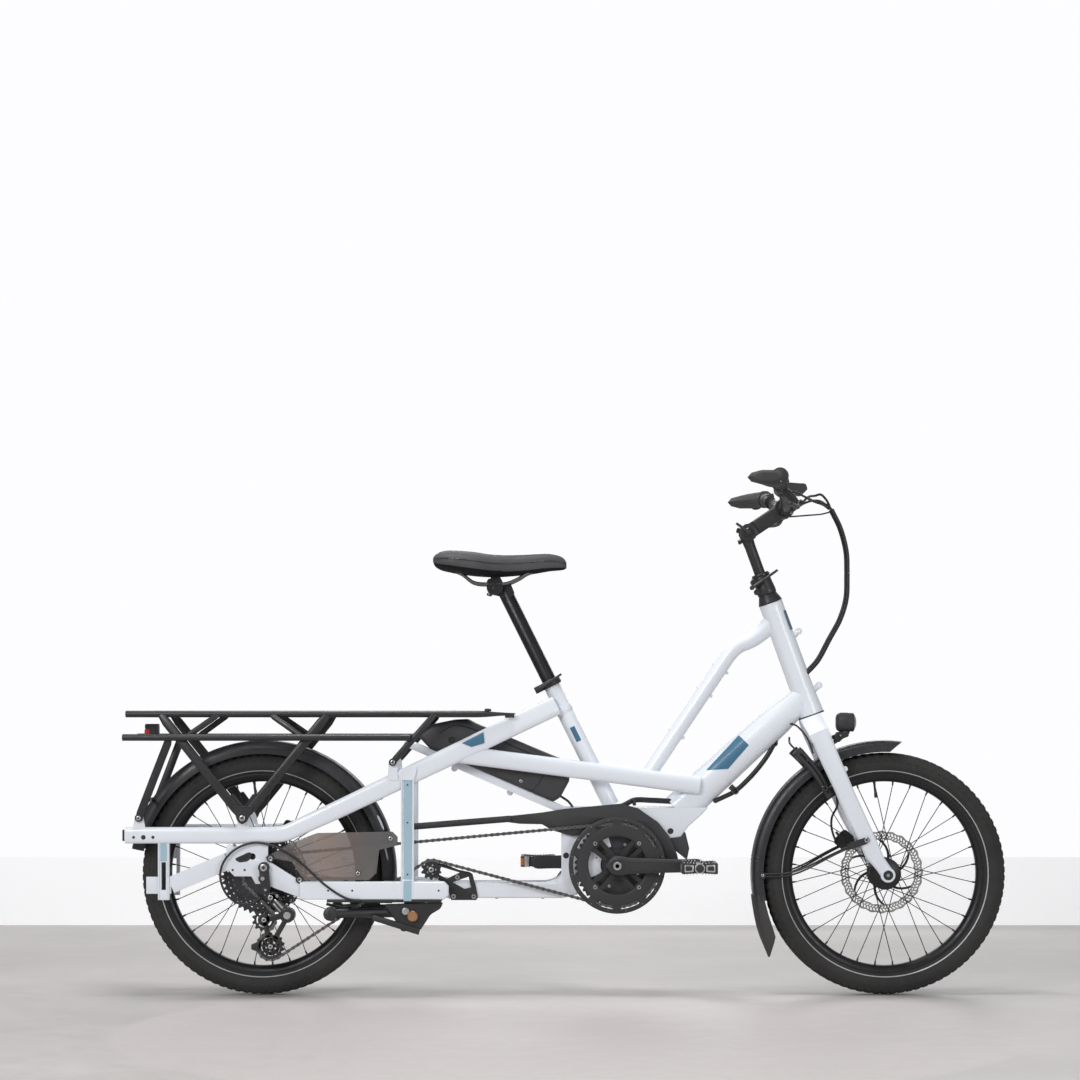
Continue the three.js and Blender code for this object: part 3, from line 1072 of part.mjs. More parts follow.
const blade = { inner: 4, drop: 8, back: 28, tipDrop: 6, pin: 12, reach: 122, thick: 5 };
function brakeLeverSolid(side) {
  const [x, z] = leverPivot;
  const y = leverPerch.y + leverPerch.half + clearance;
  const tilt = Math.hypot(leverPerch.drop, leverPerch.ahead);
  const pinX = blade.pin * leverPerch.drop / tilt;
  const pinZ = blade.pin * leverPerch.ahead / tilt;
  const middle = side * (y + blade.thick);
  const pivotPart = rod([x - pinX, middle, z - pinZ], [x + pinX, middle, z + pinZ], blade.thick, blade.thick, 10);
  const route = [[x, middle, z], [x - blade.inner, side * (y + blade.reach * 0.35), z - blade.drop],
    [x - blade.back, side * (y + blade.reach), z - blade.tipDrop]];
  return join(pivotPart, bentTube(route, blade.thick, 8, 6));
}

// Hoses and wires gathered in one sleeve between the head tube and the bar
const sleeve = { radius: 5 };
const cableLowerRoute = [[520.7, -8, 697], [538, -9, 717], [563, -10, 763], [586, -10, 806], [599, -10, 850],
  [601, -10, 904.3]];
const cableUpperRoute = [[601, -10, 905], [599, -11, 950], [586, -13, 1000], [566, -18, 1040], [548, -27, 1052],
  [520, -40, 1050], [498, -52, 1047], [478, -62, 1047]];

add('fork', forkSolid(), paint);
add('front_fender', frontFenderSolid(), black);
add('headlight', headlightSolid(), black);
add('front_caliper', caliperSolid(frontAxle, caliper.frontAngle, frontDropout), anodised);
add('rear_caliper', caliperSolid(axle, caliper.rearAngle, staySide.tail - mainStay.width / 2 - clearance),
  anodised);
add('ring_lock', ringLockSolid(), black);
add('post_clamp', postClampSolid(), black);
add('handlepost', handlepostSolid(), black);
add('stem', stemSolid(), black);
add('handlebar', handlebarSolid(), black);
for (const [word, side] of [['right', -1], ['left', 1]]) {
  add(`${word}_grip`, gripSolid(side), rubber);
  add(`${word}_brake_lever`, brakeLeverSolid(side), black);
}
const clampMiddle = (postClamp.low + postClamp.high) / 2;
const clampBolt = onSteer(clampMiddle, -postClamp.radius - postClamp.earLength / 2);
const clampHandle = onSteer(postClamp.high - 6, postClamp.radius + postClamp.earLength);
add('post_lever', quickLever(clampBolt, postClamp.earHalf, postClamp.radius, clampHandle, 5), black);
const stemHandle = [pivotPlace[0] - stemBody.root - 8, pivotPlace[1] + stemBody.root];
add('stem_lever', quickLever(pivotPlace, stemBody.lugOuter, stemBody.lugOuter, stemHandle, 5), black);
add('cable_lower', bentTube(cableLowerRoute, sleeve.radius, 6, 10), rubber);
add('cable_upper', bentTube(cableUpperRoute, sleeve.radius, 6, 14), rubber);
// Rear rack: two welded sides of rails and struts, and a slatted deck between the upper rails
const rail = { radius: 7.2, upperSide: 80, upperZ: 602, upperRear: -934, upperFront: -188, tipX: -112, tipSide: 62,
  lowerSide: 98, lowerZ: 552.5, lowerRear: -938, lowerFront: -331 };
const strutWidth = { main: 20, rear: 17, front: 14, brace: 13 };
const rackStruts = [
  // from x, z to x, z and width
  [-860, 600, rackBolts.middle.x - 4, rackBolts.middle.z + 6, strutWidth.main],
  [-508, 600, rackBolts.middle.x + 6, rackBolts.middle.z + 6, strutWidth.main],
  [-841, 552, rackBolts.tail.x, rackBolts.tail.z, strutWidth.rear],
  [-280, 601, rackBolts.front.x, rackBolts.front.z, strutWidth.front],
  [-738, 601, -806, 553, strutWidth.brace],
  [-628, 601, -559, 553, strutWidth.brace],
];
const deck = { thick: 11, slatWidth: 24, slatSide: 34, rear: -915, front: -204, bars: 5, barWidth: 22 };

function rackSideSolid(side) {
  const upper = join(rod([rail.upperRear, side * rail.upperSide, rail.upperZ],
    [rail.upperFront, side * rail.upperSide, rail.upperZ], rail.radius, rail.radius, 8),
  rod([rail.upperFront - rail.radius, side * rail.upperSide, rail.upperZ], [rail.tipX, side * rail.tipSide, rail.upperZ],
    rail.radius, rail.radius / 2, 8));
  const lower = rod([rail.lowerRear, side * rail.lowerSide, rail.lowerZ],
    [rail.lowerFront, side * rail.lowerSide, rail.lowerZ], rail.radius, rail.radius, 8);
  const struts = rackStruts.map(([x, z, endX, endZ, width]) => plate(bandAlong([x, z], [endX, endZ], width),
    side * rackPlane.inner, side * rackPlane.outer));
  const bolts = Object.values(rackBolts).map(({ x, z }) => disc(x, z, lug.radius, side * rackPlane.inner,
    side * (rackPlane.outer + overrun), 8));
  return join(upper, lower, struts, bolts);
}

function deckSolid() {
  const reach = rail.upperSide - rail.radius - clearance;
  const middleX = (deck.rear + deck.front) / 2;
  const slats = [-1, 1].map((side) => box([middleX, side * deck.slatSide, rail.upperZ],
    [deck.front - deck.rear, deck.slatWidth, deck.thick]));
  const bars = Array.from({ length: deck.bars }, (_, i) => {
    const x = deck.rear + deck.barWidth + (deck.front - deck.rear - 2 * deck.barWidth) * i / (deck.bars - 1);
    return box([x, 0, rail.upperZ - clearance], [deck.barWidth, reach * 2, deck.thick - 2]);
  });
  return join(slats, bars);
}

// Rear fender: hung from the rack's rear struts and the cross member in front of the wheel
const rearFender = { from: -3, to: 169, steps: 14, crossX: -886, crossZ: 420, crossRadius: 5, tabHalf: 12 };
function rearFenderSolid() {
  const arc = arcSweep(axle, fenderSection, rearFender.from, rearFender.to, rearFender.steps);
  const cross = disc(rearFender.crossX, rearFender.crossZ, rearFender.crossRadius, -rackPlane.inner + clearance,
    rackPlane.inner - clearance, 10);
  const faceX = crossMember.rearX - 2 * clearance;
  const edgeX = axle.x + fender.outer;
  const tab = plate([[edgeX - 2, axle.z], [edgeX - 2, axle.z - fender.half / 3], [faceX - overrun, crossMember.low + overrun],
    [faceX, crossMember.low + overrun], [faceX, crossMember.high - overrun], [edgeX, axle.z]],
  -rearFender.tabHalf, rearFender.tabHalf);
  return join(arc, cross, tab);
}

const tailLamp = { rearX: -902, frontX: -880, low: 558, high: 581, half: 30, barX: -888, barRadius: 6 };
function rearLightSolid() {
  const housing = plate([[tailLamp.rearX, tailLamp.low], [tailLamp.frontX, tailLamp.low],
    [tailLamp.frontX, tailLamp.high], [tailLamp.rearX, tailLamp.high]], -tailLamp.half, tailLamp.half, 3);
  const reach = rail.lowerSide - rail.radius - clearance * 2;
  return join(housing, disc(tailLamp.barX, rail.lowerZ, tailLamp.barRadius, -reach, reach, 10));
}

// Smoked panel between the dropout and the right chainstay, outside the chain
const panel = { thick: 2.5, size: 100, x: -500, z: 300 };
const panelOutlineShares = [
  [-1.4, -0.02], [-0.8, 0.32], [-0.29, 0.5], [1.3, 0.53], [1.41, 0.42], [1.41, 0.24], [1.02, 0.14],
  [0.96, -0.35], [0.8, -0.5], [-0.6, -0.5], [-0.65, -0.4], [-0.84, -0.1],
];
function sidePanelSolid() {
  const inner = -triangle.outer - clearance;
  return plate(panelOutlineShares.map(([x, z]) => [panel.x + x * panel.size, panel.z + z * panel.size]),
    inner, inner - panel.thick);
}

// Two-legged stand folded back under the chainstays, and the bracket that carries its pin
const stand = { pivotX: -328, pivotZ: 173, pin: 6, ear: 44, earThick: 8, legRadius: 9.5, footX: -501, legZ: 179,
  footRadius: 15, footInner: 76, footOuter: 92, sleeve: 13, crossX: -357, crossRadius: 7 };
const standPlate = { rearX: -509, frontX: -267, midX: -350, low: 203, high: 208.7 };
const standLever = { fromX: -412, fromZ: 171, toX: -313, toZ: 140, width: 12, inner: 70, outer: 84 };

function standBracketSolid() {
  const height = standPlate.high - standPlate.low;
  const middleZ = (standPlate.low + standPlate.high) / 2;
  const arms = [-1, 1].map((side) => box([(standPlate.rearX + standPlate.frontX) / 2,
    side * (triangle.stayInner + triangle.stayOuter) / 2, middleZ],
  [standPlate.frontX - standPlate.rearX, triangle.stayOuter - triangle.stayInner, height]));
  const web = box([(standPlate.midX + standPlate.frontX) / 2, 0, middleZ],
    [standPlate.frontX - standPlate.midX, triangle.stayInner * 2 + overrun, height]);
  const ears = [-1, 1].map((side) => plate([[stand.pivotX - 20, standPlate.low + 1], [stand.pivotX + 24, standPlate.low + 1],
    [stand.pivotX + 12, stand.pivotZ - 8], [stand.pivotX, stand.pivotZ - 13], [stand.pivotX - 12, stand.pivotZ - 8]],
  side * stand.ear, side * (stand.ear + stand.earThick)));
  const pin = disc(stand.pivotX, stand.pivotZ, stand.pin, -triangle.stayInner - overrun, triangle.stayInner + overrun, 12);
  return join(arms, web, ears, pin);
}

function standSolid() {
  const inner = stand.ear + stand.earThick + 1;
  const sides = [-1, 1].map((side) => join(
    disc(stand.pivotX, stand.pivotZ, stand.sleeve, side * inner, side * triangle.stayInner, 12),
    plate(bandAlong([stand.pivotX, stand.pivotZ], [stand.crossX - stand.sleeve, stand.legZ], stand.legRadius * 2),
      side * inner, side * triangle.stayInner),
    rod([stand.crossX, side * (triangle.stayInner - stand.crossRadius), stand.legZ],
      [stand.footX, side * (stand.footInner + stand.footOuter) / 2, stand.legZ], stand.legRadius, stand.legRadius, 8),
    disc(stand.footX, stand.legZ, stand.footRadius, side * stand.footInner, side * stand.footOuter, 12)));
  const cross = disc(stand.crossX, stand.legZ, stand.crossRadius, -triangle.stayInner, triangle.stayInner, 8);
  const lever = plate(bandAlong([standLever.fromX, standLever.fromZ], [standLever.toX, standLever.toZ],
    standLever.width), -standLever.inner, -standLever.outer);
  return cut(join(sides, cross, lever), disc(stand.pivotX, stand.pivotZ, stand.pin + clearance,
    -triangle.stayOuter, triangle.stayOuter, 12));
}

// Seat clamp, seatpost with its rails, and the saddle
const collar = { radius: 22, low: -15, high: -0.5, earReach: 15, earHalf: 9 };
function seatOutline(low, high, rear, front) {
  return [[low, rear], [low, front], [high, front], [high, rear]].map(([up, ahead]) => {
    const [x, , z] = seatPoint(up, ahead);
    return [x, z];
  });
}

function seatClampSolid() {
  const ring = rod(seatPoint(collar.low), seatPoint(collar.high), collar.radius, collar.radius, 16);
  const ear = plate(seatOutline(collar.low, collar.high, -collar.radius - collar.earReach, 0), -collar.earHalf,
    collar.earHalf, 1);
  const bore = rod(seatPoint(collar.low - overrun), seatPoint(collar.high + overrun), seatTube.radius + clearance,
    seatTube.radius + clearance, 20);
  return cut(join(ring, ear), bore);
}

const seatpost = { foot: -160, head: 214, radius: 15.5, railRadius: 3.5, clampHalf: 27 };
const [seatHeadX, , seatHeadZ] = seatPoint(seatpost.head);
const saddle = { length: 285, width: 168, height: 85 };
const saddleStationShares = [
  // from the seatpost's head: x, half width, top, underside
  [-0.5335, 0.2619, 0.8395, 0.6866],
  [-0.4809, 0.4167, 0.9689, 0.5572],
  [-0.3616, 0.5, 0.9984, 0.4631],
  [-0.2212, 0.4583, 0.9631, 0.3807],
  [-0.0774, 0.3155, 0.8984, 0.3513],
  [0.0665, 0.2083, 0.9101, 0.3748],
  [0.2174, 0.1548, 0.9336, 0.4278],
  [0.3437, 0.125, 0.9454, 0.4984],
  [0.4244, 0.0952, 0.8631, 0.5219],
  [0.4665, 0.0417, 0.7101, 0.5689],
];
const saddleSectionShares = [
  [0, 0.97], [0.3, 1], [0.62, 0.95], [0.88, 0.8], [1, 0.58], [0.97, 0.38], [0.82, 0.16], [0.5, 0.03], [0.2, 0],
];
const railRouteShares = [
  [-0.323, 0.131, 0.4278],
  [-0.2318, 0.131, 0.2042],
  [-0.1195, 0.131, 0.1689],
  [0.0139, 0.131, 0.1925],
  [0.1051, 0.119, 0.3101],
  [0.1682, 0.0952, 0.4395],
];
const saddleClamp = { rear: -38, front: 20, low: -0.6, high: 23.4 };

function saddleSolid(grow = 0) {
  const ringShares = [...saddleSectionShares, ...saddleSectionShares.slice(1).reverse().map(([y, z]) => [-y, z])];
  return loft(saddleStationShares.map(([x, wide, high, under]) => {
    const half = saddle.width * wide + grow;
    const low = seatHeadZ + saddle.height * under - grow;
    const top = seatHeadZ + saddle.height * high + grow;
    return ringShares.map(([y, z]) => [seatHeadX + saddle.length * x, y * half, low + z * (top - low)]);
  }));
}

function seatpostSolid() {
  const tube = rod(seatPoint(seatpost.foot), seatPoint(seatpost.head), seatpost.radius, seatpost.radius, 16);
  const rails = [-1, 1].map((side) => bentTube(railRouteShares.map(([x, y, z]) => [
    seatHeadX + saddle.length * x, side * saddle.width * y, seatHeadZ + saddle.height * z]),
  seatpost.railRadius, 6, 7));
  const { rear, front, low, high } = saddleClamp;
  const clamp = plate([[rear, low], [front, low], [front, high], [rear, high]].map(([x, z]) => [
    seatHeadX + x, seatHeadZ + z]), -seatpost.clampHalf, seatpost.clampHalf, 3);
  return cut(join(tube, rails, clamp), saddleSolid(clearance));
}

// The gear cable leaves the bracket, loops over the dropout and ends at the hanger
const gearCable = { radius: 2.5 };
const gearCableRoute = [[-440, -86.8, 206], [-470, -87, 213], [-512, -87, 240], [-559, -87, 283], [-591, -87, 307],
  [-623, -87, 323], [-660, -87, 330], [-700, -87, 317], [-725, -87, 292], [-734, -87, 264], [-729, -87, 236],
  [-714, -87, 213], [-690, -87, 200], [-662, -86, 203], [-645, -85, 216]];

for (const [word, side] of [['right', -1], ['left', 1]]) {
  add(`${word}_rack_side`, rackSideSolid(side), black);
}
add('rack_deck', deckSolid(), black);
add('rear_fender', rearFenderSolid(), black);
add('rear_light', rearLightSolid(), black);
add('side_panel', sidePanelSolid(), smoked);
add('kickstand_bracket', standBracketSolid(), black);
add('kickstand', standSolid(), black);
add('seat_clamp', seatClampSolid(), black);
const [earX, , earZ] = seatPoint((collar.low + collar.high) / 2, -collar.radius - collar.earReach / 2);
const [handleX, , handleZ] = seatPoint(collar.high, collar.radius + collar.earReach / 2);
add('seat_clamp_lever', quickLever([earX, earZ], collar.earHalf, collar.radius, [handleX, handleZ], 4.5), black);
add('seatpost', seatpostSolid(), anodised);
add('saddle', saddleSolid(), cushion);
add('gear_cable', bentTube(gearCableRoute, gearCable.radius, 5, 22), black);

export default bike;
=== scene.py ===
"""Looks of a longtail cargo bike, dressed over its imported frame. Metres, +X forward, +Y left, +Z up."""
import json
from math import asin, atan2, copysign, cos, dist, exp, hypot, pi, radians, sin

import bmesh
import bpy
import numpy as np
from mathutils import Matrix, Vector


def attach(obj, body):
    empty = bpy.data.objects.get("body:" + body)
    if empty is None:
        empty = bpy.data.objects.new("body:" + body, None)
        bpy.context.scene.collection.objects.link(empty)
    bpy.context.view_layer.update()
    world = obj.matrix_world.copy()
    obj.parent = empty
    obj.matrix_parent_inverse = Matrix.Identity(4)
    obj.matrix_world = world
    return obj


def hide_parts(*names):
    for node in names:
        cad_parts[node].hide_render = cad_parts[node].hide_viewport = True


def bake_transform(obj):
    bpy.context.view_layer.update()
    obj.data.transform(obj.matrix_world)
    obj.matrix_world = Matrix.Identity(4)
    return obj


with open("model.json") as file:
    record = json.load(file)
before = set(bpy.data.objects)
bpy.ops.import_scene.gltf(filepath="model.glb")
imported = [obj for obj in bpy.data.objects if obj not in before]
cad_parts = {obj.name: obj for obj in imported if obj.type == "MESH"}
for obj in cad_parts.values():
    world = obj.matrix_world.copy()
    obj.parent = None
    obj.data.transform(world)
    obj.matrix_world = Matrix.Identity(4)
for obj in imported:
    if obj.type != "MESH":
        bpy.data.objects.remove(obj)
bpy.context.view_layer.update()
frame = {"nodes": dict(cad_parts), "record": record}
MM = 0.001

# Driving dimensions, in millimetres as in the part
REAR_AXLE = (-652.0, 260.0)
FRONT_AXLE = (681.0, 260.0)
CRANK = (106.5, 280.0)
HEAD_ANGLE = radians(70)
FORK_OFFSET = 30.0
HEAD_FOOT, HEAD_TOP = 372.0, 628.0
CHAIN_LINE = 52.0
PITCH = 12.7
CRANK_LENGTH = 170

# The photograph: its side and the camera's axis in pixels, the axis in the model, and the camera's distance
PHOTO_SIDE, PHOTO_AXIS = 1080, (560, 715)
CAMERA_XZ, CAMERA_AWAY = (-15, 600), 5570
PIXEL = 2.15  # millimetres per pixel in the middle plane


def on_steer(up, ahead=0.0):
    """A point in XZ: up along the steering axis, ahead of it at right angles."""
    out = ahead - FORK_OFFSET
    return (FRONT_AXLE[0] - cos(HEAD_ANGLE) * up + sin(HEAD_ANGLE) * out,
        FRONT_AXLE[1] + sin(HEAD_ANGLE) * up + cos(HEAD_ANGLE) * out)


SEAT_TOP, SEAT_FOOT = (-38.7, 675.0), (95.5, 405.0)
SEAT_LENGTH = dist(SEAT_TOP, SEAT_FOOT)
SEAT_UP = ((SEAT_TOP[0] - SEAT_FOOT[0]) / SEAT_LENGTH, (SEAT_TOP[1] - SEAT_FOOT[1]) / SEAT_LENGTH)


def on_seat(up, ahead=0.0):
    """A point in XZ: up along the seat tube from its collar, ahead of it at right angles."""
    return (SEAT_TOP[0] + SEAT_UP[0] * up + SEAT_UP[1] * ahead, SEAT_TOP[1] + SEAT_UP[1] * up - SEAT_UP[0] * ahead)


# Materials -----------------------------------------------------------------
def new_material(name, color, rough, metallic=0.0, coat=0.0, coat_rough=0.05, spec=0.5):
    """A Principled material and its nodes, links and shader."""
    mat = bpy.data.materials.new(name)
    mat.use_nodes = True
    nodes, links = mat.node_tree.nodes, mat.node_tree.links
    shader = nodes["Principled BSDF"]
    shader.inputs["Base Color"].default_value = (*color, 1)
    shader.inputs["Roughness"].default_value = rough
    shader.inputs["Metallic"].default_value = metallic
    shader.inputs["Coat Weight"].default_value = coat
    shader.inputs["Coat Roughness"].default_value = coat_rough
    shader.inputs["Specular IOR Level"].default_value = spec
    return mat, nodes, links, shader


def object_coords(nodes, links, scale=(1, 1, 1)):
    """Object coordinates, scaled."""
    coord = nodes.new("ShaderNodeTexCoord")
    mapping = nodes.new("ShaderNodeMapping")
    mapping.inputs["Scale"].default_value = scale
    links.new(coord.outputs["Object"], mapping.inputs["Vector"])
    return mapping.outputs["Vector"]


def noise(nodes, links, vector, scale, detail=3.0, rough=0.55):
    node = nodes.new("ShaderNodeTexNoise")
    node.inputs["Scale"].default_value = scale
    node.inputs["Detail"].default_value = detail
    node.inputs["Roughness"].default_value = rough
    links.new(vector, node.inputs["Vector"])
    return node.outputs["Fac"]


def ramp(nodes, links, value, stops):
    """A colour ramp over (place, colour) stops."""
    node = nodes.new("ShaderNodeValToRGB")
    items = node.color_ramp.elements
    while len(items) < len(stops):
        items.new(0.5)
    for item, (place, color) in zip(items, stops):
        item.position = place
        item.color = (*color, 1) if len(color) == 3 else color
    links.new(value, node.inputs["Fac"])
    return node.outputs["Color"]


def grey(value):
    return (value, value, value)


def bump(nodes, links, shader, height, strength, distance):
    """Turns a height into relief on the shader."""
    node = nodes.new("ShaderNodeBump")
    node.inputs["Strength"].default_value = strength
    node.inputs["Distance"].default_value = distance
    links.new(height, node.inputs["Height"])
    links.new(node.outputs["Normal"], shader.inputs["Normal"])


def mix_color(nodes, links, factor, a, b, blend="MIX"):
    """Mixes two colours, each a tuple or a socket, by a number or a socket."""
    node = nodes.new("ShaderNodeMix")
    node.data_type, node.blend_type = "RGBA", blend
    if isinstance(factor, float):
        node.inputs["Factor"].default_value = factor
    else:
        links.new(factor, node.inputs["Factor"])
    for name, item in (("A", a), ("B", b)):
        socket = [s for s in node.inputs if s.name == name and s.type == "RGBA"][0]
        if isinstance(item, tuple):
            socket.default_value = (*item, 1)
        else:
            links.new(item, socket)
    return [s for s in node.outputs if s.type == "RGBA"][0]


def painted(name, color, rough=0.32, coat=0.5, wear=0.035):
    """Gloss paint: slight orange peel, faint drift of tone and dust that dulls it in places."""
    mat, nodes, links, shader = new_material(name, color, rough, coat=coat, coat_rough=0.08)
    vector = object_coords(nodes, links)
    drift = noise(nodes, links, vector, 5, 3)
    low = tuple(c * (1 - wear) for c in color)
    high = tuple(min(1, c * (1 + wear * 0.6)) for c in color)
    links.new(ramp(nodes, links, drift, [(0.3, low), (0.7, high)]), shader.inputs["Base Color"])
    dust = noise(nodes, links, vector, 34, 4)
    links.new(ramp(nodes, links, dust, [(0.3, grey(rough - 0.05)), (0.75, grey(rough + 0.1))]),
        shader.inputs["Roughness"])
    bump(nodes, links, shader, noise(nodes, links, vector, 900, 2), 0.08, 0.0002)
    return mat


def moulded(name, color, rough=0.5, grain=1400, depth=0.25, metallic=0.0, coat=0.0, spec=0.5, drift=0.12):
    """Moulded plastic, powder coat or rubber: fine grain in relief and uneven sheen."""
    mat, nodes, links, shader = new_material(name, color, rough, metallic, coat, 0.1, spec)
    vector = object_coords(nodes, links)
    tone = noise(nodes, links, vector, 14, 4)
    low = tuple(c * (1 - drift) for c in color)
    high = tuple(c * (1 + drift) for c in color)
    links.new(ramp(nodes, links, tone, [(0.3, low), (0.72, high)]), shader.inputs["Base Color"])
    sheen = noise(nodes, links, vector, 60, 3)
    links.new(ramp(nodes, links, sheen, [(0.3, grey(max(0.05, rough - 0.08))), (0.7, grey(min(1, rough + 0.1)))]),
        shader.inputs["Roughness"])
    bump(nodes, links, shader, noise(nodes, links, vector, grain, 2), depth, 0.0003)
    return mat


def brushed(name, color, rough=0.3, scale=(60, 900, 60), depth=0.12):
    """Turned or brushed metal: fine lines across the length, small stains in its sheen."""
    mat, nodes, links, shader = new_material(name, color, rough, metallic=1.0)
    vector = object_coords(nodes, links, scale)
    lines = noise(nodes, links, vector, 3, 4)
    links.new(ramp(nodes, links, lines, [(0.3, tuple(c * 0.82 for c in color)), (0.7, color)]),
        shader.inputs["Base Color"])
    stains = noise(nodes, links, object_coords(nodes, links), 45, 4)
    links.new(ramp(nodes, links, stains, [(0.3, grey(rough - 0.08)), (0.75, grey(rough + 0.14))]),
        shader.inputs["Roughness"])
    bump(nodes, links, shader, lines, depth, 0.0002)
    return mat


WHITE = (0.8, 0.835, 0.895)
paint = painted("frame_paint", WHITE)
blue_paint = painted("blue_decal", (0.045, 0.155, 0.26), 0.38, 0.3)
# Painted bluish shade for the outer faces of the white struts
strut_blue_shade = painted("strut_painted_blue_shade", (0.36, 0.52, 0.6), 0.4, 0.3)
satin_black = moulded("satin_black_coat", (0.022, 0.022, 0.024), 0.42, 1100, 0.2, spec=0.5)
black_plastic = moulded("black_plastic", (0.028, 0.028, 0.03), 0.5, 1600, 0.3)
gloss_black = moulded("gloss_black_plastic", (0.014, 0.014, 0.016), 0.22, 600, 0.08, coat=0.4)
charcoal = moulded("charcoal_casing", (0.04, 0.04, 0.043), 0.48, 1500, 0.35)
motor_grey = moulded("motor_casing", (0.05, 0.05, 0.054), 0.45, 900, 0.3)
anodised = moulded("black_anodised", (0.035, 0.035, 0.038), 0.34, 1900, 0.12, metallic=0.75)
rim_black = moulded("rim_black", (0.02, 0.02, 0.022), 0.34, 1500, 0.1, metallic=0.5)
cog_metal = moulded("dark_cog_metal", (0.07, 0.07, 0.075), 0.3, 1200, 0.15, metallic=0.9)
grip_rubber = moulded("grip_rubber", (0.062, 0.06, 0.062), 0.7, 700, 0.6, spec=0.3)
hose_black = moulded("hose_black", (0.02, 0.02, 0.022), 0.36, 2600, 0.06)
steel = brushed("bolt_steel", (0.56, 0.56, 0.57), 0.28)
chain_metal = brushed("chain_metal", (0.2, 0.19, 0.185), 0.36)
rotor_metal = brushed("rotor_metal", (0.44, 0.43, 0.42), 0.34, (40, 40, 900))
bronze = brushed("bronze_bush", (0.5, 0.27, 0.15), 0.42)
rust = moulded("tarnished_boss", (0.3, 0.2, 0.13), 0.55, 700, 0.4, metallic=0.6)
orange = moulded("orange_reflector", (0.75, 0.16, 0.02), 0.16, 350, 0.5, coat=0.6)
clear_reflector = moulded("clear_reflector", (0.72, 0.74, 0.76), 0.14, 350, 0.5, metallic=0.35, coat=0.6)
red_lens = moulded("red_lens", (0.62, 0.015, 0.02), 0.14, 320, 0.45, coat=0.8)
lamp_lens = moulded("lamp_lens", (0.3, 0.29, 0.33), 0.1, 260, 0.3, metallic=0.2, coat=1.0)
display_glass = moulded("display_glass", (0.008, 0.009, 0.011), 0.08, 200, 0.02, coat=0.9)


# Shapes --------------------------------------------------------------------
SIDES = (("right", -1), ("left", 1))
SHARP_MARGIN = 5  # degrees between the angle that is bevelled and the one that is kept sharp


def polar(centre, reach, angle, y=None):
    """A place at a reach and angle from a centre in XZ; with y it is a point in space."""
    x, z = centre[0] + reach * cos(angle), centre[1] + reach * sin(angle)
    return (x, z) if y is None else (x, y, z)


def around(count, shift=0.0):
    """Evenly spaced angles of one turn; a shift of 0.5 starts half a step on."""
    return [2 * pi * (k + shift) / count for k in range(count)]


def at_y(place, y):
    """A place in XZ, put at y."""
    return (place[0], y, place[1])


def part_way(a, b, t):
    """A place in XZ, a share of the way from a to b."""
    return (a[0] + (b[0] - a[0]) * t, a[1] + (b[1] - a[1]) * t)


def finish_piece(name, mesh, materials, body, replaces, bevel, sharp, outward=True):
    """Turns a mesh into a smooth piece with eased edges that rides on a body and stands in for its nodes."""
    if outward:
        work = bmesh.new()
        work.from_mesh(mesh)
        bmesh.ops.recalc_face_normals(work, faces=work.faces)
        work.to_mesh(mesh)
        work.free()
    for mat in materials:
        mesh.materials.append(mat)
    piece = bpy.data.objects.new(name, mesh)
    bpy.context.scene.collection.objects.link(piece)
    mesh.polygons.foreach_set("use_smooth", [True] * len(mesh.polygons))
    if bevel:
        rounding = piece.modifiers.new("edges", "BEVEL")
        rounding.width = bevel * MM
        rounding.segments = 2
        rounding.limit_method = "ANGLE"
        rounding.angle_limit = radians(sharp)
        rounding.harden_normals = False
        eased = bpy.data.meshes.new_from_object(piece.evaluated_get(bpy.context.evaluated_depsgraph_get()))
        piece.modifiers.clear()
        piece.data = eased
        bpy.data.meshes.remove(mesh)
    piece.data.set_sharp_from_angle(angle=radians(sharp + SHARP_MARGIN))
    if body:
        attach(piece, body)
    if replaces:
        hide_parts(*replaces)
    return piece


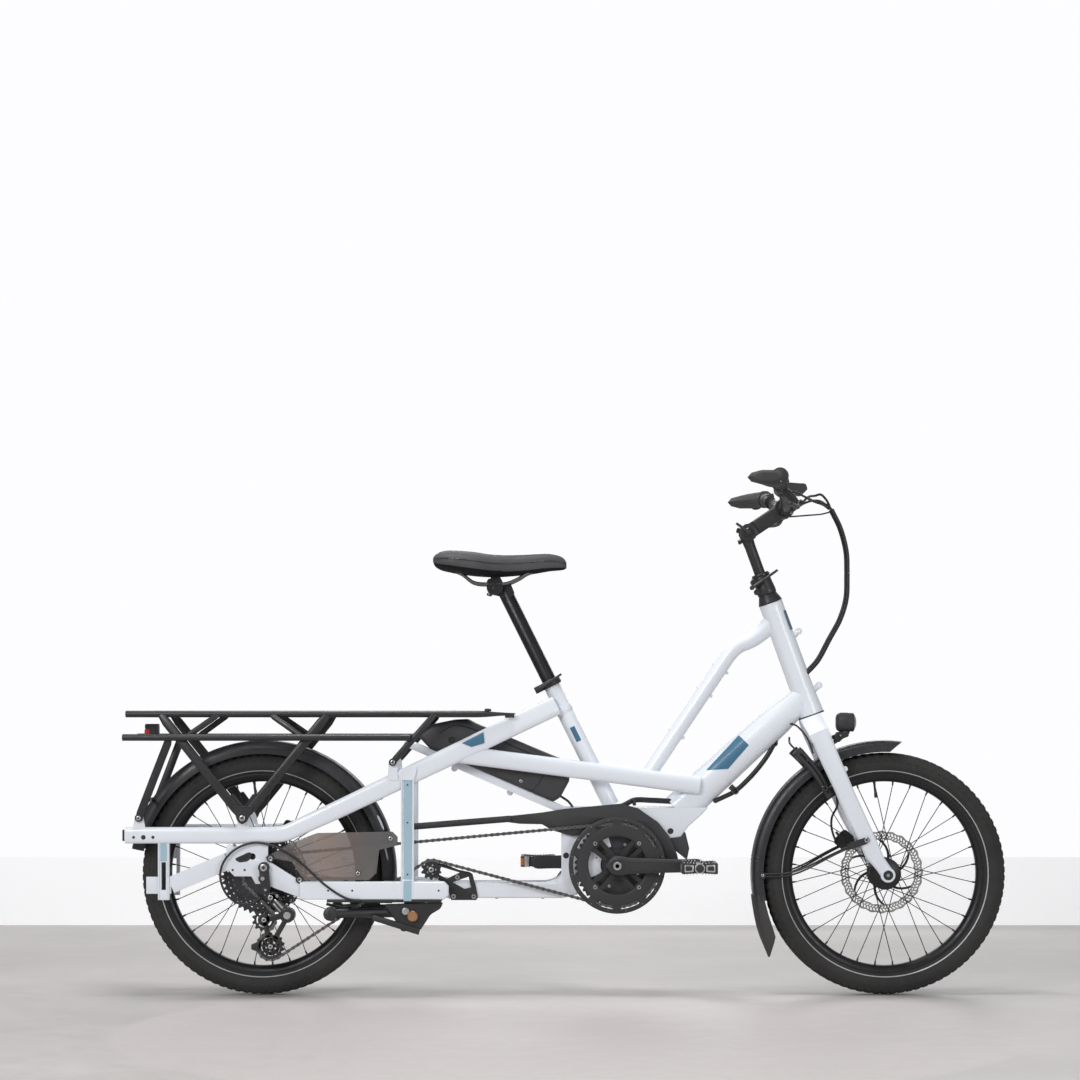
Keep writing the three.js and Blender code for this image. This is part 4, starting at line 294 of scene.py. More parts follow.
class Build:
    """Collects several simple forms into one mesh, each with a material number."""

    def __init__(self):
        self.verts, self.faces, self.slots = [], [], []

    def add(self, verts, faces, slot=0):
        """Joins on a form: its points, its faces and the material number of all of them."""
        start = len(self.verts)
        self.verts.extend(tuple(v) for v in verts)
        self.faces.extend(tuple(i + start for i in f) for f in faces)
        self.slots.extend([slot] * len(faces))

    def rod(self, a, b, radius, sides=24, slot=0, end=None):
        self.add(*cylinder(a, b, radius, sides, end), slot)

    def pin(self, place, y0, y1, radius, sides=24, slot=0, end=None):
        """A rod along Y through a place in XZ."""
        self.rod(at_y(place, y0), at_y(place, y1), radius, sides, slot, end)

    def turn(self, a, b, profile, sides=32, slot=0):
        self.add(*lathe(a, b, profile, sides), slot)

    def boss(self, place, y0, y1, profile, sides=32, slot=0):
        """A turned form along Y through a place in XZ."""
        self.turn(at_y(place, y0), at_y(place, y1), profile, sides, slot)

    def tube(self, points, radius, sides=12, per=8, slot=0, smooth=True):
        self.add(*tube(points, radius, sides, per, smooth), slot)

    def oval(self, stations, sides=40, power=2.0, slot=0):
        self.add(*oval_tube(stations, sides, power), slot)

    def plate(self, outline, y0, y1, slot=0):
        self.add(*plate(outline, y0, y1), slot)

    def slab(self, outline, side, near, far, slot=0):
        """A plate between two distances from the middle plane, on the side given."""
        self.plate(outline, *sorted((side * near, side * far)), slot)

    def ring(self, place, section, steps=96, slot=0, start=0.0, sweep=360.0):
        self.add(*revolve(place, section, steps, start, sweep), slot)

    def flange(self, place, side, section, steps=96, slot=0):
        """A closed section of (radius, distance from the middle plane) turned on the side given."""
        self.ring(place, [(r, side * y) for r, y in section], steps, slot)

    def stud(self, place, side, near, far, profile, sides=32, slot=0):
        """A turned form between two distances from the middle plane, on the side given."""
        self.boss(place, side * near, side * far, profile, sides, slot)

    def block(self, centre, size, turn=0.0, slot=0):
        self.add(*block(centre, size, turn), slot)

    def piece(self, name, materials, body="frame", replaces=(), sharp=32, bevel=None):
        mesh = bpy.data.meshes.new(name)
        mesh.from_pydata([tuple(c * MM for c in v) for v in self.verts], [], self.faces)
        mesh.polygons.foreach_set("material_index", self.slots)
        hidden = (replaces,) if isinstance(replaces, str) else replaces
        return finish_piece(name, mesh, materials, body, hidden, bevel, sharp)


def ring_faces(rings, count, closed_rings=False, caps=True):
    """Faces over a run of rings that each hold count points."""
    faces = []
    last = rings if closed_rings else rings - 1
    for r in range(last):
        for i in range(count):
            a, b = r * count + i, r * count + (i + 1) % count
            c, d = ((r + 1) % rings) * count + (i + 1) % count, ((r + 1) % rings) * count + i
            faces.append((a, b, c, d))
    if caps and not closed_rings:
        faces.append(tuple(range(count))[::-1])
        faces.append(tuple((rings - 1) * count + i for i in range(count)))
    return faces


def revolve(place, section, steps=96, start=0.0, sweep=360.0):
    """A closed section of (radius, y) turned about the Y axis through place."""
    whole = abs(sweep - 360) < 1e-6
    count = len(section)
    rings = steps if whole else steps + 1
    verts = []
    for k in range(rings):
        angle = radians(start + sweep * k / steps)
        verts += [polar(place, r, angle, y) for r, y in section]
    return verts, ring_faces(rings, count, closed_rings=whole)


def circle(centre, side, up, radius, sides):
    """Points round a centre in the plane of two unit vectors."""
    return [tuple(centre + side * (radius * cos(t)) + up * (radius * sin(t))) for t in around(sides)]


def axis_of(a, b):
    """Unit vectors along a line between two points and across it."""
    along = (Vector(b) - Vector(a)).normalized()
    side = along.orthogonal().normalized()
    return along, side, along.cross(side)


def cylinder(a, b, radius, sides=24, end=None):
    """A round rod between two points, with its ends closed."""
    _, side, up = axis_of(a, b)
    end = radius if end is None else end
    return circle(Vector(a), side, up, radius, sides) + circle(Vector(b), side, up, end, sides), ring_faces(2, sides)


def lathe(a, b, profile, sides=32):
    """Discs of (distance along a to b, radius) strung into one turned form."""
    along, side, up = axis_of(a, b)
    verts = [p for distance, r in profile for p in circle(Vector(a) + along * distance, side, up, r, sides)]
    return verts, ring_faces(len(profile), sides)


def smooth_path(points, per=8):
    """A centripetal curve through given points."""
    pts = [Vector(p) for p in points]
    pts = [pts[0] * 2 - pts[1]] + pts + [pts[-1] * 2 - pts[-2]]
    out = []
    for i in range(1, len(pts) - 2):
        p0, p1, p2, p3 = pts[i - 1:i + 3]
        t0 = 0.0
        t1 = t0 + (p1 - p0).length ** 0.5
        t2 = t1 + (p2 - p1).length ** 0.5
        t3 = t2 + (p3 - p2).length ** 0.5
        for k in range(per):
            t = t1 + (t2 - t1) * k / per
            a1 = p0 * ((t1 - t) / (t1 - t0)) + p1 * ((t - t0) / (t1 - t0))
            a2 = p1 * ((t2 - t) / (t2 - t1)) + p2 * ((t - t1) / (t2 - t1))
            a3 = p2 * ((t3 - t) / (t3 - t2)) + p3 * ((t - t2) / (t3 - t2))
            b1 = a1 * ((t2 - t) / (t2 - t0)) + a2 * ((t - t0) / (t2 - t0))
            b2 = a2 * ((t3 - t) / (t3 - t1)) + a3 * ((t - t1) / (t3 - t1))
            out.append(b1 * ((t2 - t) / (t2 - t1)) + b2 * ((t - t1) / (t2 - t1)))
    out.append(pts[-2])
    return out


def tube(points, radius, sides=12, per=8, smooth=True):
    """A round tube along a path; radius is a number or one per point of the path given."""
    path = smooth_path(points, per) if smooth else [Vector(p) for p in points]
    if isinstance(radius, (list, tuple)):
        places = np.linspace(0, len(radius) - 1, len(path))
        radii = np.interp(places, range(len(radius)), radius)
    else:
        radii = [radius] * len(path)
    normal = (path[1] - path[0]).orthogonal().normalized()
    verts = []
    for i, centre in enumerate(path):
        along = (path[min(i + 1, len(path) - 1)] - path[max(i - 1, 0)]).normalized()
        normal = (normal - along * normal.dot(along)).normalized()
        other = along.cross(normal)
        verts += circle(centre, normal, other, radii[i], sides)
    return verts, ring_faces(len(path), sides)


def oval_tube(stations, sides=40, power=2.0, per=1):
    """A tube near the XZ plane through (x, y, z, half across, half high); power above 2 squares it."""
    if per > 1:
        path = smooth_path([s[:3] for s in stations], per)
        marks = range(len(stations))
        sizes = [(np.interp(i / per, marks, [s[3] for s in stations]),
            np.interp(i / per, marks, [s[4] for s in stations])) for i in range(len(path))]
        stations = [(*p, *size) for p, size in zip(path, sizes)]
    centres = [Vector(s[:3]) for s in stations]
    verts = []
    for i, s in enumerate(stations):
        along = (centres[min(i + 1, len(centres) - 1)] - centres[max(i - 1, 0)]).normalized()
        up = -along.cross(Vector((0, 1, 0))).normalized()
        across = up.cross(along).normalized()
        for t in around(sides, 0.5):
            c, n = cos(t), sin(t)
            c = copysign(abs(c) ** (2 / power), c)
            n = copysign(abs(n) ** (2 / power), n)
            verts.append(tuple(centres[i] + across * (s[3] * c) + up * (s[4] * n)))
    return verts, ring_faces(len(stations), sides)


def annulus(build, centre, outer, inner, y0, y1, slot=0, steps=192):
    """A flat ring whose outer and inner radii may change with the angle."""
    verts = []
    for a in around(steps):
        ro = outer(a) if callable(outer) else outer
        ri = inner(a) if callable(inner) else inner
        for r, yy in ((ri, y0), (ro, y0), (ro, y1), (ri, y1)):
            verts.append(polar(centre, r, a, yy))
    build.add(verts, ring_faces(steps, 4, closed_rings=True), slot)


def plate(outline, y0, y1):
    """A flat outline in XZ between two Y planes."""
    count = len(outline)
    verts = [(x, y0, z) for x, z in outline] + [(x, y1, z) for x, z in outline]
    return verts, ring_faces(2, count)


def block(centre, size, turn=0.0):
    """A box whose XZ outline is turned by an angle about its centre."""
    c, s = cos(turn), sin(turn)
    hx, hy, hz = size[0] / 2, size[1] / 2, size[2] / 2
    corners = ((-hx, -hz), (hx, -hz), (hx, hz), (-hx, hz))
    outline = [(centre[0] + x * c - z * s, centre[2] + x * s + z * c) for x, z in corners]
    return plate(outline, centre[1] - hy, centre[1] + hy)


def band(a, b, width):
    """The four corners of a straight band in XZ."""
    length = dist(a, b)
    nx, nz = -(b[1] - a[1]) / length * width / 2, (b[0] - a[0]) / length * width / 2
    return [(a[0] - nx, a[1] - nz), (b[0] - nx, b[1] - nz), (b[0] + nx, b[1] + nz), (a[0] + nx, a[1] + nz)]


def rounded(outline, radius, steps=5):
    """The outline with each corner turned into a short curve."""
    out = []
    count = len(outline)
    for i in range(count):
        p, a, b = Vector(outline[i]), Vector(outline[i - 1]), Vector(outline[(i + 1) % count])
        cut = min(radius, (a - p).length * 0.45, (b - p).length * 0.45)
        start, end = p + (a - p).normalized() * cut, p + (b - p).normalized() * cut
        for k in range(steps + 1):
            t = k / steps
            q = start * ((1 - t) ** 2) + p * (2 * t * (1 - t)) + end * (t ** 2)
            out.append((q.x, q.y))
    return out


def bolt(build, place, side, radius=5, height=4, slot=0, socket=1):
    """A socket-head bolt on a face that looks along Y: place is x, y, z and side the way it faces."""
    x, y, z = place
    build.boss((x, z), y, y + side * 10, [(-1, radius * 0.8), (0, radius), (height * 0.75, radius),
        (height, radius * 0.82), (height, radius * 0.5)], 24, slot)
    build.boss((x, z), y, y + side * 10, [(height * 0.4, radius * 0.5), (height * 1.005, radius * 0.5)], 6, socket)


def dressed(node, materials, body, bevel=1.0, sharp=30):
    """The frame's own solid with rounded edges and smooth faces, in place of the plain one."""
    source = frame["nodes"][node]
    mesh = source.data.copy()
    mesh.transform(source.matrix_world)
    mesh.materials.clear()
    work = bmesh.new()
    work.from_mesh(mesh)
    bmesh.ops.remove_doubles(work, verts=work.verts, dist=1e-6)
    bmesh.ops.dissolve_limit(work, angle_limit=radians(0.4), verts=work.verts, edges=work.edges)
    work.to_mesh(mesh)
    work.free()
    return finish_piece(node + "_form", mesh, materials, body, (node,), bevel, sharp, outward=False)


# Wheels --------------------------------------------------------------------
TYRE_SIDE = [(206, 9.5), (212, 13.6), (215.5, 19), (219.6, 23.2), (221.6, 24.8), (226, 27.4), (232, 28.9),
    (238, 28.6), (244, 27.2), (249.4, 24.4), (254, 20), (257, 13), (258.1, 4)]
TREAD_PITCHES = 90
TREAD_REACH = 259.9
SPOKES, SPOKE_LEAD = 32, radians(52)


def tyre_normal(place):
    """A point and its outward normal on the side wall curve, place running 0 to 1 from bead to crown."""
    f = place * (len(TYRE_SIDE) - 1)
    i = min(int(f), len(TYRE_SIDE) - 2)
    a, b = TYRE_SIDE[i], TYRE_SIDE[i + 1]
    r, y = part_way(a, b, f - i)
    dr, dy = b[0] - a[0], b[1] - a[1]
    length = hypot(dr, dy)
    return r, y, -dy / length, dr / length


def add_knob(build, centre, corners, height):
    """A tread block: corners are (turn in degrees, place on the side wall, side)."""
    verts = []
    for lift, shrink in ((-1.2, 1.0), (height, 0.86)):
        mid_a = sum(c[0] for c in corners) / len(corners)
        mid_p = sum(c[1] for c in corners) / len(corners)
        for turn, place, side in corners:
            r, y, nr, ny = tyre_normal(mid_p + (place - mid_p) * shrink)
            r, y = r + nr * lift, (y + ny * lift) * side
            a = radians(mid_a + (turn - mid_a) * shrink)
            verts.append(polar(centre, min(r, TREAD_REACH), a, y))
    build.add(verts, ring_faces(2, len(corners)))


def mirrored(half):
    """A closed section of (radius, y) from one half of it, which is mirrored in the middle plane."""
    return [(r, -y) for r, y in half] + half[::-1]


def tyre(name, centre, body, node):
    """A tyre with a reflective line on each side and two rows of tread blocks a side."""
    section = mirrored(TYRE_SIDE)
    verts, faces = revolve(centre, section, 144)
    count = len(section)
    build = Build()
    slots = []
    for face in faces:
        places = [i % count for i in face]
        low = min(places)
        line = (low == 3 or low == count - 5) and max(places) - low == 1
        slots.append(1 if line else 0)
    build.verts, build.faces, build.slots = list(verts), list(faces), slots
    pitch = 360 / TREAD_PITCHES
    for k in range(TREAD_PITCHES):
        a = k * pitch
        for side in (-1, 1):
            shift = 0 if side > 0 else pitch / 2
            wide = 0.33 if k % 2 else 0.27
            add_knob(build, centre, [(a + shift - pitch * wide, 0.61, side), (a + shift + pitch * wide, 0.61, side),
                (a + shift + pitch * (wide + 0.05), 0.84, side), (a + shift - pitch * (wide + 0.05), 0.84, side)],
                1.3)
            add_knob(build, centre, [(a + shift - pitch * 0.3, 0.865, side), (a + shift + pitch * 0.36, 0.865, side),
                (a + shift + pitch * 0.26, 0.99, side), (a + shift - pitch * 0.4, 0.99, side)], 1.5)
    build.piece(name, [tyre_rubber, reflective], body, replaces=node, sharp=28)


def rim(name, centre, body, node):
    """A deep-section rim and its valve."""
    section = mirrored([(197.2, 4), (198.4, 9), (203, 13.6), (211.6, 16.8), (213.6, 16.4), (213.2, 14.6), (207, 13.9),
        (205, 12.2), (204.6, 6)])
    build = Build()
    build.ring(centre, section, 144)
    valve = radians(96)
    build.turn(polar(centre, 198, valve, 0.0), polar(centre, 160, valve, 0.0),
        [(0, 3), (4, 3), (4.2, 2.5), (26, 2.5), (26.2, 3.1), (34, 3.1), (35, 2.4)], 14, 1)
    build.piece(name, [rim_black, satin_black], body, replaces=node, sharp=30)


def spokes(name, centre, body, radius, half):
    """Two-cross laced spokes with their nipples."""
    build = Build()
    for i, angle in enumerate(around(SPOKES, 0.5)):
        side = -1 if i % 2 else 1
        lead = 1 if (i // 2) % 2 else -1
        root = angle + lead * SPOKE_LEAD
        inset = half + (1.6 if lead > 0 else -1.6)
        a = polar(centre, radius, root, side * inset)
        b = polar(centre, 190, angle, side * 2.2)
        c = polar(centre, 197.4, angle, side * 1.8)
        build.rod(a, b, 0.95, 6)
        build.rod(b, c, 1.7, 8, 1, end=2.0)
        build.pin((a[0], a[2]), side * (half - 3), side * (half + 3.4), 1.2, 6)
    build.piece(name, [spoke_steel, satin_black], body, sharp=40)


def rotor(name, centre, body, y):
    """A brake rotor: a vented ring with a waved rim, on six swept arms."""
    build = Build()
    y0, y1 = y - 0.95, y + 0.95
    waves = 24
    annulus(build, centre, lambda a: 88.6 + 1.3 * cos(waves * a), lambda a: 84.6 + 0.5 * cos(waves * a), y0, y1)
    annulus(build, centre, 79.6, 77.6, y0, y1)
    annulus(build, centre, lambda a: 74.2 + 0.4 * cos(waves * a), lambda a: 70.8 + 1.0 * cos(waves * a), y0, y1)
    for a in around(72):
        for r0, r1, swing in ((79, 85.4, 0.045), (73.4, 78, -0.04)):
            p = polar(centre, r0, a)
            q = polar(centre, r1, a + swing)
            build.plate(band(p, q, 3.0), y0 + 0.02, y1 - 0.02)
    for a in around(6):
        points = []
        for t in np.linspace(0, 1, 7):
            r, turn = 24 + 48.5 * t, a + 0.62 * t ** 1.3
            points.append((centre[0] + r * cos(turn), centre[1] + r * sin(turn), 6.2 - 1.6 * t))
        left, right = [], []
        for i, (x, z, w) in enumerate(points):
            n = points[min(i + 1, 6)]
            p = points[max(i - 1, 0)]
            length = dist(n[:2], p[:2])
            nx, nz = -(n[1] - p[1]) / length, (n[0] - p[0]) / length
            left.append((x + nx * w / 2, z + nz * w / 2))
            right.append((x - nx * w / 2, z - nz * w / 2))
        build.plate(left + right[::-1], y0 + 0.03, y1 - 0.03, 1)
    annulus(build, centre, lambda a: 27.5 + 1.2 * cos(6 * a), 14, y0, y1, 1, 96)
    for a in around(6, 0.5):
        bolt(build, polar(centre, 22, a, y1 - 0.1), 1, 3.2, 2.2, 2, 3)
    build.piece(name, [rotor_metal, satin_black, steel, gloss_black], body, sharp=35)


def hub(name, centre, body, node, ends, flange_right, flange_left, barrel):
    """A hub shell between its ends, with holes marked round both flanges."""
    right, left = ends
    build = Build()
    a, b = at_y(centre, right), at_y(centre, left)
    span = left - right

    def at(y):
        return y - right
    build.turn(a, b, [(0, 8.6), (0.5, 9.6), (9, 9.8), (9.5, 12.5), (at(-31), 14), (at(-29), 20),
        (at(-27.6), flange_right - 1.2), (at(-26.6), flange_right), (at(-23), flange_right),
        (at(-22), flange_right - 1.5), (at(-19), barrel + 4), (at(-12), barrel), (at(12), barrel),
        (at(19), barrel + 4), (at(22), flange_left - 1.5), (at(23), flange_left), (at(26.6), flange_left),
        (at(27.6), flange_left - 1.2), (at(29), 20), (at(36), 16), (at(41), 14.6), (at(42), 11), (span - 0.5, 9.8),
        (span, 8.6)], 64)
    for side, y in ((-1, -26.4), (1, 26.4)):
        for t in around(16):
            build.rod(polar(centre, 29.5, t, y), polar(centre, 29.5, t, y + side * 0.5), 2.1, 10, 1)
    build.piece(name, [anodised, gloss_black], body, replaces=node, sharp=25)


tyre_rubber = moulded("tyre_rubber", (0.036, 0.035, 0.034), 0.78, 420, 0.45, spec=0.28, drift=0.16)
reflective = moulded("reflective_line", (0.52, 0.53, 0.54), 0.34, 1200, 0.1, metallic=0.4)
spoke_steel = moulded("black_spoke", (0.03, 0.03, 0.032), 0.3, 900, 0.05, metallic=0.8)

tyre("front_tyre_tread", FRONT_AXLE, "front_wheel", "front_tyre")
tyre("rear_tyre_tread", REAR_AXLE, "rear_wheel", "rear_tyre")
rim("front_rim_ring", FRONT_AXLE, "front_wheel", "front_rim")
rim("rear_rim_ring", REAR_AXLE, "rear_wheel", "rear_rim")
hub("front_hub_shell", FRONT_AXLE, "front_wheel", "front_hub", (-56.7, 56.7), 34, 34, 18)
hub("rear_hub_shell", REAR_AXLE, "rear_wheel", "rear_hub", (-69.7, 69.7), 29, 34, 19)
spokes("front_spokes", FRONT_AXLE, "front_wheel", 29.5, 24.5)
spokes("rear_spokes", REAR_AXLE, "rear_wheel", 27, 24.5)
rotor("front_rotor", FRONT_AXLE, "front_wheel", 38)
rotor("rear_rotor", REAR_AXLE, "rear_wheel", 38)


# Drivetrain ----------------------------------------------------------------
UPPER_JOCKEY, LOWER_JOCKEY, IDLER = (-645.0, 164.0), (-631.0, 107.0), (-289.0, 271.0)
KNUCKLE, SHIFTER = (-592.0, 176.0), (-627.0, 214.0)


def pitch_radius(teeth):
    """Radius at which a chain runs on a cog."""
    return PITCH / (2 * sin(pi / teeth))


def teeth_profile(teeth, turn=0.0, tall=1.0):
    """Radius of a cog's edge: round valleys for the rollers and narrow tips."""
    middle = pitch_radius(teeth)

    def edge(angle):
        swing = 0.5 - 0.5 * cos((angle - turn) * teeth)
        return middle - 3.7 + 6.0 * tall * min(1.0, 1.12 * swing ** 1.15)
    return edge


def cog(build, centre, teeth, y0, y1, inner, slot=0, tall=1.0):
    """A toothed ring."""
    annulus(build, centre, teeth_profile(teeth, tall=tall), inner, y0, y1, slot, teeth * 8)


CASSETTE = [42, 37, 32, 28, 25, 22, 19, 17, 15, 13, 11]
build = Build()
for number, teeth in enumerate(CASSETTE):
    y = -31 - 3.5 * number
    web = pitch_radius(teeth) - (11 if number < 5 else 7)
    cog(build, REAR_AXLE, teeth, y - 0.85, y + 0.85, max(web, 17.2), 0)
    if number < 5:
        for k in range(5):
            a = 2 * pi * (k + number * 0.18) / 5
            foot = polar(REAR_AXLE, 18, a)
            head = polar(REAR_AXLE, web + 2, a + 0.22)
            build.plate(band(foot, head, 9.5 - number * 0.7), y - 0.8, y + 0.8, 1)
            pin = polar(REAR_AXLE, web + 3.5, a + 0.22, y)
            build.pin((pin[0], pin[2]), y - 2.6, y + 1.2, 2.2, 10, 2)
    else:
        annulus(build, REAR_AXLE, 19.5 if number < 8 else 16, 13.5, y + 0.9, y + 2.6, 1, 40)
build.boss(REAR_AXLE, -30, -70, [(0, 17.4), (33, 17.4), (35, 15.4), (37.6, 15.4), (38.4, 14.2), (38.4, 11)], 40, 1)
for a in around(12):
    build.block(polar(REAR_AXLE, 13, a, -68.6), (2.4, 0.8, 2.0), a, 2)
build.piece("cassette_cogs", [cog_metal, satin_black, steel], "cog_stack", replaces="cassette", sharp=30)


# The chain: links laid along the tangents and arcs over its five wheels
CHAIN_WHEELS = [(CRANK, 44, 1), (REAR_AXLE, 19, 1), (UPPER_JOCKEY, 12, -1), (LOWER_JOCKEY, 14, 1), (IDLER, 10, -1)]


def chain_heading(a, b):
    """Heading of the run between two chain wheels, each (centre, teeth, turn)."""
    gap = dist(a[0], b[0])
    aim = atan2(b[0][1] - a[0][1], b[0][0] - a[0][0])
    return aim - asin((b[2] * pitch_radius(b[1]) - a[2] * pitch_radius(a[1])) / gap)


def chain_path():
    """Points along the whole loop with the stretch each belongs to: arc 0, run 0, arc 1 and so on."""
    count = len(CHAIN_WHEELS)
    runs = [chain_heading(CHAIN_WHEELS[i], CHAIN_WHEELS[(i + 1) % count]) for i in range(count)]
    points, marks = [], []
    for i, (centre, teeth, turn) in enumerate(CHAIN_WHEELS):
        arrive = runs[i - 1]
        sweep = runs[i] - arrive
        while sweep * turn < 0:
            sweep += turn * 2 * pi
        while abs(sweep) > 2 * pi:
            sweep -= turn * 2 * pi
        reach = turn * pitch_radius(teeth)
        steps = max(6, int(abs(sweep) * 24))
        for k in range(steps + 1):
            h = arrive + sweep * k / steps
            points.append((centre[0] + sin(h) * reach, centre[1] - cos(h) * reach))
            marks.append(2 * i)
        marks[-1] = 2 * i + 1
    return points, marks


def chain_links():
    """The pins of a whole number of links round the loop, and the stretch that each is on."""
    points, marks = chain_path()
    closed = points + [points[0]]
    lengths = [dist(closed[i], closed[i + 1]) for i in range(len(points))]
    total = sum(lengths)
    count = 2 * round(total / PITCH / 2)
    step = total / count
    places, owner = [], []
    i, passed = 0, 0.0
    for k in range(count):
        goal = k * step
        while passed + lengths[i] < goal:
            passed += lengths[i]
            i += 1
        places.append(part_way(closed[i], closed[i + 1], (goal - passed) / lengths[i]))
        owner.append(marks[i])
    return places, owner


def link_outline(a, b, radius, waist):
    """A figure of eight round two pins."""
    ux, uz = (b[0] - a[0]) / dist(a, b), (b[1] - a[1]) / dist(a, b)
    out = []
    for centre, sign in ((b, 1), (a, -1)):
        for k in range(7):
            t = radians(-66 + 22 * k)
            c, s = cos(t) * radius * sign, sin(t) * radius * sign
            out.append((centre[0] + ux * c - uz * s, centre[1] + uz * c + ux * s))
        middle = ((a[0] + b[0]) / 2, (a[1] + b[1]) / 2)
        out.append((middle[0] - uz * waist * sign, middle[1] + ux * waist * sign))
    return out


def chain_piece(name, chosen, places, body=None, blend=None, hides=()):
    """The chosen links as one piece, which rides on a body, or with blend is left attached to no body."""
    build = Build()
    count = len(places)
    for k in chosen:
        a, b = places[k], places[(k + 1) % count]
        outside = k % 2 == 0
        for side in (-1, 1):
            near, far = (2.15, 2.95) if outside else (1.3, 2.05)
            y0, y1 = sorted((-CHAIN_LINE + side * near, -CHAIN_LINE + side * far))
            build.plate(link_outline(a, b, 4.1, 2.7 if outside else 2.4), y0, y1)
        build.pin(a, -CHAIN_LINE - 3.2, -CHAIN_LINE + 3.2, 1.7, 8, 1)
        build.pin(a, -CHAIN_LINE - 1.25, -CHAIN_LINE + 1.25, 3.7, 12, 1)
    if blend:
        piece = build.piece(name, [chain_metal, cog_metal], None, sharp=35)
        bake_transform(piece)
    else:
        build.piece(name, [chain_metal, cog_metal], body, replaces=hides, sharp=35)


places, owner = chain_links()
parts = {"main": [], "upper": [], "jockeys": [], "lower": []}
STRETCHES = {3: "upper", 4: "jockeys", 5: "jockeys", 6: "jockeys", 7: "lower"}
for k, mark in enumerate(owner):
    parts[STRETCHES.get(mark, "main")].append(k)
chain_piece("chain_main_run", parts["main"], places, "frame", hides=("chain",))
chain_piece("chain_on_jockeys", parts["jockeys"], places, "cage")
for word, ends in (("upper", (parts["upper"][0], parts["upper"][-1])),
        ("lower", (parts["lower"][-1], parts["lower"][0]))):
    a, b = places[ends[0]], places[(ends[1]) % len(places)]
    chain_piece(f"chain_{word}_span", parts[word], places, blend=(at_y(a, -CHAIN_LINE), at_y(b, -CHAIN_LINE)))

# Chainring, guard disc, spider and crank arms
build = Build()
cog(build, CRANK, 44, -53, -51, 69, 0)
annulus(build, CRANK, 70, 63, -53.6, -50.4, 1, 96)
for a in around(4, 0.5):
    for spread in (-0.17, 0.17):
        head = polar(CRANK, 67, a + spread)
        root = polar(CRANK, 17, a + spread * 3)
        build.plate(band(root, head, 9.5), -57.4, -53.4, 1)
    build.pin(polar(CRANK, 66, a), -58.6, -50, 9.5, 24, 1)
    bolt(build, polar(CRANK, 66, a, -58.4), -1, 4.6, 2.4, 3, 1)
    bolt(build, polar(CRANK, 47, a + 0.42, -57.2), -1, 3.0, 1.6, 3, 1)
build.ring(CRANK, [(r, -57.8 - y) for r, y in ((62, 0), (62, 1.4), (63.6, 2.4), (66, 2.7), (80, 2.7), (84.6, 2.3),
    (85.6, 1.4), (85.6, 0))], 144, 2)
build.ring(CRANK, [(r, -57.8 - y) for r, y in ((93.2, 0), (93.2, 1.2), (94.4, 2.2), (101, 2.6), (102.8, 1.6),
    (103, 0.4), (102.4, 0))], 144, 2)
for k in range(10):
    start = k * 36 - 5.5 + 18
    build.ring(CRANK, [(85, -57.9), (94, -57.9), (94, -60.0), (85, -60.0)], 4, 2, start, 11)
for a in around(16, 0.5):
    build.rod(polar(CRANK, 98, a, -60.2), polar(CRANK, 98, a, -60.6), 0.9, 8, 3)
build.pin(CRANK, -82, 82, 12, 32, 1)
build.boss(CRANK, -50, -90, [(0, 17), (3, 22), (8, 24), (16, 21), (18, 20.6)], 40, 1)


def crank_arm(build, sign, y):
    """A forged arm: wide at the axle, waisted, with a shallow channel along its outer face."""
    outward = -1 if y < 0 else 1
    stations = []
    for d, high, thick in ((-20.6, 4, 5.4), (-19, 9.5, 6.2), (-15, 15.2, 6.8), (-8, 19.4, 7), (0, 21, 7),
            (10, 20.4, 7), (24, 17.6, 7), (50, 16.2, 6.6), (90, 15, 6.2), (130, 14.2, 6), (152, 14.4, 6.4),
            (162, 15, 6.8), (170, 15, 7), (177, 13.3, 6.8), (182, 9, 6.3), (184.6, 4, 5.4)):
        stations.append((CRANK[0] + sign * d, y, CRANK[1], thick, high))
    build.oval(stations, 32, 4.2, 2)
    face = y + outward * 7.0
    build.boss(CRANK, face - outward * 2, face + outward * 4, [(0, 16), (2.6, 16), (3.4, 15), (3.4, 11.5), (1.6, 11)],
        40, 2)
    build.boss(CRANK, face - outward * 2, face + outward * 4, [(0, 9), (4.4, 9), (5.2, 7.8), (5.2, 4.4), (2, 4.2)],
        32, 3)
    end = CRANK[0] + sign * CRANK_LENGTH
    build.boss((end, CRANK[1]), face - outward * 2, face + outward * 3,
        [(0, 9), (2.4, 9), (2.8, 8.4), (2.8, 5.2), (1.2, 5)], 28, 3)
    for rise in (-1, 1):
        build.tube([(CRANK[0] + sign * along, face - outward * deep, CRANK[1] + rise * up) for along, deep, up in
            ((22, 0.9, 9.5), (90, 0.7, 8.2), (150, 0.9, 7.6))], 1.5, 8, 4, 2)


crank_arm(build, 1, -75)
crank_arm(build, -1, 75)
for side in (-1, 1):
    x = CRANK[0] - side * CRANK_LENGTH
    build.stud((x, CRANK[1]), side, 80, 163, [(0, 6.4), (4, 6.4), (4.4, 4.8), (83, 4.6)], 20, 3)
build.piece("crankset_form", [cog_metal, satin_black, black_plastic, steel], "crank", replaces="crankset", sharp=28)


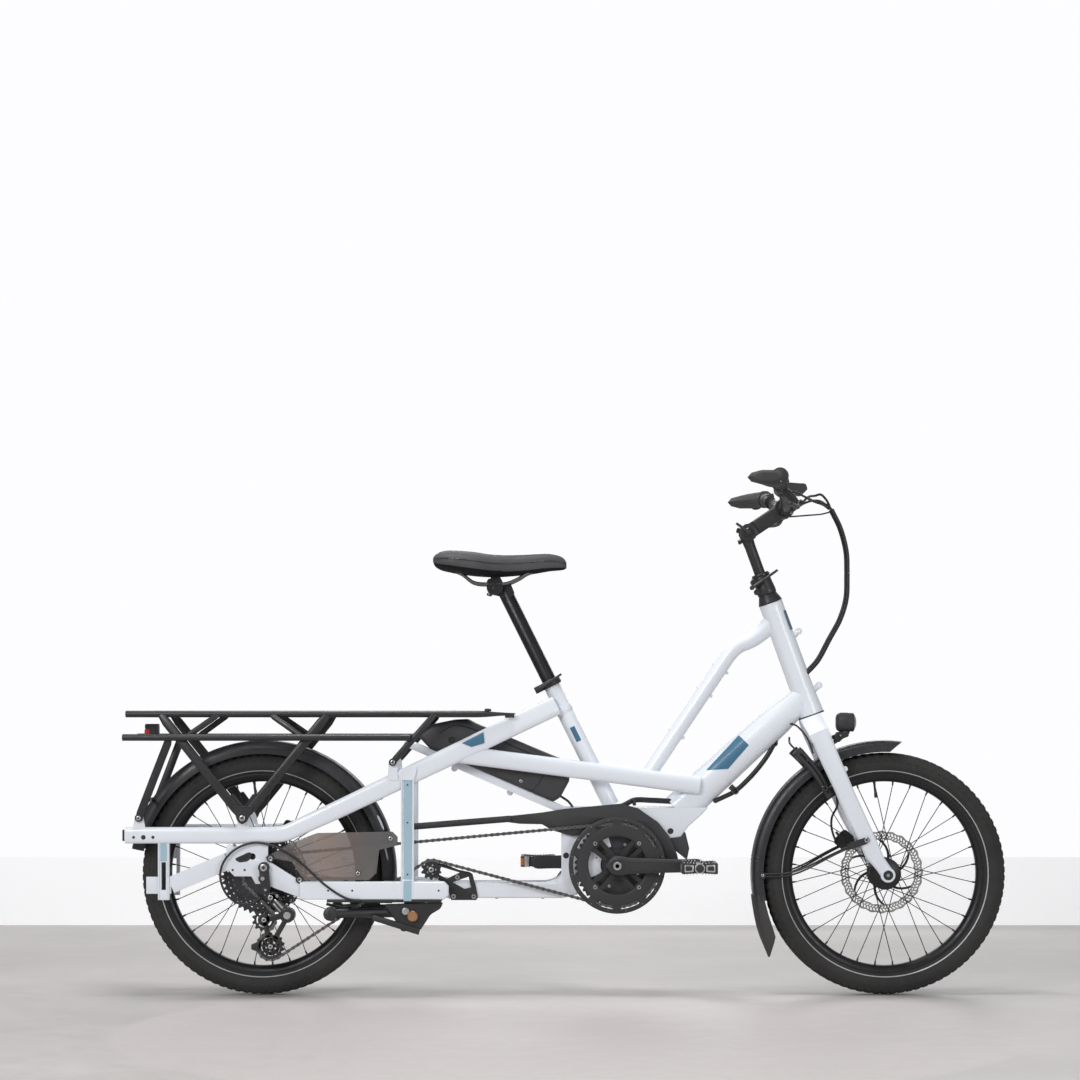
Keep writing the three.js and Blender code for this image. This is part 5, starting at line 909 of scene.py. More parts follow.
def pedal(name, side, body, node):
    """A platform pedal: a barrel, caged rails, toothed side plates and four reflectors."""
    x, z = CRANK[0] - side * CRANK_LENGTH, CRANK[1]
    inner, outer = side * 84.2, side * 176

    def tapered(end, x0, half0, x1, half1, soft):
        return rounded([(x + end * x0, z - half0), (x + end * x1, z - half1), (x + end * x1, z + half1),
            (x + end * x0, z + half0)], soft)
    build = Build()
    build.boss((x, z), inner, outer - side * 8, [(0, 7.4), (3, 9.6), (14, 10.4), (40, 8.2), (66, 9), (80, 9.8),
        (83.8, 8)], 32)
    for end in (-1, 1):
        rail = [(x + end * u, z + v) for u, v in ((30, -11.5), (36.6, -11.5), (37.6, -9.5), (37.6, 9.5),
            (36.6, 11.5), (30, 11.5), (28.6, 8), (28.6, -8))]
        build.plate(rail, inner + side * 1, outer - side * 1)
        for depth in (inner + side * 4, outer - side * 7):
            build.plate(tapered(end, 0, 9.6, 33, 11.8, 3), depth - 2.6, depth + 2.6)
            for t in range(5):
                at = x + end * (6 + 6.5 * t)
                for rise in (-1, 1):
                    build.rod((at, depth, z + rise * 9), (at, depth, z + rise * 13), 1.5, 8, 1, end=0.7)
        glow = 3 if end * side < 0 else 2
        build.plate(tapered(end, 30, 8, 37.4, 8, 2), *sorted((inner - side * 0.1, inner + side * 3)), glow)
        build.plate(tapered(end, 19, 10.4, 29, 11.4, 3), *sorted((inner, inner + side * 3)), 1)
        build.block((x + end * 37.2, (inner + outer) / 2, z), (1.2, 46, 15), slot=glow)
        build.plate(tapered(end, 13, 7, 32, 8, 2.5), *sorted((outer - side * 4.6, outer - side * 0.6)), 1)
        build.plate(tapered(end, 16, 4.2, 29.5, 5, 2), *sorted((outer - side * 0.9, outer - side * 0.2)))
    build.boss((x, z), outer - side * 10, outer, [(0, 9), (6, 9.4), (9, 8.6), (9.8, 6.4), (9.8, 0.1)], 28)
    build.boss((x, z), outer - side * 4, outer, [(0, 10.8), (3.2, 10.8), (3.6, 10.2), (3.6, 8.6), (2.6, 8.4)], 28, 1)
    build.piece(name, [black_plastic, pedal_silver, clear_reflector, orange], body, replaces=node, sharp=30,
        bevel=0.4)


pedal_silver = brushed("pedal_silver", (0.62, 0.61, 0.6), 0.3)
pedal("right_pedal_form", -1, "pedal_right", "right_pedal")
pedal("left_pedal_form", 1, "pedal_left", "left_pedal")

# Derailleur: the shifting arms and knuckles, the cage and its jockey wheels
build = Build()


def knob(build, place, y0, y1, radius, slot=0, edge=1.2, sides=36):
    """A short boss along Y with eased rims."""
    sign = 1 if y1 > y0 else -1
    span = abs(y1 - y0)
    build.boss(place, y0, y0 + sign * 10, [(0, radius - edge), (edge, radius), (span - edge, radius),
        (span, radius - edge)], sides, slot)


knob(build, SHIFTER, -78.8, -95, 9.4)
knob(build, KNUCKLE, -60, -95.4, 15.6)
build.ring(KNUCKLE, [(9, -95), (13.6, -95), (14.6, -94), (14.6, -95.9), (13, -96), (9, -96)], 48, 1)
knob(build, KNUCKLE, -92, -95.9, 8.6, 2)
bolt(build, at_y(SHIFTER, -95), -1, 5.4, 0.9, 2, 1)
for width, y0, y1, drop in ((13, -90, -95, 4), (11, -79, -84, -5)):
    a = (SHIFTER[0] + drop * 0.4, SHIFTER[1] + drop)
    b = (KNUCKLE[0] + drop * 0.6, KNUCKLE[1] + drop)
    build.plate(rounded(band(a, b, width), 4), y0, y1)
    build.plate(rounded(band(part_way(a, b, 0.2), part_way(a, b, 0.7), width * 0.34), 2),
        *sorted((y0 - 0.01, y1 - 0.6)), 2)
build.rod((-631, -79.5, 206), (-600, -79.5, 184), 3.4, 14, 2)
build.rod((-622, -84.6, 221), (-604, -84.6, 208), 2.6, 12, 1)
for k in range(7):
    t = k / 6
    build.ring((-618 + 14 * t, 207 - 10 * t), [(4.2, -87), (5, -87), (5, -88), (4.2, -88)], 12, 2)
build.plate(rounded([(-634, 222), (-618, 226), (-604, 214), (-607, 206), (-622, 212)], 3), -85, -95, 1)
bolt(build, (-613, -95, 217), -1, 3, 0.9, 2, 1)
build.piece("derailleur_form", [satin_black, gloss_black, steel], "derailleur", replaces="derailleur_body", sharp=30,
    bevel=0.5)

build = Build()
for y0, y1, outside in ((-57.5, -59.5, True), (-46.8, -48.8, False)):
    y0, y1 = sorted((y0, y1))
    annulus(build, LOWER_JOCKEY, 25.5 if outside else 19, 20.5 if outside else 12, y0, y1, 0, 64)
    for a in around(5):
        a += 0.3
        build.plate(band(polar(LOWER_JOCKEY, 5, a), polar(LOWER_JOCKEY, 21.5, a + 0.2), 4), y0, y1)
    annulus(build, LOWER_JOCKEY, 8, 3.4, y0, y1, 0, 32)
    annulus(build, UPPER_JOCKEY, 13, 3.4, y0, y1, 0, 40)
    start = KNUCKLE if outside else UPPER_JOCKEY
    for a, b, wide in ((start, LOWER_JOCKEY, 11), (UPPER_JOCKEY, LOWER_JOCKEY, 9)) + (((KNUCKLE, UPPER_JOCKEY, 13),)
            if outside else ()):
        length = dist(a, b)
        keep = (length - (20 if b == LOWER_JOCKEY else 6)) / length
        build.plate(band(a, part_way(a, b, keep), wide), y0, y1)
    if outside:
        annulus(build, KNUCKLE, 14, 4, y0, y1, 0, 40)
        build.plate(rounded([(-656, 96), (-672, 101), (-672, 112), (-662, 116), (-650, 124), (-652, 108)], 3), y0, y1)
for place in (UPPER_JOCKEY, LOWER_JOCKEY):
    build.pin(place, -46.8, -59.6, 3.5, 20, 1)
    bolt(build, at_y(place, -59.3), -1, 5.2, 1.6, 1, 0)
build.piece("derailleur_cage_form", [satin_black, steel], "cage", replaces="derailleur_cage", sharp=30, bevel=0.3)

for name, place, teeth, body, node in (("upper_jockey_form", UPPER_JOCKEY, 12, "guide_wheel", "upper_jockey_wheel"),
        ("lower_jockey_form", LOWER_JOCKEY, 14, "tension_wheel", "lower_jockey_wheel")):
    build = Build()
    reach = pitch_radius(teeth)
    cog(build, place, teeth, -53, -51, reach - 8, 0, 0.9)
    annulus(build, place, 8.2, 4.2, -57.0, -47.2, 0, 32)
    for a in around(5):
        build.plate(band(polar(place, 7, a), polar(place, reach - 7, a), 4.6), -52.9, -51.1)
    build.piece(name, [black_plastic], body, replaces=node, sharp=30)

# Idler: toothed wheel and windowed bracket with four bolts
build = Build()
cog(build, IDLER, 10, -53, -51, 12, 0, 0.95)
annulus(build, IDLER, 14, 4.3, -57.6, -42.9, 1, 48)
for a in around(5):
    knob(build, polar(IDLER, 9.4, a), -57.2, -58.4, 1.9, 2, 0.4, 12)
build.piece("idler_wheel_form", [black_plastic, satin_black, steel], "idler", replaces="idler_sprocket", sharp=30)
dressed("idler_bracket", [satin_black], "frame", 0.9)
build = Build()
for share in ((0.1, -0.17), (0.47, -0.58), (0.9, -0.58), (0.55, -0.17)):
    bolt(build, (IDLER[0] + share[0] * 100, -42.2, IDLER[1] + share[1] * 100), -1, 5.2, 3.6, 0, 1)
knob(build, IDLER, -59.5, -62.3, 7.8, 1)
bolt(build, at_y(IDLER, -61.4), -1, 5.4, 1.4, 0, 1)
build.piece("idler_bolts", [steel, satin_black], sharp=30)

# Chain guard and motor
dressed("chain_guard", [black_plastic], "frame", 2.2)
dressed("drive_motor", [motor_grey], "frame", 1.2)
build = Build()
for x, z in ((188, 372), (214, 330), (190, 230), (60, 226), (38, 330)):
    bolt(build, (x, -33.6, z), -1, 4.4, 2.2, 0, 1)
    bolt(build, (x, 43.6, z), 1, 4.4, 2.2, 0, 1)
build.ring(CRANK, [(20, -33.6), (30, -33.6), (34, -35.4), (33, -37), (21, -37)], 64, 1)
build.ring(CRANK, [(18, 43.8), (46, 43.8), (50, 46), (47, 49), (19, 50)], 64, 1)
build.piece("motor_covers", [steel, motor_grey], sharp=30)


# Frame ---------------------------------------------------------------------
def steer3(up, ahead=0.0):
    """The point of on_steer in space, in the middle plane."""
    return at_y(on_steer(up, ahead), 0.0)


def seat3(up):
    """The point of on_seat in space, in the middle plane."""
    return at_y(on_seat(up), 0.0)


def bent(stations, reach, steps=7):
    """Stations whose inner corners are turned into even bends of a given reach."""
    out = [stations[0]]
    for i in range(1, len(stations) - 1):
        p, a, b = (np.array(stations[j], float) for j in (i, i - 1, i + 1))
        da, db = np.linalg.norm((a - p)[:3]), np.linalg.norm((b - p)[:3])
        start, end = p + (a - p) * min(0.48, reach / da), p + (b - p) * min(0.48, reach / db)
        for k in range(steps + 1):
            t = k / steps
            out.append(tuple(start * (1 - t) ** 2 + p * 2 * t * (1 - t) + end * t ** 2))
    out.append(stations[-1])
    return out


def between(a, b, share, y, deep, high):
    """A station of an oval tube, a share of the way from a to b."""
    return (*at_y(part_way(a, b, share), y), deep, high)


def grid_faces(rows, columns):
    """Faces over an open grid of points, row by row."""
    return [(i * columns + j, (i + 1) * columns + j, (i + 1) * columns + j + 1, i * columns + j + 1)
        for i in range(rows - 1) for j in range(columns - 1)]


def recolour(piece, index, test):
    """Gives a material number to each face whose centre, in millimetres, passes the test."""
    for face in piece.data.polygons:
        if test(*(c / MM for c in face.center)):
            face.material_index = index


def decal(name, corners, a, b, across, high, side, mat, power=2.0, body="frame", lift=0.35):
    """A thin patch laid over an oval tube: four corners in XZ, and the tube's axis and half sizes there."""
    along = Vector((b[0] - a[0], b[1] - a[1])).normalized()
    build, verts, count = Build(), [], 20
    for i in range(count + 1):
        for j in range(count + 1):
            u, v = i / count, j / count
            x, z = part_way(part_way(corners[0], corners[1], u), part_way(corners[3], corners[2], u), v)
            off = (x - a[0]) * -along.y + (z - a[1]) * along.x
            share = min(0.99, abs(off) / (high + lift))
            y = (a[2] if len(a) > 2 else 0) + side * (across + lift) * (1 - share ** power) ** (1 / power)
            verts.append((x, y, z))
    build.add(verts, grid_faces(count + 1, count + 1))
    build.piece(name, [mat], body, sharp=60)


def photo_point(px, py, y=0.0):
    """XZ of a place seen in the picture plane at a given side distance."""
    k = PIXEL * (1 + y / CAMERA_AWAY)
    return ((px - PHOTO_AXIS[0]) * k + CAMERA_XZ[0], CAMERA_XZ[1] - (py - PHOTO_AXIS[1]) * k)


def traced(points, y=None):
    """Points in space from (px, py, y) in the picture, or from (px, py) with one y for all."""
    return [at_y(photo_point(*p[:2]), p[2] if y is None else y) for p in points]


# Head tube with its cups and cable lugs
build = Build()
build.turn(steer3(HEAD_FOOT), steer3(HEAD_TOP), [(0.2, 24.4), (0.2, 26.6), (1.4, 27.6), (16, 27.2), (30, 26.2),
    (70, 25.2), (222, 24.8), (238, 25.2), (253.5, 25.6), (255.8, 25), (255.8, 19.4)], 72)
for up, ahead in ((546, 27), (422, 28)):
    foot, tip = steer3(up, ahead - 6), steer3(up + 5, ahead + 9)
    build.rod(foot, tip, 7.5, 20, end=5.5)
    build.ring((tip[0], tip[2]), [(3.2, -4.5), (6.8, -4.5), (7.4, -3.5), (7.4, 3.5), (6.8, 4.5), (3.2, 4.5)], 32)
build.piece("head_tube_form", [paint], replaces="head_tube", sharp=30)
front_patch = Build()
verts = []
for i in range(11):
    for j in range(9):
        turn = radians(-38 + 8.5 * j)
        up = 560 + 4.4 * i
        if i > 7 and j > 5:
            up = 560 + 4.4 * 7
        base = steer3(up, 25.4 * cos(turn))
        verts.append((base[0], 25.4 * sin(turn) - 4, base[2]))
front_patch.add(verts, grid_faces(11, 9))
front_patch.piece("head_tube_patch", [blue_paint], sharp=60)

# Down tube: a deep oval that swells towards the motor
DOWN_NECK, DOWN_MID, DOWN_FOOT = on_steer(411, -14), (391.0, 535.0), (240.0, 396.0)
stations = [between(DOWN_NECK, DOWN_MID, share, 0, across, high) for share, across, high in
    ((-0.1, 24.4, 26.8), (0, 25, 27.4), (0.3, 28, 31.8), (0.5, 29.6, 34.2), (1, 30, 34.6))]
stations += [between(DOWN_MID, DOWN_FOOT, 0.5, 0, 30, 36), (DOWN_FOOT[0] - 2, 0, DOWN_FOOT[1] - 2, 30, 37)]
build = Build()
build.oval(bent(stations, 24), 64, 2.25)
build.piece("down_tube_form", [paint], replaces="down_tube", sharp=40)
corners = [photo_point(*p, -30) for p in ((706.5, 770), (739, 735.3), (748.8, 745), (728.2, 768.9))]
for word, side in SIDES:
    decal(f"down_tube_patch_{word}", corners, DOWN_FOOT, DOWN_MID, 30.2, 36, side, blue_paint, 2.25)

# Step tube: thick at the head tube, one even bend at the knee, a bridge at its foot
head_end = on_steer(594, 0)
build = Build()
build.oval(bent([(head_end[0], 0, head_end[1], 16, 21), (402, 0, 761.5, 16, 17), (360, 0, 747, 16, 16),
    (170, 0, 464, 16, 16)], 34, 9), 48)
BRIDGE_HALF = 31.5
build.pin((170, 464), -BRIDGE_HALF, BRIDGE_HALF, 11.2, 32)
for x, z in ((330, 700), (296, 650), (236, 560)):
    for rise in (-1, 1):
        nx, nz = 0.83 * rise, -0.558 * rise
        build.turn((x + nx * 14, 0, z + nz * 14), (x + nx * 21, 0, z + nz * 21),
            [(0, 4), (3, 4), (3.6, 3.2), (5.4, 3.0), (5.8, 2.2)], 16)
build.piece("step_tube_form", [paint], replaces="step_tube", sharp=40)

# Seat tube, the swelling where the stays meet it, and its patches
build = Build()
build.turn(seat3(0), seat3(-304), [(0.2, 15.9), (0.2, 17.2), (1, 17.5), (300, 17.5)], 56)
build.turn(seat3(-62), seat3(-80), [(0, 17.4), (4, 18.6), (9, 19), (14, 18.6), (18, 17.4)], 48)
build.piece("seat_tube_form", [paint], replaces="seat_tube", sharp=40)
top, foot = on_seat(-118), on_seat(-140)
for word, side in SIDES:
    across = [on_seat(-112, -6), on_seat(-112, 5), on_seat(-146, 5), on_seat(-146, -6)]
    decal(f"seat_tube_patch_{word}", across, foot, top, 17.5, 17.5, side, blue_paint)

# Main stays with the mid tubes that run forward from them
STAY_ASIDE, STAY_LEVEL = 76, 345
STAY_BEND, STAY_HEAD = (-485, 400), (-24, 620)
STAY_SLOPE = (STAY_HEAD[1] - STAY_BEND[1]) / (STAY_HEAD[0] - STAY_BEND[0])
STRUT_TAIL, STRUT_MIDDLE, STRUT_FRONT = (-906.5, 382), (-686.7, 382), (-369, 500)


def stay_height(x):
    """Height of the main stay's middle at x."""
    return STAY_LEVEL if x < -600 else STAY_BEND[1] + (x - STAY_BEND[0]) * STAY_SLOPE


for word, side in SIDES:
    build = Build()
    straight = side * STAY_ASIDE
    stay = bent([(-937, straight, STAY_LEVEL, 10, 17.5), (-650, straight, STAY_LEVEL, 10, 17.5),
        (-600, straight, 347.5, 10, 17.5), (*at_y(STAY_BEND, straight), 10, 19),
        (-170, side * 64, stay_height(-170), 10, 21), (*at_y(STAY_HEAD, side * 24), 10, 21)], 16, 8)
    build.oval(stay, 44, 3.0)
    mid = [(-238, side * 62, 517.9, 12, 19), (-180, side * 58.7, 510.3, 12, 19), (160, side * 39.1, 465.3, 12, 19),
        (283, side * 31, 449, 12, 19)]
    build.oval(mid, 44, 2.6)
    for x, z in (STRUT_TAIL, STRUT_MIDDLE, STRUT_FRONT):
        low = stay_height(x) + 6
        foot = 11 if x > -400 else 15
        build.slab(rounded([(x - foot, low), (x + foot, low), (x + 9, z), (x + 5, z + 7.6), (x - 5, z + 7.6),
            (x - 9, z)], 4), side, 77.7, 83.7)
        build.oval([(x - 17, side * 78, low + 1, 3.4, 2.6), (x, side * 78, low + 1.6, 3.8, 3),
            (x + 17, side * 78, low + 1, 3.4, 2.6)], 12)
    build.slab(rounded([(-942, 333), (-936.6, 333), (-936.6, 357), (-942, 357)], 2), side, 69, 83, 1)
    for x, r in ((-917.6, 3), (-897, 5), (-876.6, 3.4)):
        build.pin((x, 341), side * 85.6, side * 86.25, r, 24, 1)
        build.flange((x, 341), side, [(r, 85.6), (r + 1.1, 85.6), (r + 1.1, 86.4), (r, 86.4)], 28)
    build.piece(f"{word}_main_stay_form", [paint, satin_black], replaces=f"{word}_main_stay", sharp=35)
    corners = [photo_point(*p, -68) for p in ((461.8, 743), (483.5, 732), (484.6, 743), (471.6, 747))]
    axis_a, axis_b = (-224, 524.6, side * 66), (-160, 555, side * 62)
    decal(f"{word}_stay_patch", corners, axis_a, axis_b, 10.1, 22, side, blue_paint, 3.0)

# Rear triangles: dressed plates, the strut's channel in painted bluish shade, holes, bolts and the black hanger
for word, side in SIDES:
    plates = dressed(f"{word}_rear_triangle", [paint, satin_black], "frame", 1.3)
    if side < 0:
        recolour(plates, 1, lambda x, y, z: y < -78.2 and -657 < x < -624 and 215 < z < 292)
    build = Build()
    face = 81.1
    outer = sorted((side * face, side * 82.2))
    # The strut's outer face in painted bluish shade over the white paint
    build.plate([(-346.5, 252), (-329.5, 252), (-329.5, 474), (-346.5, 474)], *outer, 1)
    build.slab([(-346.5, 206), (-329.5, 206), (-329.5, 248.5), (-346.5, 248.5)], side, 84.0, 84.7, 1)
    for x in (-350.2, -325.8):
        build.oval([(x, side * 83, 210, 2.2, 1.7), (x, side * 83, 478, 2.2, 1.7)], 16, 3)
    build.slab(rounded([(-352, 462), (-324, 462), (-318, 486), (-330, 492), (-346, 486), (-356, 474)], 5), side, 80,
        84.6)
    for z in (262, 372, 452):
        build.pin((-338, z), side * 82, side * 82.8, 1.8, 14, 2)
    for x in (-506, -455, -272):
        build.pin((x, 228), side * 84, side * 84.4, 2.1, 16, 2)
    # The rear strut's small plate, in the same painted bluish shade
    build.slab([(-861.5, 290), (-848.5, 290), (-848.5, 329), (-861.5, 329)], side, 81, 81.9, 1)
    for x in (-865.2, -844.8):
        build.oval([(x, side * 81.6, 210, 2.2, 1.7), (x, side * 81.6, 330, 2.2, 1.7)], 14, 3)
    for px, py in ((232.7, 870), (244.6, 870)):
        x, z = photo_point(px, py, -78)
        build.pin((x, z), side * 77.8, side * 78.5, 2.4, 16, 2)
    x, z = photo_point(234.5, 845, -78)
    bolt(build, (x, side * 78, z), side, 3.4, 2.0, 3, 2)
    window = [(-703, 292), (-694, 287), (-676, 290), (-668, 300), (-669, 308), (-676, 309), (-690, 302), (-702, 297)]
    build.slab(rounded(window, 4), side, 77.9, 78.35, 2)
    build.slab(rounded([(-697, 294), (-690, 291.5), (-679, 295), (-674, 302), (-679, 303), (-690, 298)], 3), side,
        78.2, 78.7, 4)
    if side < 0:
        bolt(build, (-642, -91, 277), -1, 7.4, 1.6, 3, 2)
        bolt(build, (-644, -91, 254), -1, 9.2, 1.8, 2, 3)
        bolt(build, (-638, -91, 230), -1, 5.4, 1.2, 2, 3)
    else:
        bolt(build, (-652, 78, 260), 1, 11, 4.2, 2, 3)
    build.piece(f"{word}_triangle_trim", [paint, strut_blue_shade, satin_black, steel, gloss_black])

# The shell that holds the motor, the lower beam and the battery cradle
CRADLE_AT, CRADLE_COS, CRADLE_SIN = (-348, 542), 0.9186, 0.3952


def on_cradle(along, above):
    """A place in XZ: along the battery cradle from its rear end and above it."""
    return (CRADLE_AT[0] + CRADLE_COS * along + CRADLE_SIN * above,
        CRADLE_AT[1] - CRADLE_SIN * along + CRADLE_COS * above)


dressed("motor_cradle", [paint, satin_black], "frame", 2.0)
build = Build()
for x, z in ((221, 352), (-2, 300)):
    build.boss((x, z), -38.2, -30, [(0, 6.4), (1.4, 6.2), (6, 5.4)], 24, 1)
for x in (-250, -150, -52):
    build.turn((x, -30, 207.6), (x, -30, 214), [(0, 3), (1, 4), (5, 4)], 14, 1)
for along in (120, 250):
    bx, bz = on_cradle(along, -9)
    build.turn((bx, 0, bz), (bx - 3.2, 0, bz - 7.4), [(0, 7), (4, 6.4), (6, 4.4), (7.8, 4)], 18)
build.plate([(-62, 240), (-48, 242.6), (-34, 246), (-22, 251), (-10, 262), (-2, 276), (-2, 240)], -30, 30)
for start, sweep, inner, outer in ((152, 54, 35, 61), (107, 19, 41, 61)):
    build.ring(CRANK, [(inner, -40), (outer, -40), (outer, -42.6), (inner, -42.6)], 14, 0, start, sweep)
build.piece("cradle_trim", [paint, satin_black])

# Battery: a soft-cornered pack, its raised rear cover, seams, a socket and bolts
dressed("battery", [charcoal], "frame", 4.5, sharp=24)
build = Build()
for side in (-1, 1):
    face = side * 35
    for radius, run in ((1.1, ((60, 44), (84, 74), (128, 84), (240, 84), (344, 84))),
            (1.3, ((292, 9), (300, 40), (300, 92)))):
        build.tube([at_y(on_cradle(*place), face) for place in run], radius, 8, 6, 1)
    build.plate(rounded([on_cradle(66, 30), on_cradle(104, 26), on_cradle(116, 50), on_cradle(92, 62),
        on_cradle(70, 50)], 8), *sorted((face - side * 2, face + side * 1.4)))
    knob(build, on_cradle(92, 44), face, face + side * 2.6, 7, 1)
    bolt(build, at_y(on_cradle(262, 22), face), side, 3.4, 1.6, 2, 1)
build.piece("battery_trim", [charcoal, gloss_black, steel])

# Harness under the down tube, its clips, and the leads at the motor and battery
build = Build()
harness = traced(((713, 801, -16), (722, 797, -12), (734.7, 790.6, -8), (748, 778.5, -7), (758.5, 766.7, -6),
    (767, 755, -6), (773.7, 743, -7), (779, 733, -8), (791, 720, -14)))
build.tube(harness, 4.4, 12, 8)
build.tube([(x + 3, y + 7, z - 2) for x, y, z in harness], 3.2, 10, 8)
for i in (2, 6):
    x, y, z = harness[i]
    build.ring((x, z), [(4.4, y - 7), (8.2, y - 7), (8.2, y + 7), (4.4, y + 7)], 20, 1)
    build.block((x - 7, y, z + 7), (12, 12, 8), 0.85, 1)
over = traced(((617, 807, -30), (624.5, 804, -26), (634, 799.5, -22), (650, 799.6, -20), (666, 800.4, -18),
    (678, 801, -14)))
build.tube(over, 5.2, 12, 8)
build.tube([(x, y + 11, z - 4) for x, y, z in over], 3, 10, 8)
lead = traced(((558, 794.5), (563, 797.5), (568, 801), (572, 806), (574.5, 812)), -12)
build.tube(lead, 2.6, 10, 8)
x, y, z = over[2]
build.block((x, -24, z - 5), (7, 16, 14), slot=1)
tail = traced(((556, 880), (561, 873), (567, 868), (575, 862)), 30)
build.tube(tail, 2.6, 10, 8)
build.piece("frame_harness", [hose_black, black_plastic], sharp=35)


# Front end -----------------------------------------------------------------
BAR_CLAMP = on_steer(809.3, 95.8)


def bar_point(back, y, up):
    """A place on the handlebar's sweep, counted from its clamp."""
    return (BAR_CLAMP[0] + back, y, BAR_CLAMP[1] + up)


def wheel_point(reach, angle, y=0.0, axle=FRONT_AXLE):
    """A place at a reach and angle from an axle, in millimetres."""
    return polar(axle, reach, radians(angle), y)


# Fork: softened crown and blades, its bosses and the dark line at the crown race
dressed("fork", [paint], "steering", 5, sharp=34)
build = Build()
build.turn(steer3(371.0), steer3(374.4), [(0, 27.6), (0, 29.0), (2.6, 28.9), (3.4, 27.9)], 60, 1)
x, z = photo_point(834, 769.6, -60)
build.boss((x, z), -64, -72.5, [(0, 7), (1.5, 6.8), (6.5, 6.2), (8.2, 5)], 24)
build.boss((x, z), -72.5, -75, [(0, 4.6), (2.2, 4.2), (2.4, 2)], 20, 2)
x, z = photo_point(845, 769, -60)
build.boss((x, z), -62, -69, [(0, 6), (5.2, 5.6), (6.8, 4.4)], 24)
for side in (-1, 1):
    ax, az = FRONT_AXLE
    build.flange((ax, az), side, [(5, 60), (14.6, 60), (15.6, 61.4), (15.6, 75.2), (14.4, 76.7), (5, 76.9)], 44)
    build.flange((ax, az), side, [(0.6, 72), (10.4, 72), (10.4, 77.9), (9.4, 78.9), (5, 78.9), (4.4, 77.0),
        (0.6, 77.0)], 36, 1)
    build.flange((ax, az), side, [(0.5, 76.8), (4.0, 76.8), (4.0, 77.7), (0.5, 77.7)], 6, 3)
build.piece("fork_trim", [paint, satin_black, rust, steel], "steering")

# Headlight: soft case, bulged lens, arm and its bolt
LAMP_HEIGHT = 584.5
lamp = Build()
lamp.oval([(x, 0, LAMP_HEIGHT, across, high) for x, across, high in ((578.5, 13, 12), (580.5, 18.5, 17),
    (584, 21, 19.6), (604, 21.8, 20.4), (612, 21.4, 20), (614.6, 20.2, 19))], 56, 3.4)
for start, end, slot, profile in ((613.8, 622, 1, [(0, 19), (2, 18.6), (4.6, 15.6), (7, 9.4), (8, 3)]),
        (612.4, 616, 2, [(0, 20.4), (2.4, 20.2), (3.6, 19.2)])):
    lamp.turn((start, 0, LAMP_HEIGHT), (end, 0, LAMP_HEIGHT), profile, 56, slot)
lamp.block((596, 0, 562.6), (22, 12, 6))
lamp.tube([(604, 0, 561), (590, 0, 557), (574, 0, 553.5), (560, 0, 546), (551, 0, 533)], 4.2, 12, 8, 2)
bolt(lamp, (597, -6, 562.6), -1, 4.2, 2.2, 3, 2)
for x in (588, 592.5, 597, 601.5):
    lamp.block((x, 0, 604.4), (1.8, 26, 1.6), slot=2)
lamp.piece("headlight_form", [black_plastic, lamp_lens, satin_black, steel], "steering", replaces="headlight", sharp=30)

# Front fender: a rounded channel with rolled edges, a seam, and its rubber flap


def arch(half, top):
    """An arch of (y, radius) from one half of it, foot to shoulder, and the radius of its top."""
    return [(-y, r) for y, r in half] + [(0, top)] + half[::-1]


def fender(build, axle, start, end, outer, skirt, half, steps, slot, lean=0.0):
    """A thin fender: a rounded channel swept about an axle, closed on itself."""
    crown = arch([(half, skirt), (half, skirt + 10), (half - 2.5, outer - 7), (half - 8, outer - 2.4),
        (half * 0.5, outer - 0.4)], outer)
    under = arch([(half - 2.2, skirt), (half - 2.2, skirt + 9), (half - 5, outer - 8.4), (half - 10, outer - 4.8),
        (half * 0.5, outer - 3)], outer - 2.6)
    ring = crown + under[::-1]
    verts = []
    for i in range(steps + 1):
        t = i / steps
        for y, r in ring:
            a = radians(start + (end - start) * t + lean * (outer - r) / (outer - skirt) * max(0.0, 1 - t / 0.1))
            verts.append(polar(axle, r, a, y))
    build.add(verts, ring_faces(steps + 1, len(ring)), slot)


fender_gloss = moulded("fender_shell", (0.022, 0.022, 0.025), 0.36, 1100, 0.2)
shield = Build()
fender(shield, FRONT_AXLE, 82.5, 192.5, 286, 261, 36, 96, 0, 5.5)
for angle in (172.5, 174.2):
    ring = [polar(FRONT_AXLE, r, radians(angle), y) for y, r in arch([(36.4, 264), (36.4, 273), (33.8, 279.6),
        (28, 284.2), (18, 286.2)], 286.7)]
    shield.tube(ring, 0.8, 6, 3, 1)
edge = [wheel_point(283.8, a, -31.6) for a in range(90, 197, 3)]
shield.tube(edge, 0.9, 6, 2)
shield.tube([(x, -y, z) for x, y, z in edge], 0.9, 6, 2)
FLAP = [  # height, back, front of the side wings, half width
    (214, 395.5, 419.5, 36.2), (196, 397.6, 424.5, 36.4), (170, 401.8, 431.5, 36),
    (146, 407, 439.5, 34.6), (126, 413.3, 446, 31.5), (112, 419, 443.5, 27.5),
    (98, 425, 439.5, 21.5), (86, 430, 436.8, 14), (80.5, 432, 435.6, 8),
]
verts, arc = [], 12
for z, back, front, half in FLAP:
    sweep = [pi * k / arc for k in range(arc + 1)]
    for t in sweep:
        verts.append((front + (back - front) * sin(t) ** 0.55, half * cos(t), z))
    for t in reversed(sweep):
        verts.append((front + (back + 2.6 - front) * sin(t) ** 0.55, max(0.4, half - 2.4) * cos(t), z))
shield.add(verts, ring_faces(len(FLAP), 2 * (arc + 1)), 2)
shield.tube([steer3(360, -6), steer3(338, -10), wheel_point(278, 116)], 7.5, 14, 6, 1)
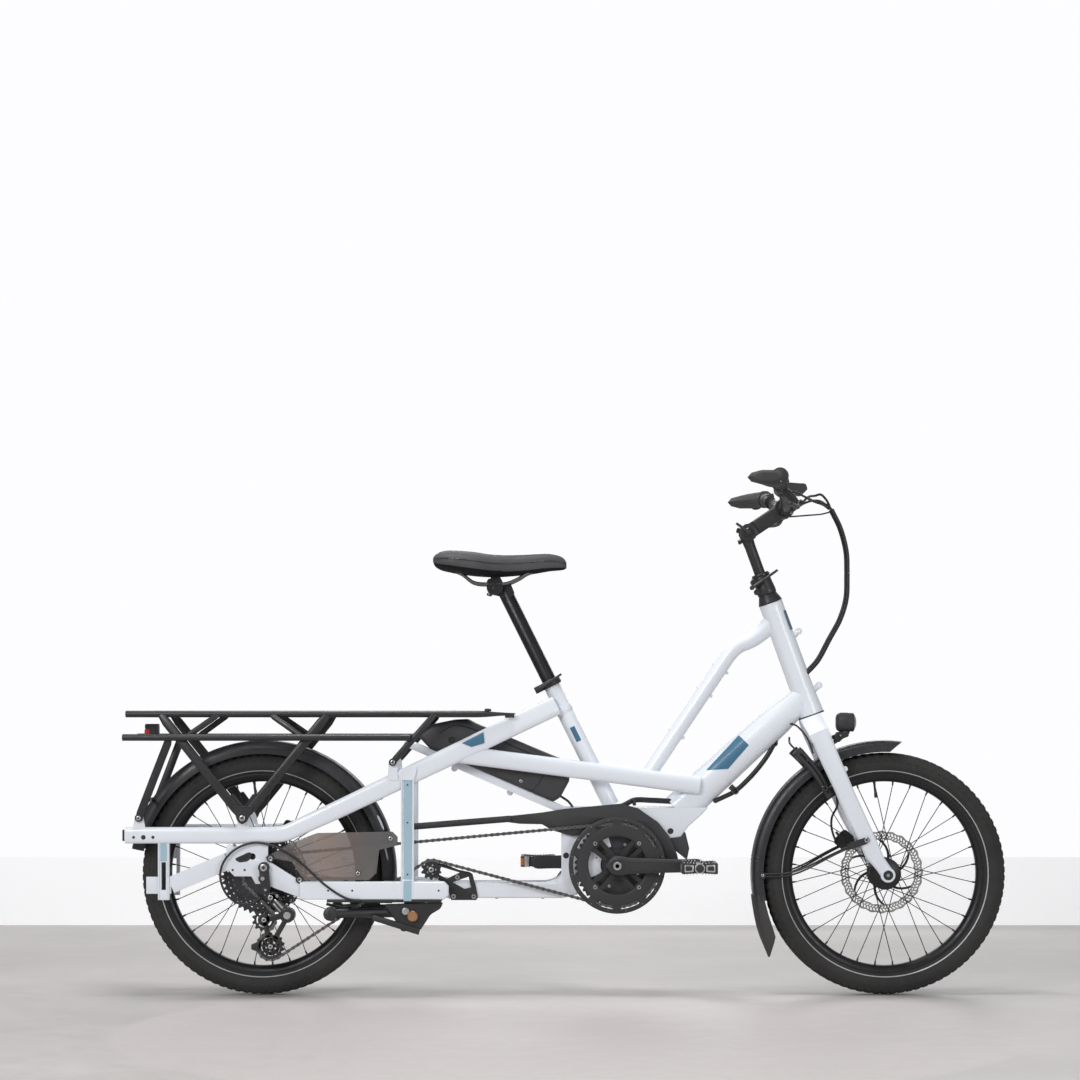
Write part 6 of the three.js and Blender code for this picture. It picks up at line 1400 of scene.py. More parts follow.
for side in (-1, 1):
    lower, upper, eye = photo_point(792.5, 873.7, -46), photo_point(837.5, 852.5, -56), photo_point(865, 840, -62)
    a, b, c = at_y(lower, side * 39), at_y(upper, side * 55), at_y(eye, side * 67)
    for lift in (-2.6, 2.6):
        shield.tube([(wheel_point(272, 176)[0] + 4, side * 37.5, a[2] - 4 + lift), (a[0], a[1], a[2] + lift),
            (b[0], b[1], b[2] + lift * 0.7), (c[0], c[1], c[2] + lift * 0.3)], 2.0, 10, 6, 1)
    shield.block((wheel_point(272, 176)[0] + 6, side * 38, a[2] - 4), (16, 3.6, 13), -0.2, 1)
    bolt(shield, (wheel_point(272, 176)[0] + 8, side * 40, a[2] - 4), side, 3.2, 1.8, 3, 1)
    bolt(shield, (c[0], side * 67.4, c[2]), side, 3.8, 2.2, 3, 1)
shield.piece("front_fender_form", [fender_gloss, satin_black, grip_rubber, steel], "steering",
    replaces="front_fender", sharp=34)

# Frame lock on the front wheel: two black bows, the bridge that carries them and the bolt slot
RING_ANGLE = 125.5
lock = Build()


def lock_point(reach, off, y):
    """A place by the lock: reach from the front axle, and off at right angles to that."""
    a = radians(RING_ANGLE)
    return (FRONT_AXLE[0] + reach * cos(a) - off * sin(a), y, FRONT_AXLE[1] + reach * sin(a) + off * cos(a))


for side in (-1, 1):
    for off, wide in ((-5.4, 4.6), (5.8, 5.6)):
        bow = []
        for k in range(9):
            s = k / 8
            reach = 326 - 122 * s
            shift = 7.5 * sin(pi * s) - 2.5
            narrow = 1 - 0.35 * s ** 4
            bow.append((*lock_point(reach, off * (1 - 0.3 * s) - shift, side * 44), 7.4 * narrow, wide * narrow))
        lock.oval(bow, 26, 2.6)
    lock.oval([(*lock_point(322, -1, side * 41), 4.4, 9), (*lock_point(268, -6, side * 42), 4.4, 9),
        (*lock_point(208, 0, side * 42), 4.0, 7)], 26, 3, 1)
    for reach in (322, 209):
        lock.oval([(*lock_point(reach + 5, 1, side * 44), 7.6, 9.5),
            (*lock_point(reach - 5, 0, side * 44), 7.6, 9.5)], 30, 3)
    bolt(lock, lock_point(296, -4.6, side * 52), side, 3.4, 1.8, 2, 0)
    lock.flange(lock_point(226, 0, 0)[::2], side, [(2, 51.4), (7.2, 51.4), (7.2, 53.2), (5.8, 54), (2, 54)], 28, 1)
lock.oval([(*lock_point(305, 0, -42), 12, 9), (*lock_point(309, 0, 0), 12, 10), (*lock_point(305, 0, 42), 12, 9)], 32,
    3)
lock.tube([lock_point(326, 2, -36), lock_point(346, 4, -26), lock_point(356, -3, -14)], 2.2, 10, 6, 2)
lead = traced(((789, 723.5, -20), (795, 725.4, -22), (800, 730, -26), (806, 738.5, -32), (809, 746, -38),
    (811, 753, -42)))
lock.tube(lead, 2.0, 10, 8, 2)
lock.piece("ring_lock_form", [black_plastic, gloss_black, hose_black, steel], "steering", replaces="ring_lock",
    sharp=30)

# Calipers: a ribbed block with bolts, a banjo and a hose


def caliper_form(name, axle, angle, side, body, hose):
    """One disc caliper wrapped round its rotor, its face turned to the side given."""
    cx, cz = polar(axle, 104, radians(angle))
    turn = radians(angle)
    inner, outer = 30.5, 54.5
    form = Build()
    mid = side * (inner + outer) / 2

    def at(u, v):
        return (cx + u * cos(turn) - v * sin(turn), cz + u * sin(turn) + v * cos(turn))
    form.slab(rounded([at(u, v) for u, v in ((-14, -13), (-9, -16.6), (12, -16.6), (15, -12), (15, 12), (12, 16.6),
        (-9, 16.6), (-14, 13))], 4), side, inner + 0.6, outer - 1)
    form.slab(rounded([at(u, v) for u, v in ((-10, -19), (16, -19), (19, -10), (19, 10), (16, 19), (-10, 19), (-7, 6),
        (-7, -6))], 4), side, inner + 5, outer - 6)
    for v in (-11, 0, 11):
        px, pz = at(3, v)
        if v:
            bolt(form, (px, side * (outer - 1), pz), side, 4.6, 2.8, 2, 1)
        else:
            form.flange((px, pz), side, [(1, outer - 1), (6.4, outer - 1), (6.4, outer + 1), (5.2, outer + 2.2),
                (1, outer + 2.2)], 32, 1)
    form.block(polar((cx, cz), 16, turn, mid), (5, 16, 22), -turn + pi, 1)
    form.tube([at_y(at(12, 14), side * 44)] + hose, 2.5, 10, 8, 3)
    form.piece(name + "_form", [anodised, satin_black, steel, hose_black], body, replaces=name)


hose = traced(((836.5, 838, 50), (834, 828, 52), (834.5, 818, 52), (840, 806, 54), (838, 790, 56), (828, 765, 52),
    (822, 752, 44)))
caliper_form("front_caliper", FRONT_AXLE, 139.3, 1, "steering", hose)
hose = [(-560, 60, 372), (-515, 62, 378), (-470, 60, 394), (-400, 60, 420)]
caliper_form("rear_caliper", REAR_AXLE, 60, 1, "frame", hose)

# Post clamp and its cone, with the cam lever's pivots
clamp = Build()
clamp.turn(steer3(648.3), steer3(696), [(0, 19), (1, 20.4), (8, 21), (16, 20.4), (22, 19.6), (30, 19.2), (46.6, 19),
    (47.7, 18.2), (47.7, 12.6)], 60)
clamp.turn(steer3(628.6), steer3(649), [(0, 25.6), (2, 25.8), (5, 25.2), (19.4, 19.6), (20, 18.4)], 60)
clamp.turn(steer3(628.4), steer3(630), [(0, 26.2), (0.6, 26.6), (1.6, 26.2)], 60, 1)
for up in (654, 690):
    clamp.turn(steer3(up), steer3(up + 2.4), [(0, 20.2), (0.4, 20.9), (2.0, 20.9), (2.4, 20.2)], 56, 1)
for up in (661, 683):
    x, z = on_steer(up, -19)
    clamp.boss((x, z), -14, 14, [(0, 5.6), (1, 6.6), (27, 6.6), (28, 5.6)], 28)
clamp.piece("post_clamp_form", [satin_black, gloss_black], "steering", replaces="post_clamp")
dressed("post_lever", [black_plastic], "post_handle", 1.6)

# Hose entry in the head tube, and the fender stay's clip on each fork blade
entry = Build()
entry.tube([(523, -8, 700), (516, -8, 692), (507, -8, 683.5), (500, -8, 678)], 5.6, 18, 8)
entry.turn((512.4, -8, 688.4), (506, -8, 682), [(0, 7.2), (1.2, 8.4), (5, 8.4), (8.6, 7)], 28, 1)
entry.piece("hose_entry", [hose_black, gloss_black])
clip = Build()
for side in (-1, 1):
    clip.slab(rounded([(592, 322), (602, 330), (638, 342), (643, 334), (636, 327), (606, 316), (594, 312)], 4), side,
        76.2, 79)
    bolt(clip, (635, side * 79, 335), side, 5.4, 3.4, 1, 0)
clip.piece("fender_stay_clips", [satin_black, steel], "steering")
lamp_arm = Build()
lamp_arm.plate(rounded([(572, 547), (579, 563.5), (605, 563.5), (605, 554), (592, 549), (584, 541)], 3), -9, 9)
lamp_arm.plate(rounded([(584, 552), (592, 549), (566, 531), (560, 537)], 2.5), -7.5, 7.5)
bolt(lamp_arm, (587, -9, 556), -1, 4.2, 2.0, 0, 1)
lamp_arm.piece("headlight_arm_form", [black_plastic, steel], "steering")

# Handlepost, stem and their lever
dressed("handlepost", [satin_black], "upright", 1.5)
post_trim = Build()
pivot = on_steer(787, 5.6)
for side in (-1, 1):
    post_trim.flange(pivot, side, [(1.2, 24.6), (8.6, 24.6), (9.4, 25.4), (9.4, 27.4), (8, 28.6), (1.2, 28.6)], 36)
    bolt(post_trim, at_y(pivot, side * 28.4), side, 5.0, 1.2, 1, 0)
for start, end, wide in (((380, 0, 994), (361.5, 0, 998), 4.2), ((383, 0, 975.5), (368.5, 0, 971), 3.8)):
    post_trim.turn(start, end, [(0, wide), (9, wide), (9.6, wide + 1.6), (15, wide + 1.6), (16, wide)], 24)
post_trim.piece("handlepost_trim", [gloss_black, gloss_black], "upright")
dressed("stem", [satin_black], "bars", 2.2, sharp=32)
dressed("stem_lever", [black_plastic], "stem_handle", 1.6)
face = Build()
for side in (-1, 1):
    for u, v in ((9, 14), (14, -10)):
        bolt(face, (BAR_CLAMP[0] + u, side * 20.8, BAR_CLAMP[1] + v), side, 3.0, 1.8, 1, 0)
face.piece("stem_bolts", [satin_black, steel], "bars")

# Handlebar: a swept tube, the brake perches with their levers' pivots, and the display on its mount
SWEEP = [(0, 0, 0), (0, 40, 0), (-8, 112, 16), (-22, 190, 34), (-30, 255, 40), (-34, 320, 41)]
whole = [bar_point(b, -y, u) for b, y, u in reversed(SWEEP[1:])] + [bar_point(b, y, u) for b, y, u in SWEEP]
bars = Build()
bars.tube(whole, 11.1, 32, 12)
bars.rod(bar_point(0, -36, 0), bar_point(0, 36, 0), 15.4, 48)
for side in (-1, 1):
    bars.turn(bar_point(0, side * 35, 0), bar_point(0, side * 41, 0), [(0, 15.4), (6, 11.3)], 40)
    perch = bar_point(-21.4, side * 186, 33.2)
    pivot_at = (478.03, side * 186, 1036.0)
    aim = Vector((-5, side * 35, 7)).normalized()
    a, b = Vector(perch) - aim * 12, Vector(perch) + aim * 12
    bars.turn(tuple(a), tuple(b), [(0, 13.4), (1.6, 14.8), (22.4, 14.8), (24, 13.4)], 40)
    arm = [(perch[0] + 4, side * 186, perch[2] - 8), (perch[0] + 20, side * 187, perch[2] - 22),
        (pivot_at[0] - 3, side * 188, pivot_at[2] + 3)]
    bars.tube(arm, 8.6, 18, 8)
    body_from, body_to = (perch[0] + 24, side * 176, perch[2] - 25), (pivot_at[0] + 6, side * 132, pivot_at[2] + 3)
    bars.turn(body_from, body_to, [(0, 5.6), (2, 8.2), (10, 9), (30, 8.4), (38, 6.6), (42, 4.4), (47, 4.2)], 28)
    hinge = Vector((0.769758, 0, 0.638336))
    for reach in (-8.4, 8.4):
        tab = Vector((pivot_at[0], side * 203.3, pivot_at[2])) + hinge * reach
        root = Vector((pivot_at[0] - 4, side * 186, pivot_at[2] + 4)) + hinge * reach * 0.5
        bars.tube([tuple(root), tuple(root * 0.45 + tab * 0.55 + Vector((0, 0, 0.4))), tuple(tab)], 3.6, 14, 5)
        bars.turn(tuple(tab - hinge * 1.8), tuple(tab + hinge * 1.8), [(0, 5.2), (0.6, 5.8), (3, 5.8), (3.6, 5.2)], 24)
    knob_at = bar_point(-15, side * 152, 26)
    bars.turn((knob_at[0] - 2, side * 144, knob_at[2]), (knob_at[0] - 7, side * 158, knob_at[2] + 2),
        [(0, 13.2), (1, 14), (13, 14), (14.4, 13.2)], 36, 3)
    bars.block((knob_at[0] - 2, side * 151, knob_at[2] + 14), (16, 12, 8), 0.3, 3)
bars.block((487, 0, 1088), (40, 62, 11), 0.12, 3)
bars.plate(rounded([(464.5, 1087), (470, 1096.4), (510, 1093.6), (513.6, 1082), (505, 1073), (478, 1075)], 3), -40,
    40, 3)
bars.plate(rounded([(469, 1095.6), (471.6, 1097.3), (507, 1094.6), (508, 1092.4)], 0.8), -34, 34, 2)
for y in (-12, 12):
    bars.tube([(483, y, 1078), (476, y, 1064), (469, y, 1054)], 5.4, 14, 6, 3)
bars.piece("handlebar_form", [satin_black, steel, display_glass, black_plastic], "bars", replaces="handlebar")

# Palm grips with a clamp ring at each end, and the brake levers
for word, side in SIDES:
    dressed(f"{word}_grip", [grip_rubber], "bars", 2.0, sharp=40)
    cuff = Build()
    for y in (207.5, 325.5):
        t = (y - 190) / 65
        b, u = (-22 - 8 * t, 34 + 6 * t) if y < 255 else (-30 - 4 * (y - 255) / 65, 40 + (y - 255) / 65)
        at = bar_point(b, side * y, u)
        cuff.turn((at[0], side * (y - 4), at[2]), (at[0] - 2, side * (y + 4), at[2]),
            [(0, 16), (0.8, 17.2), (7.2, 17.2), (8, 16)], 40)
        bolt(cuff, (at[0] + 3, side * (y + 4), at[2] - 12), side, 2.0, 0.8, 1, 0)
    cuff.piece(f"{word}_grip_cuff", [satin_black, steel], "bars")
    dressed(f"{word}_brake_lever", [satin_black], f"brake_{word}", 1.1, sharp=40)

# Control cables: hose bundles laid along their routes, attached to no body
CABLE_LOW = [(520.7, -8, 697), (538, -9, 717), (563, -10, 763), (586, -10, 806), (599, -10, 850), (601, -10, 904.3)]
CABLE_HIGH = [(601, -10, 904.6), (599, -11, 950), (586, -13, 1000), (566, -18, 1040), (548, -27, 1052),
    (520, -40, 1050)]
# Each hose of the bundle: how far across the route, how far aside, and its radius
BUNDLE = [(-3.1, 0.4, 3.0), (3.0, -0.4, 2.9), (-0.2, 5.2, 2.5), (0.3, -5.3, 1.9)]


def hoses(name, route, replaces):
    """A run of hoses that lie side by side, each the same way off the route all along it."""
    form = Build()
    line = [Vector(p) for p in route]
    for across, aside, r in BUNDLE:
        run = []
        for i, p in enumerate(line):
            along = (line[min(i + 1, len(line) - 1)] - line[max(i - 1, 0)]).normalized()
            run.append(tuple(p + Vector((along.z, 0, -along.x)) * across + Vector((0, aside, 0))))
        form.tube(run, r, 18, 14)
    return form.piece(name, [hose_black], None, replaces=replaces, sharp=70)


lower = hoses("hoses_low_form", CABLE_LOW, "cable_lower")
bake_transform(lower)
upper_a = hoses("hoses_mid_form", CABLE_HIGH[:4], "cable_upper")
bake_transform(upper_a)
high = Build()
LEADS = [[(566, -18, 1040), (555, -26, 1060), (542, -34, 1071), (530, -42, 1068), (514, -66, 1064), (498, -106, 1050),
    (485, -133, 1040)], [(563, -12.5, 1042), (549, 2, 1058), (534, 24, 1063), (516, 54, 1060), (498, 104, 1049),
    (485, 133, 1040)], [(568.6, -22.6, 1038.5), (553, -34, 1050), (531, -48, 1054), (508, -84, 1060),
    (478, -124, 1068), (458, -144, 1068)], [(561.4, -21.2, 1040), (549, -14, 1050), (532, -6, 1057), (514, -4, 1066),
    (500, -2, 1078)], [(567, -16, 1036), (546, -10, 1031), (520, -6, 1029), (494, -4, 1027), (477, -4, 1026)]]
for route, r in zip(LEADS, (2.6, 2.6, 2.4, 1.8, 1.7)):
    high.tube(route, r, 12, 10)
upper_b = high.piece("hoses_high_form", [hose_black], None, sharp=60)
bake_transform(upper_b)


# Rear rack, lamp, fender, panel, kickstand and saddle -----------------------
rack_black = moulded("rack_coat", (0.021, 0.021, 0.023), 0.34, 900, 0.25, spec=0.5)

# Rack sides: rails, flattened struts, the joining gusset, end plugs and their bolts
RAIL_RADIUS = 7.2
UPPER_RAIL, LOWER_RAIL = (80, 602), (98, 552.5)  # distance from the middle plane, and height
# Stations of a short strut: share of its length, distance from the middle plane, half deep and half high
CROSS_STRUT = ((0, 82, 3.6, 4.6), (0.12, 85, 4.6, 6.3), (0.88, 93, 4.6, 6.3), (1, 96, 3.6, 4.6))

for word, side in SIDES:
    rack = Build()
    rack.tube([(x, side * UPPER_RAIL[0], UPPER_RAIL[1]) for x in (-934, -560, -188)], RAIL_RADIUS, 28, 6, smooth=False)
    rack.oval([(-192, side * 80, 602, 7.2, 7.2), (-176, side * 79.4, 602, 7.1, 6.6), (-150, side * 73, 602, 5.6, 4.4),
        (-128, side * 66, 602, 4.4, 3.0), (-113, side * 62, 602, 3.2, 2.4)], 28, 2)
    rack.tube([(x, side * LOWER_RAIL[0], LOWER_RAIL[1]) for x in (-938, -331)], RAIL_RADIUS, 28, 1, smooth=False)
    for x, (y, z) in ((-934, UPPER_RAIL), (-938, LOWER_RAIL)):
        rack.turn((x + 1, side * y, z), (x - 2, side * y, z), [(0, 7.3), (1.4, 7.3), (2.4, 6), (3, 3)], 26, 1)
    mx, mz = STRUT_MIDDLE
    for a, b, w in (((-860, 600), (mx - 4, mz + 6), 20), ((-508, 600), (mx + 6, mz + 6), 20),
            ((-841, 552), STRUT_TAIL, 17), ((-280, 601), STRUT_FRONT, 14)):
        rack.oval([between(a, b, 0, side * (84 if a[1] > 590 else 94), 4, w * 0.34),
            between(a, b, 0.07, side * 87, 5, w * 0.5), between(a, b, 0.5, side * 89.5, 5, w * 0.5),
            between(a, b, 0.93, side * 88.4, 4.4, w * 0.5), between(a, b, 1, side * 87.6, 3.4, w * 0.42)], 30, 2.8)
    for a, b in (((-738, 601), (-806, 553)), ((-628, 601), (-559, 553))):
        rack.oval([between(a, b, share, side * y, deep, high) for share, y, deep, high in CROSS_STRUT], 26, 2.8)
    vee = [(mx + u, mz + v) for u, v in ((-10, -8), (10, -8), (12, 8), (34, 44), (22, 52), (2, 22), (-20, 52),
        (-32, 44), (-12, 8))]
    rack.slab(rounded(vee, 4), side, 84.3, 88.4)
    for x, z, r in ((*STRUT_MIDDLE, 5.4), (*STRUT_TAIL, 5.0), (*STRUT_FRONT, 4.8)):
        rack.stud((x, z), side, 83.9, 92.4, [(0, r + 3.4), (5.6, r + 3.4), (7.4, r + 2.4), (8.5, r + 2)], 28)
        bolt(rack, (x, side * 92, z), side, r, 2.6, 2, 1)
    rack.turn((-170, side * 78, 608), (-170, side * 78, 613.6), [(0, 5.4), (3.4, 5.2), (5.6, 3.6)], 20, 1)
    if side < 0:
        rack.block((-122, -66, 598), (20, 5, 8), slot=1)
    rack.piece(f"{word}_rack_side_form", [rack_black, black_plastic, steel], replaces=f"{word}_rack_side", sharp=34)

dressed("rack_deck", [rack_black], "frame", 1.6, sharp=32)
deck = Build()
for x in (-880, -700, -520, -340, -240):
    for side in (-1, 1):
        deck.stud((x, 602), side, 46, 74, [(0, 5.2), (24, 5.2), (28, 6.2)], 20)
        for y in (26, 42):
            deck.turn((x, side * y, 607.2), (x, side * y, 609.6), [(0, 3.8), (1.4, 3.8), (2.4, 2.6)], 20, 1)
deck.piece("rack_deck_bolts", [rack_black, steel])

# Gussets over the foot of each V strut, with the bolt through them
gusset = Build()
for side in (-1, 1):
    gusset.slab(rounded([(-707, 407), (-663, 407), (-676, 375), (-686.7, 368), (-697, 375)], 5), side, 93.2, 95.2)
    gusset.oval([(-706, side * 95.2, 406, 1.4, 1.4), (-664, side * 95.2, 406, 1.4, 1.4)], 12)
    bolt(gusset, at_y(STRUT_MIDDLE, side * 95), side, 6.4, 3.4, 2, 1)
gusset.piece("rack_gussets", [rack_black, black_plastic, steel])

# Rear light: a black shell with a ribbed red lens, a black back and its lead
dressed("rear_light", [black_plastic], "frame", 1.2)
lamp = Build()
lamp.plate(rounded([(-903, 557), (-896, 556.4), (-892.6, 558), (-892.6, 569.4), (-903, 570)], 2), -31, 31)
lamp.plate(rounded([(-902.4, 570.4), (-892.4, 569.8), (-892.4, 556), (-880.6, 557.4), (-880.6, 578), (-886, 581),
    (-902.4, 580.4)], 2), -31.6, 31.6, 1)
for y in range(-26, 27, 4):
    lamp.tube([(-903.0, y, 558.6), (-903.4, y, 563.6), (-903.0, y, 568.4)], 0.9, 8, 4)
lamp.tube([(-886, 22, 561), (-878, 30, 553), (-872, 46, 548), (-868, 74, 553)], 2.0, 10, 6, 2)
lamp.piece("rear_lamp_lens", [red_lens, black_plastic, hose_black])

# Rear fender with its stays, pale slits and the panel's mounts
slit_pale = painted("pale_slit", (0.6, 0.62, 0.66), 0.4, 0.3)
rear_shield = Build()
fender(rear_shield, REAR_AXLE, -3, 169, 286, 256.8, 36, 130, 0)
for side in (-1, 1):
    edge = [wheel_point(283.8, a, side * 31.6, REAR_AXLE) for a in range(0, 168, 4)]
    rear_shield.tube(edge, 0.9, 6, 2)
    rear_shield.stud((-886, 420), side, 34, 76, [(0, 4.2), (42, 4.2)], 18, 1)
    bolt(rear_shield, (-886, side * 76, 420), side, 5, 3, 2, 1)
rear_shield.tube([(-886, -36, 420), (-886, 36, 420)], 4.2, 18, 1, 1, smooth=False)
for start, end, near, far, wide in ((27, 20, 277, 277, 2.3), (18, 6.4, 267, 271, 1.9)):
    for side in (-1, 1):
        slit = []
        for k in range(9):
            t = k / 8
            x, y, z = wheel_point(near + (far - near) * t, start + (end - start) * t, side * 35.4, REAR_AXLE)
            slit.append((x, y, z, 2.0, wide * (0.35 if k in (0, 8) else 1)))
        rear_shield.oval(slit, 14, 3, 3)
rear_shield.piece("rear_fender_form", [fender_gloss, satin_black, steel, slit_pale], replaces="rear_fender", sharp=34)


def smoke(name):
    """Smoked panel: see-through brown plastic that darkens towards both ends."""
    mat, nodes, links, shader = new_material(name, (0.09, 0.078, 0.072), 0.12)
    vector = object_coords(nodes, links)
    split = nodes.new("ShaderNodeSeparateXYZ")
    links.new(vector, split.inputs[0])
    cloud = noise(nodes, links, vector, 9, 4, 0.6)
    mark = noise(nodes, links, vector, 420, 3, 0.5)
    span = nodes.new("ShaderNodeMapRange")
    links.new(split.outputs["X"], span.inputs["Value"])
    span.inputs["From Min"].default_value, span.inputs["From Max"].default_value = -0.64, -0.36
    tint = ramp(nodes, links, span.outputs["Result"], [(0.0, (0.16, 0.16, 0.165)), (0.22, (0.17, 0.15, 0.14)),
        (0.45, (0.25, 0.165, 0.13)), (0.78, (0.16, 0.15, 0.15)), (1.0, (0.13, 0.13, 0.135))])
    solid = ramp(nodes, links, span.outputs["Result"],
        [(0.0, grey(0.62)), (0.16, grey(0.66)), (0.4, grey(0.7)), (0.75, grey(0.76)), (0.95, grey(0.84))])
    share = ramp(nodes, links, cloud, [(0.3, grey(0.0)), (0.75, grey(0.22))])
    links.new(mix_color(nodes, links, share, tint, (0.12, 0.105, 0.1)), shader.inputs["Base Color"])
    links.new(solid, shader.inputs["Alpha"])
    links.new(ramp(nodes, links, mark, [(0.35, grey(0.1)), (0.7, grey(0.2))]), shader.inputs["Roughness"])
    bump(nodes, links, shader, mark, 0.04, 0.0003)
    shader.inputs["Coat Weight"].default_value = 0.4
    return mat


panel_smoke = smoke("smoked_panel")
dressed("side_panel", [panel_smoke], "frame", 0.6)
panel = Build()
for px, py in ((391.9, 838.4), (358.1, 873.3)):
    x, z = photo_point(px, py, -80)
    x = min(x, -374)  # the front bolt stays on the panel
    panel.boss((x, z), -70, -82.2, [(0, 5.2), (10.8, 5.2), (12.2, 4.6)], 24, 1)
    bolt(panel, (x, -82, z), -1, 4.6, 2.4, 0, 1)
for px, py in ((270.5, 858.4), (299.6, 879.7)):
    x, z = photo_point(px, py, -80)
    panel.ring((x, z), [(5.2, -80.9), (8.2, -80.9), (8.2, -82.6), (7.2, -83.4), (5.2, -83.0)], 32, 1)
    panel.ring((x, z), [(2.2, -80.9), (5.3, -80.9), (5.3, -83.2), (4.6, -84.0), (2.2, -83.6)], 32)
    panel.boss((x, z), -79.8, -82.0, [(0, 2.4), (2.2, 2.2)], 24, 1)
panel.piece("side_panel_bolts", [steel, black_plastic, chain_metal, panel_smoke])

# Kickstand and its bracket
dressed("kickstand_bracket", [satin_black], "frame", 1.0, sharp=32)
dressed("kickstand", [satin_black], "stand", 2.0, sharp=32)
base = Build()
for side in (-1, 1):
    x, z = photo_point(405.9, 910.9, side * 70)
    base.stud((x, z), side, 52.4, 66, [(0, 15), (1.2, 15.8), (11, 15.8), (13.6, 14)], 44)
    base.stud((x, z), side, 66, 82, [(0, 8.6), (13.8, 8.6), (15.4, 7.6), (16, 5)], 36, 1)
    mount = [photo_point(px, py, side * 74) for px, py in ((384, 904.5), (443, 902.5), (441, 908), (431, 914),
        (421, 929.5), (402, 931), (399, 925), (391, 913))]
    base.slab(rounded(mount, 5), side, 58, 75)
    pocket = [photo_point(px, py, side * 74) for px, py in ((424, 907), (437, 906), (429, 912), (422, 920))]
    base.slab(rounded(pocket, 3), side, 75, 75.7, 2)
for x in (-500, -470, -300, -280):
    for side in (-1, 1):
        base.turn((x, side * 26, 203.4), (x, side * 26, 199.6), [(0, 4.4), (2.6, 4.4), (3.8, 3.2)], 20, 1)
for px, py, wide in ((362, 901.6, 26), (384, 901.6, 18), (352, 905.4, 10)):
    x, z = photo_point(px, py, -60)
    base.plate(rounded([(x - wide, z - 3), (x + wide, z - 3), (x + wide, z + 3), (x - wide, z + 3)], 1.4), -66, -48)
base.tube([(-512, -58, 198), (-480, -52, 190), (-430, -50, 188), (-390, -50, 192), (-352, -48, 188)], 3.2, 12, 8, 2)
base.piece("kickstand_hardware", [satin_black, steel, hose_black])
stand_trim = Build()
for side in (-1, 1):
    x, z = photo_point(412.6, 916.3, side * 80)
    stand_trim.stud((x, z), side, 74, 85, [(0, 11.6), (9.4, 11.6), (11, 10.2)], 48)
    stand_trim.flange((x, z), side, [(6.4, 84.8), (8.0, 84.8), (8.0, 85.6), (6.4, 85.6)], 40)
    x, z = photo_point(329.8, 914.4, side * 84)
    stand_trim.stud((x, z), side, 88, 92.4, [(0, 13), (3.2, 13), (4.4, 11.4)], 44, 1)
    stand_trim.slab(rounded([(x - 2.4, z - 9), (x + 2.4, z - 9), (x + 2.4, z + 9), (x - 2.4, z + 9)], 2), side, 92.2,
        92.9, 2)
stand_trim.piece("kickstand_discs", [bronze, black_plastic, hose_black], "stand")

# Seat clamp, its lever, the seatpost and its rails
dressed("seat_clamp", [satin_black], "frame", 1.6, sharp=32)
dressed("seat_clamp_lever", [satin_black], "seat_lever", 1.4, sharp=32)
collar = Build()
collar.turn(seat3(-13), seat3(-4), [(0, 22.7), (0.6, 23.1), (8.4, 23.1), (9, 22.7)], 56)
collar.piece("seat_clamp_ring", [satin_black])
post = Build()
post.turn(seat3(-160), seat3(222), [(0, 14.2), (1.6, 15.5), (380, 15.5), (382, 14.4), (382, 0.1)], 52)
post.plate(rounded([(-170, 876), (-171, 868), (-163, 859), (-147, 856), (-128, 846), (-112, 860), (-120, 881),
    (-150, 881)], 5), -15.2, 15.2)
for side in (-1, 1):
    post.slab(rounded([(-172, 869), (-168, 861), (-150, 857), (-139, 863), (-136, 876), (-140, 880.4), (-168, 880.4),
        (-172, 877)], 3.5), side, 15, 26.5)
    post.slab(rounded([(-172, 882), (-138, 882), (-139, 889), (-144, 892), (-165, 892), (-171, 889)], 3), side, 14, 27)
    post.slab([(-164, 893), (-142, 893), (-146, 904), (-160, 904)], side, 4, 20)
    rail_run = [(-240, side * 24, 909), (-226, side * 22, 903), (-200, side * 22, 884), (-168, side * 22, 880.4),
        (-130, side * 22, 881.6), (-104, side * 20, 892), (-86, side * 16, 903), (-70, side * 10, 908)]
    post.tube(rail_run, 3.6, 16, 9, 1)
    bolt(post, (-155, side * 26.4, 870), side, 5.0, 1.2, 0, 2)
for x in (-166, -144):
    post.rod((x, 0, 862), (x, 0, 893), 3.2, 18, 1)
post.turn((-166, 0, 861), (-167.5, 0, 855.4), [(0, 6), (3.4, 6), (5.6, 4.2)], 24, 1)
post.piece("seatpost_form", [anodised, chain_metal, gloss_black], "seat", replaces="seatpost", sharp=34)

# Saddle: one padded skin over stations, with a centre dip; seams along its flanks, crown and rear
SADDLE = [(-286, 44, 938, 925), (-283, 53, 942.5, 919), (-271, 70, 949, 912), (-255, 79, 951.6, 908),
    (-237, 84, 951.5, 904.5), (-197, 77, 948.5, 899), (-156, 53, 943.6, 896.5), (-115, 35, 943.6, 898.5),
    (-72, 26, 945.6, 903), (-36, 21, 946, 909), (-13, 16, 940.5, 911), (-4.5, 11.5, 934, 913), (-1, 7, 927.5, 916)]
grain = moulded("saddle_cover", (0.068, 0.066, 0.07), 0.62, 700, 0.4, spec=0.35)
# Flank: the cover made a little lighter and glossier, painted light on the side-facing faces
flank_painted_light = moulded("saddle_flank_painted_light", (0.074, 0.072, 0.077), 0.55, 900, 0.3, spec=0.4)
# Underside: the dark base, made darker and duller still as painted shade under the saddle
saddle_base_painted_shade = moulded("saddle_base_painted_shade", (0.016, 0.016, 0.017), 0.85, 600, 0.3, spec=0.1)


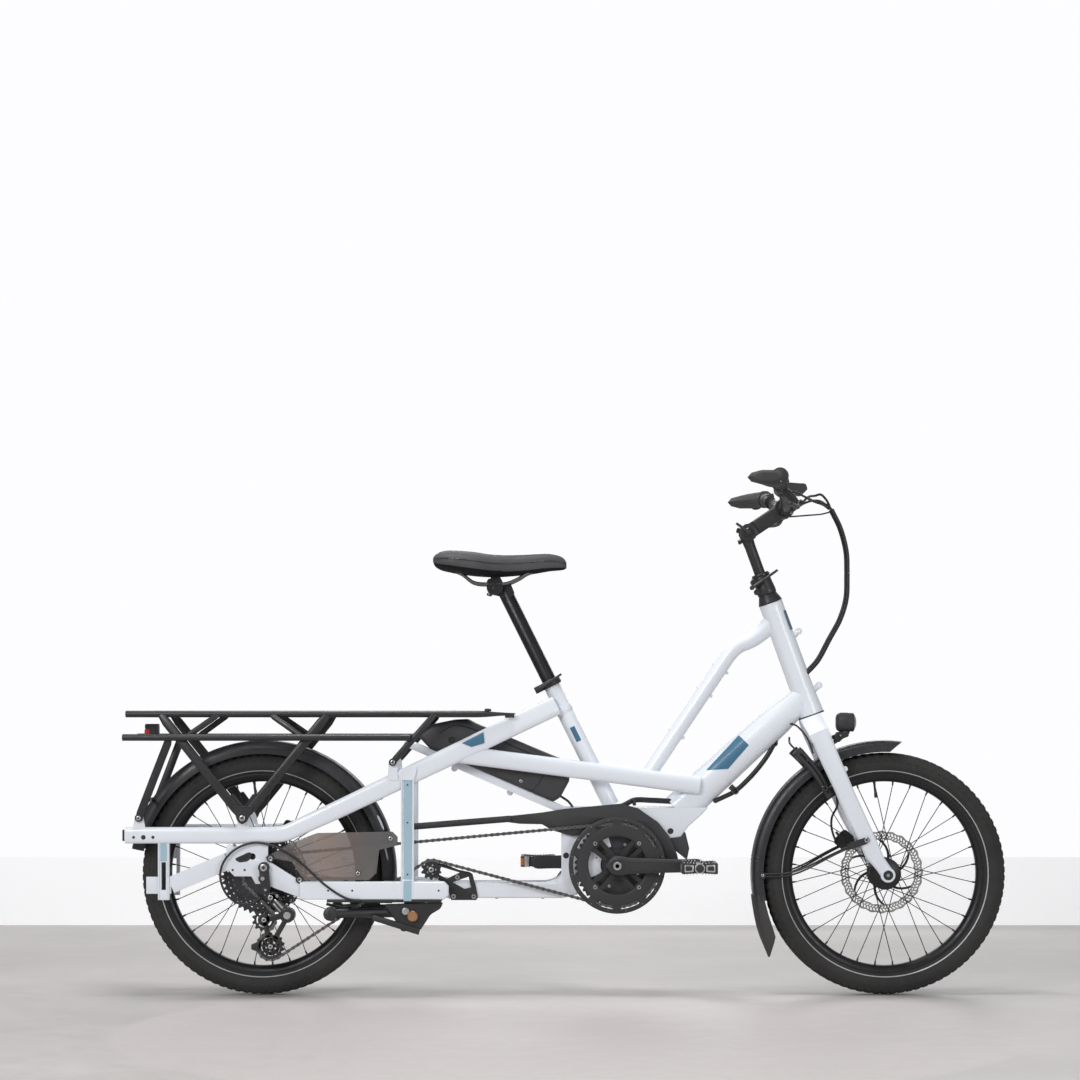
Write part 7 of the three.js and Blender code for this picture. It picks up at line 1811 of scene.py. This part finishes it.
def saddle_ring(x, half, top, low, count=72):
    """One section of the saddle: a soft crown with a shallow middle dip, a flank that tucks in, a flat base."""
    ring = []
    dip = 2.6 * max(0.0, 1 - abs(x + 170) / 125)
    for a in around(count):
        c, s = cos(a), sin(a)
        if s >= 0:
            y = half * copysign(abs(c) ** 0.82, c)
            z = low + (top - low) * (0.34 + 0.66 * abs(s) ** 0.62)
            z -= dip * exp(-(y / 15.0) ** 2)
        else:
            y = half * (0.80 + 0.2 * (1 - abs(s))) * copysign(abs(c) ** 0.6, c)
            z = low + (top - low) * 0.34 * (1 - abs(s) ** 0.5)
        ring.append((x, y, z))
    return ring


def soft_stations():
    """Stations closer together, evened out along the length."""
    route = smooth_path([(s[0], s[1], s[2]) for s in SADDLE], 5)
    low = smooth_path([(s[0], s[3], 0) for s in SADDLE], 5)
    return [(a.x, a.y, a.z, b.y) for a, b in zip(route, low)]


cover = Build()
rings = [saddle_ring(*s) for s in soft_stations()]
count = len(rings[0])
verts = [p for ring in rings for p in ring]
faces = ring_faces(len(rings), count, caps=False)
faces += [tuple(range(count)), tuple(reversed(range((len(rings) - 1) * count, len(rings) * count)))]
cover.add(verts, faces)
saddle_form = cover.piece("saddle_form", [grain, flank_painted_light, saddle_base_painted_shade], "seat", replaces="saddle", sharp=60)
# Faces that look down take the painted shade; steep side faces below the crown take the painted light
for face in saddle_form.data.polygons:
    if face.normal.z < -0.45:
        face.material_index = 2
    elif abs(face.normal.z) < 0.42 and face.center.z < 0.9305:
        face.material_index = 1

seams = Build()
for side in (-1, 1):
    line = []
    for s in soft_stations()[2:-3:3]:
        ring = saddle_ring(*s)
        best = min((p for p in ring if p[1] * side > 0), key=lambda p: abs((p[2] - s[3]) / (s[2] - s[3]) - 0.55)
            if p[2] > s[3] + 0.36 * (s[2] - s[3]) else 9)
        line.append((best[0], best[1] + side * 0.25, best[2] + 0.1))
    seams.tube(line, 0.9, 8, 4)
    groove = []
    for s in soft_stations()[9:-12:4]:
        want = side * min(s[1] * 0.5, 14 + 16 * max(0.0, min(1.0, (-s[0] - 110) / 130)))
        ring = saddle_ring(*s)
        p = min((q for q in ring if q[2] > s[3] + 0.5 * (s[2] - s[3])), key=lambda q: abs(q[1] - want))
        groove.append((p[0], p[1], p[2] + 0.2))
    seams.tube(groove, 0.8, 8, 4)
rear = []
for y in range(-60, 61, 12):
    rear.append((-276.5 + abs(y) * 0.16, y, 946.4 - (abs(y) / 62) ** 2 * 6.5 + 0.4))
seams.tube(rear, 0.8, 8, 4)
seams.piece("saddle_seams", [gloss_black], "seat", sharp=60)

# Gear cable: a thin hose round the dropout, its barrel at the shifter
GEAR_RUN = [(-440, -86.8, 206), (-470, -87, 213), (-512, -87, 240), (-559, -87, 283), (-591, -87, 307),
    (-623, -87, 323), (-660, -87, 330), (-700, -87, 317), (-725, -87, 292), (-734, -87, 264), (-729, -87, 236),
    (-714, -87, 213), (-690, -87, 200), (-662, -86, 203), (-645, -85, 216)]
gear = Build()
gear.tube(GEAR_RUN, 2.5, 14, 8)
gear.turn((-662, -86, 203), (-645, -85, 216), [(0, 3.4), (6, 3.6), (14, 4.4), (20, 4.4), (21.4, 3.2)], 20, 1)
gear.turn((-446, -86.8, 207), (-438, -86.8, 205.6), [(0, 3.4), (8, 3.4)], 18, 1)
gear.piece("gear_cable_form", [hose_black, anodised], replaces="gear_cable", sharp=40)


# Carried nodes that keep their own shape
PLAIN = {"paint": paint, "black_metal": satin_black, "anodised": anodised, "chain_steel": chain_metal,
    "black_plastic": black_plastic, "tread": tyre_rubber, "rubber": grip_rubber, "casing": charcoal,
    "smoked": charcoal, "cushion": grip_rubber, "red_lens": red_lens}
slot_of = {s["node"]: s["material_slot"] for s in frame["record"]["subparts"]}
for node_name, source in frame["nodes"].items():
    source.data.materials.clear()
    source.data.materials.append(PLAIN[slot_of[node_name]])


# Stage, lights and camera --------------------------------------------------
def stage_piece(name, verts, faces, mat):
    """A flat surface of the stage."""
    mesh = bpy.data.meshes.new(name)
    mesh.from_pydata(verts, [], faces)
    mesh.materials.append(mat)
    piece = bpy.data.objects.new(name, mesh)
    bpy.context.scene.collection.objects.link(piece)


def concrete():
    """Pale polished concrete with drifting stains and a faint lighter disc let into it."""
    mat, nodes, links, shader = new_material("pale_concrete", (0.6, 0.59, 0.58), 0.5)
    vector = object_coords(nodes, links)
    broad = noise(nodes, links, vector, 1.4, 4, 0.6)
    fine = noise(nodes, links, vector, 16, 5, 0.65)
    base = ramp(nodes, links, broad, [(0.28, (0.48, 0.46, 0.445)), (0.72, (0.6, 0.563, 0.553))])
    speck = ramp(nodes, links, fine, [(0.3, grey(0.94)), (0.7, grey(1.0))])
    tone = mix_color(nodes, links, 1.0, base, speck, "MULTIPLY")
    away = nodes.new("ShaderNodeVectorMath")
    away.operation = "DISTANCE"
    links.new(vector, away.inputs[0])
    away.inputs[1].default_value = (0.0, -0.665, 0.0)
    edge = ramp(nodes, links, away.outputs["Value"], [(0.845, grey(1.0)), (0.862, grey(0.0))])
    disc = mix_color(nodes, links, edge, tone, (0.56, 0.52, 0.508))
    links.new(disc, shader.inputs["Base Color"])
    links.new(ramp(nodes, links, fine, [(0.3, grey(0.42)), (0.7, grey(0.6))]), shader.inputs["Roughness"])
    bump(nodes, links, shader, fine, 0.1, 0.002)
    return mat


FLOOR_END, STRIP_TOP = 1.83, 0.194
stage_piece("floor", [(-9, -9, 0), (9, -9, 0), (9, FLOOR_END, 0), (-9, FLOOR_END, 0)], [(0, 1, 2, 3)], concrete())
strip_mat, _, _, strip_shader = new_material("skirting", (0.93, 0.93, 0.94), 0.6)
strip_shader.inputs["Emission Color"].default_value = (1.0, 0.985, 1.0, 1)
strip_shader.inputs["Emission Strength"].default_value = 0.16
stage_piece("skirting", [(-9, FLOOR_END, 0), (9, FLOOR_END, 0), (9, FLOOR_END, STRIP_TOP),
    (-9, FLOOR_END, STRIP_TOP)], [(0, 1, 2, 3)], strip_mat)

world = bpy.data.worlds.new("studio")
bpy.context.scene.world = world
world.use_nodes = True
sky, joins = world.node_tree.nodes, world.node_tree.links
sky.clear()
target = sky.new("ShaderNodeOutputWorld")
mixer = sky.new("ShaderNodeMixShader")
seen, lit = sky.new("ShaderNodeBackground"), sky.new("ShaderNodeBackground")
seen.inputs["Color"].default_value = (0.985, 0.985, 1.0, 1)
seen.inputs["Strength"].default_value = 1.0
lit.inputs["Color"].default_value = (0.94, 0.97, 1.0, 1)
lit.inputs["Strength"].default_value = 0.37
path = sky.new("ShaderNodeLightPath")
either = sky.new("ShaderNodeMath")
either.operation = "MAXIMUM"
joins.new(path.outputs["Is Camera Ray"], either.inputs[0])
joins.new(path.outputs["Is Transmission Ray"], either.inputs[1])
joins.new(either.outputs[0], mixer.inputs["Fac"])
joins.new(lit.outputs[0], mixer.inputs[1])
joins.new(seen.outputs[0], mixer.inputs[2])
joins.new(mixer.outputs[0], target.inputs["Surface"])


def area_light(name, place, aim, size, power, color=(1, 1, 1)):
    """A rectangular lamp aimed at a point."""
    lamp = bpy.data.lights.new(name, "AREA")
    lamp.shape = "RECTANGLE"
    lamp.size, lamp.size_y = size
    lamp.energy = power
    lamp.color = color
    holder = bpy.data.objects.new(name, lamp)
    bpy.context.scene.collection.objects.link(holder)
    holder.location = place
    holder.rotation_euler = (Vector(aim) - Vector(place)).to_track_quat("-Z", "Y").to_euler()


area_light("overhead", (-0.5, -0.2, 3.6), (-0.3, 0, 0.3), (1.6, 0.6), 72)
area_light("key", (-2.6, -4.4, 2.6), (-0.1, 0, 0.55), (2.2, 1.6), 102)
area_light("fill", (3.2, -4.2, 1.7), (0.1, 0, 0.6), (1.8, 1.8), 50)
area_light("rear_fill", (0.5, 3.6, 2.4), (0, 0, 0.5), (3.0, 1.6), 36)

lens = bpy.data.cameras.new("camera")
lens.sensor_width = 36
lens.lens = 86.36
lens.shift_x = (PHOTO_SIDE / 2 - PHOTO_AXIS[0]) / PHOTO_SIDE
lens.shift_y = (PHOTO_AXIS[1] - PHOTO_SIDE / 2) / PHOTO_SIDE
camera = bpy.data.objects.new("camera", lens)
bpy.context.scene.collection.objects.link(camera)
camera.location = (CAMERA_XZ[0] * MM, -CAMERA_AWAY * MM, CAMERA_XZ[1] * MM)
camera.rotation_euler = (radians(90), 0, 0)
bpy.context.scene.camera = camera
bpy.context.scene.view_settings.view_transform = "Standard"
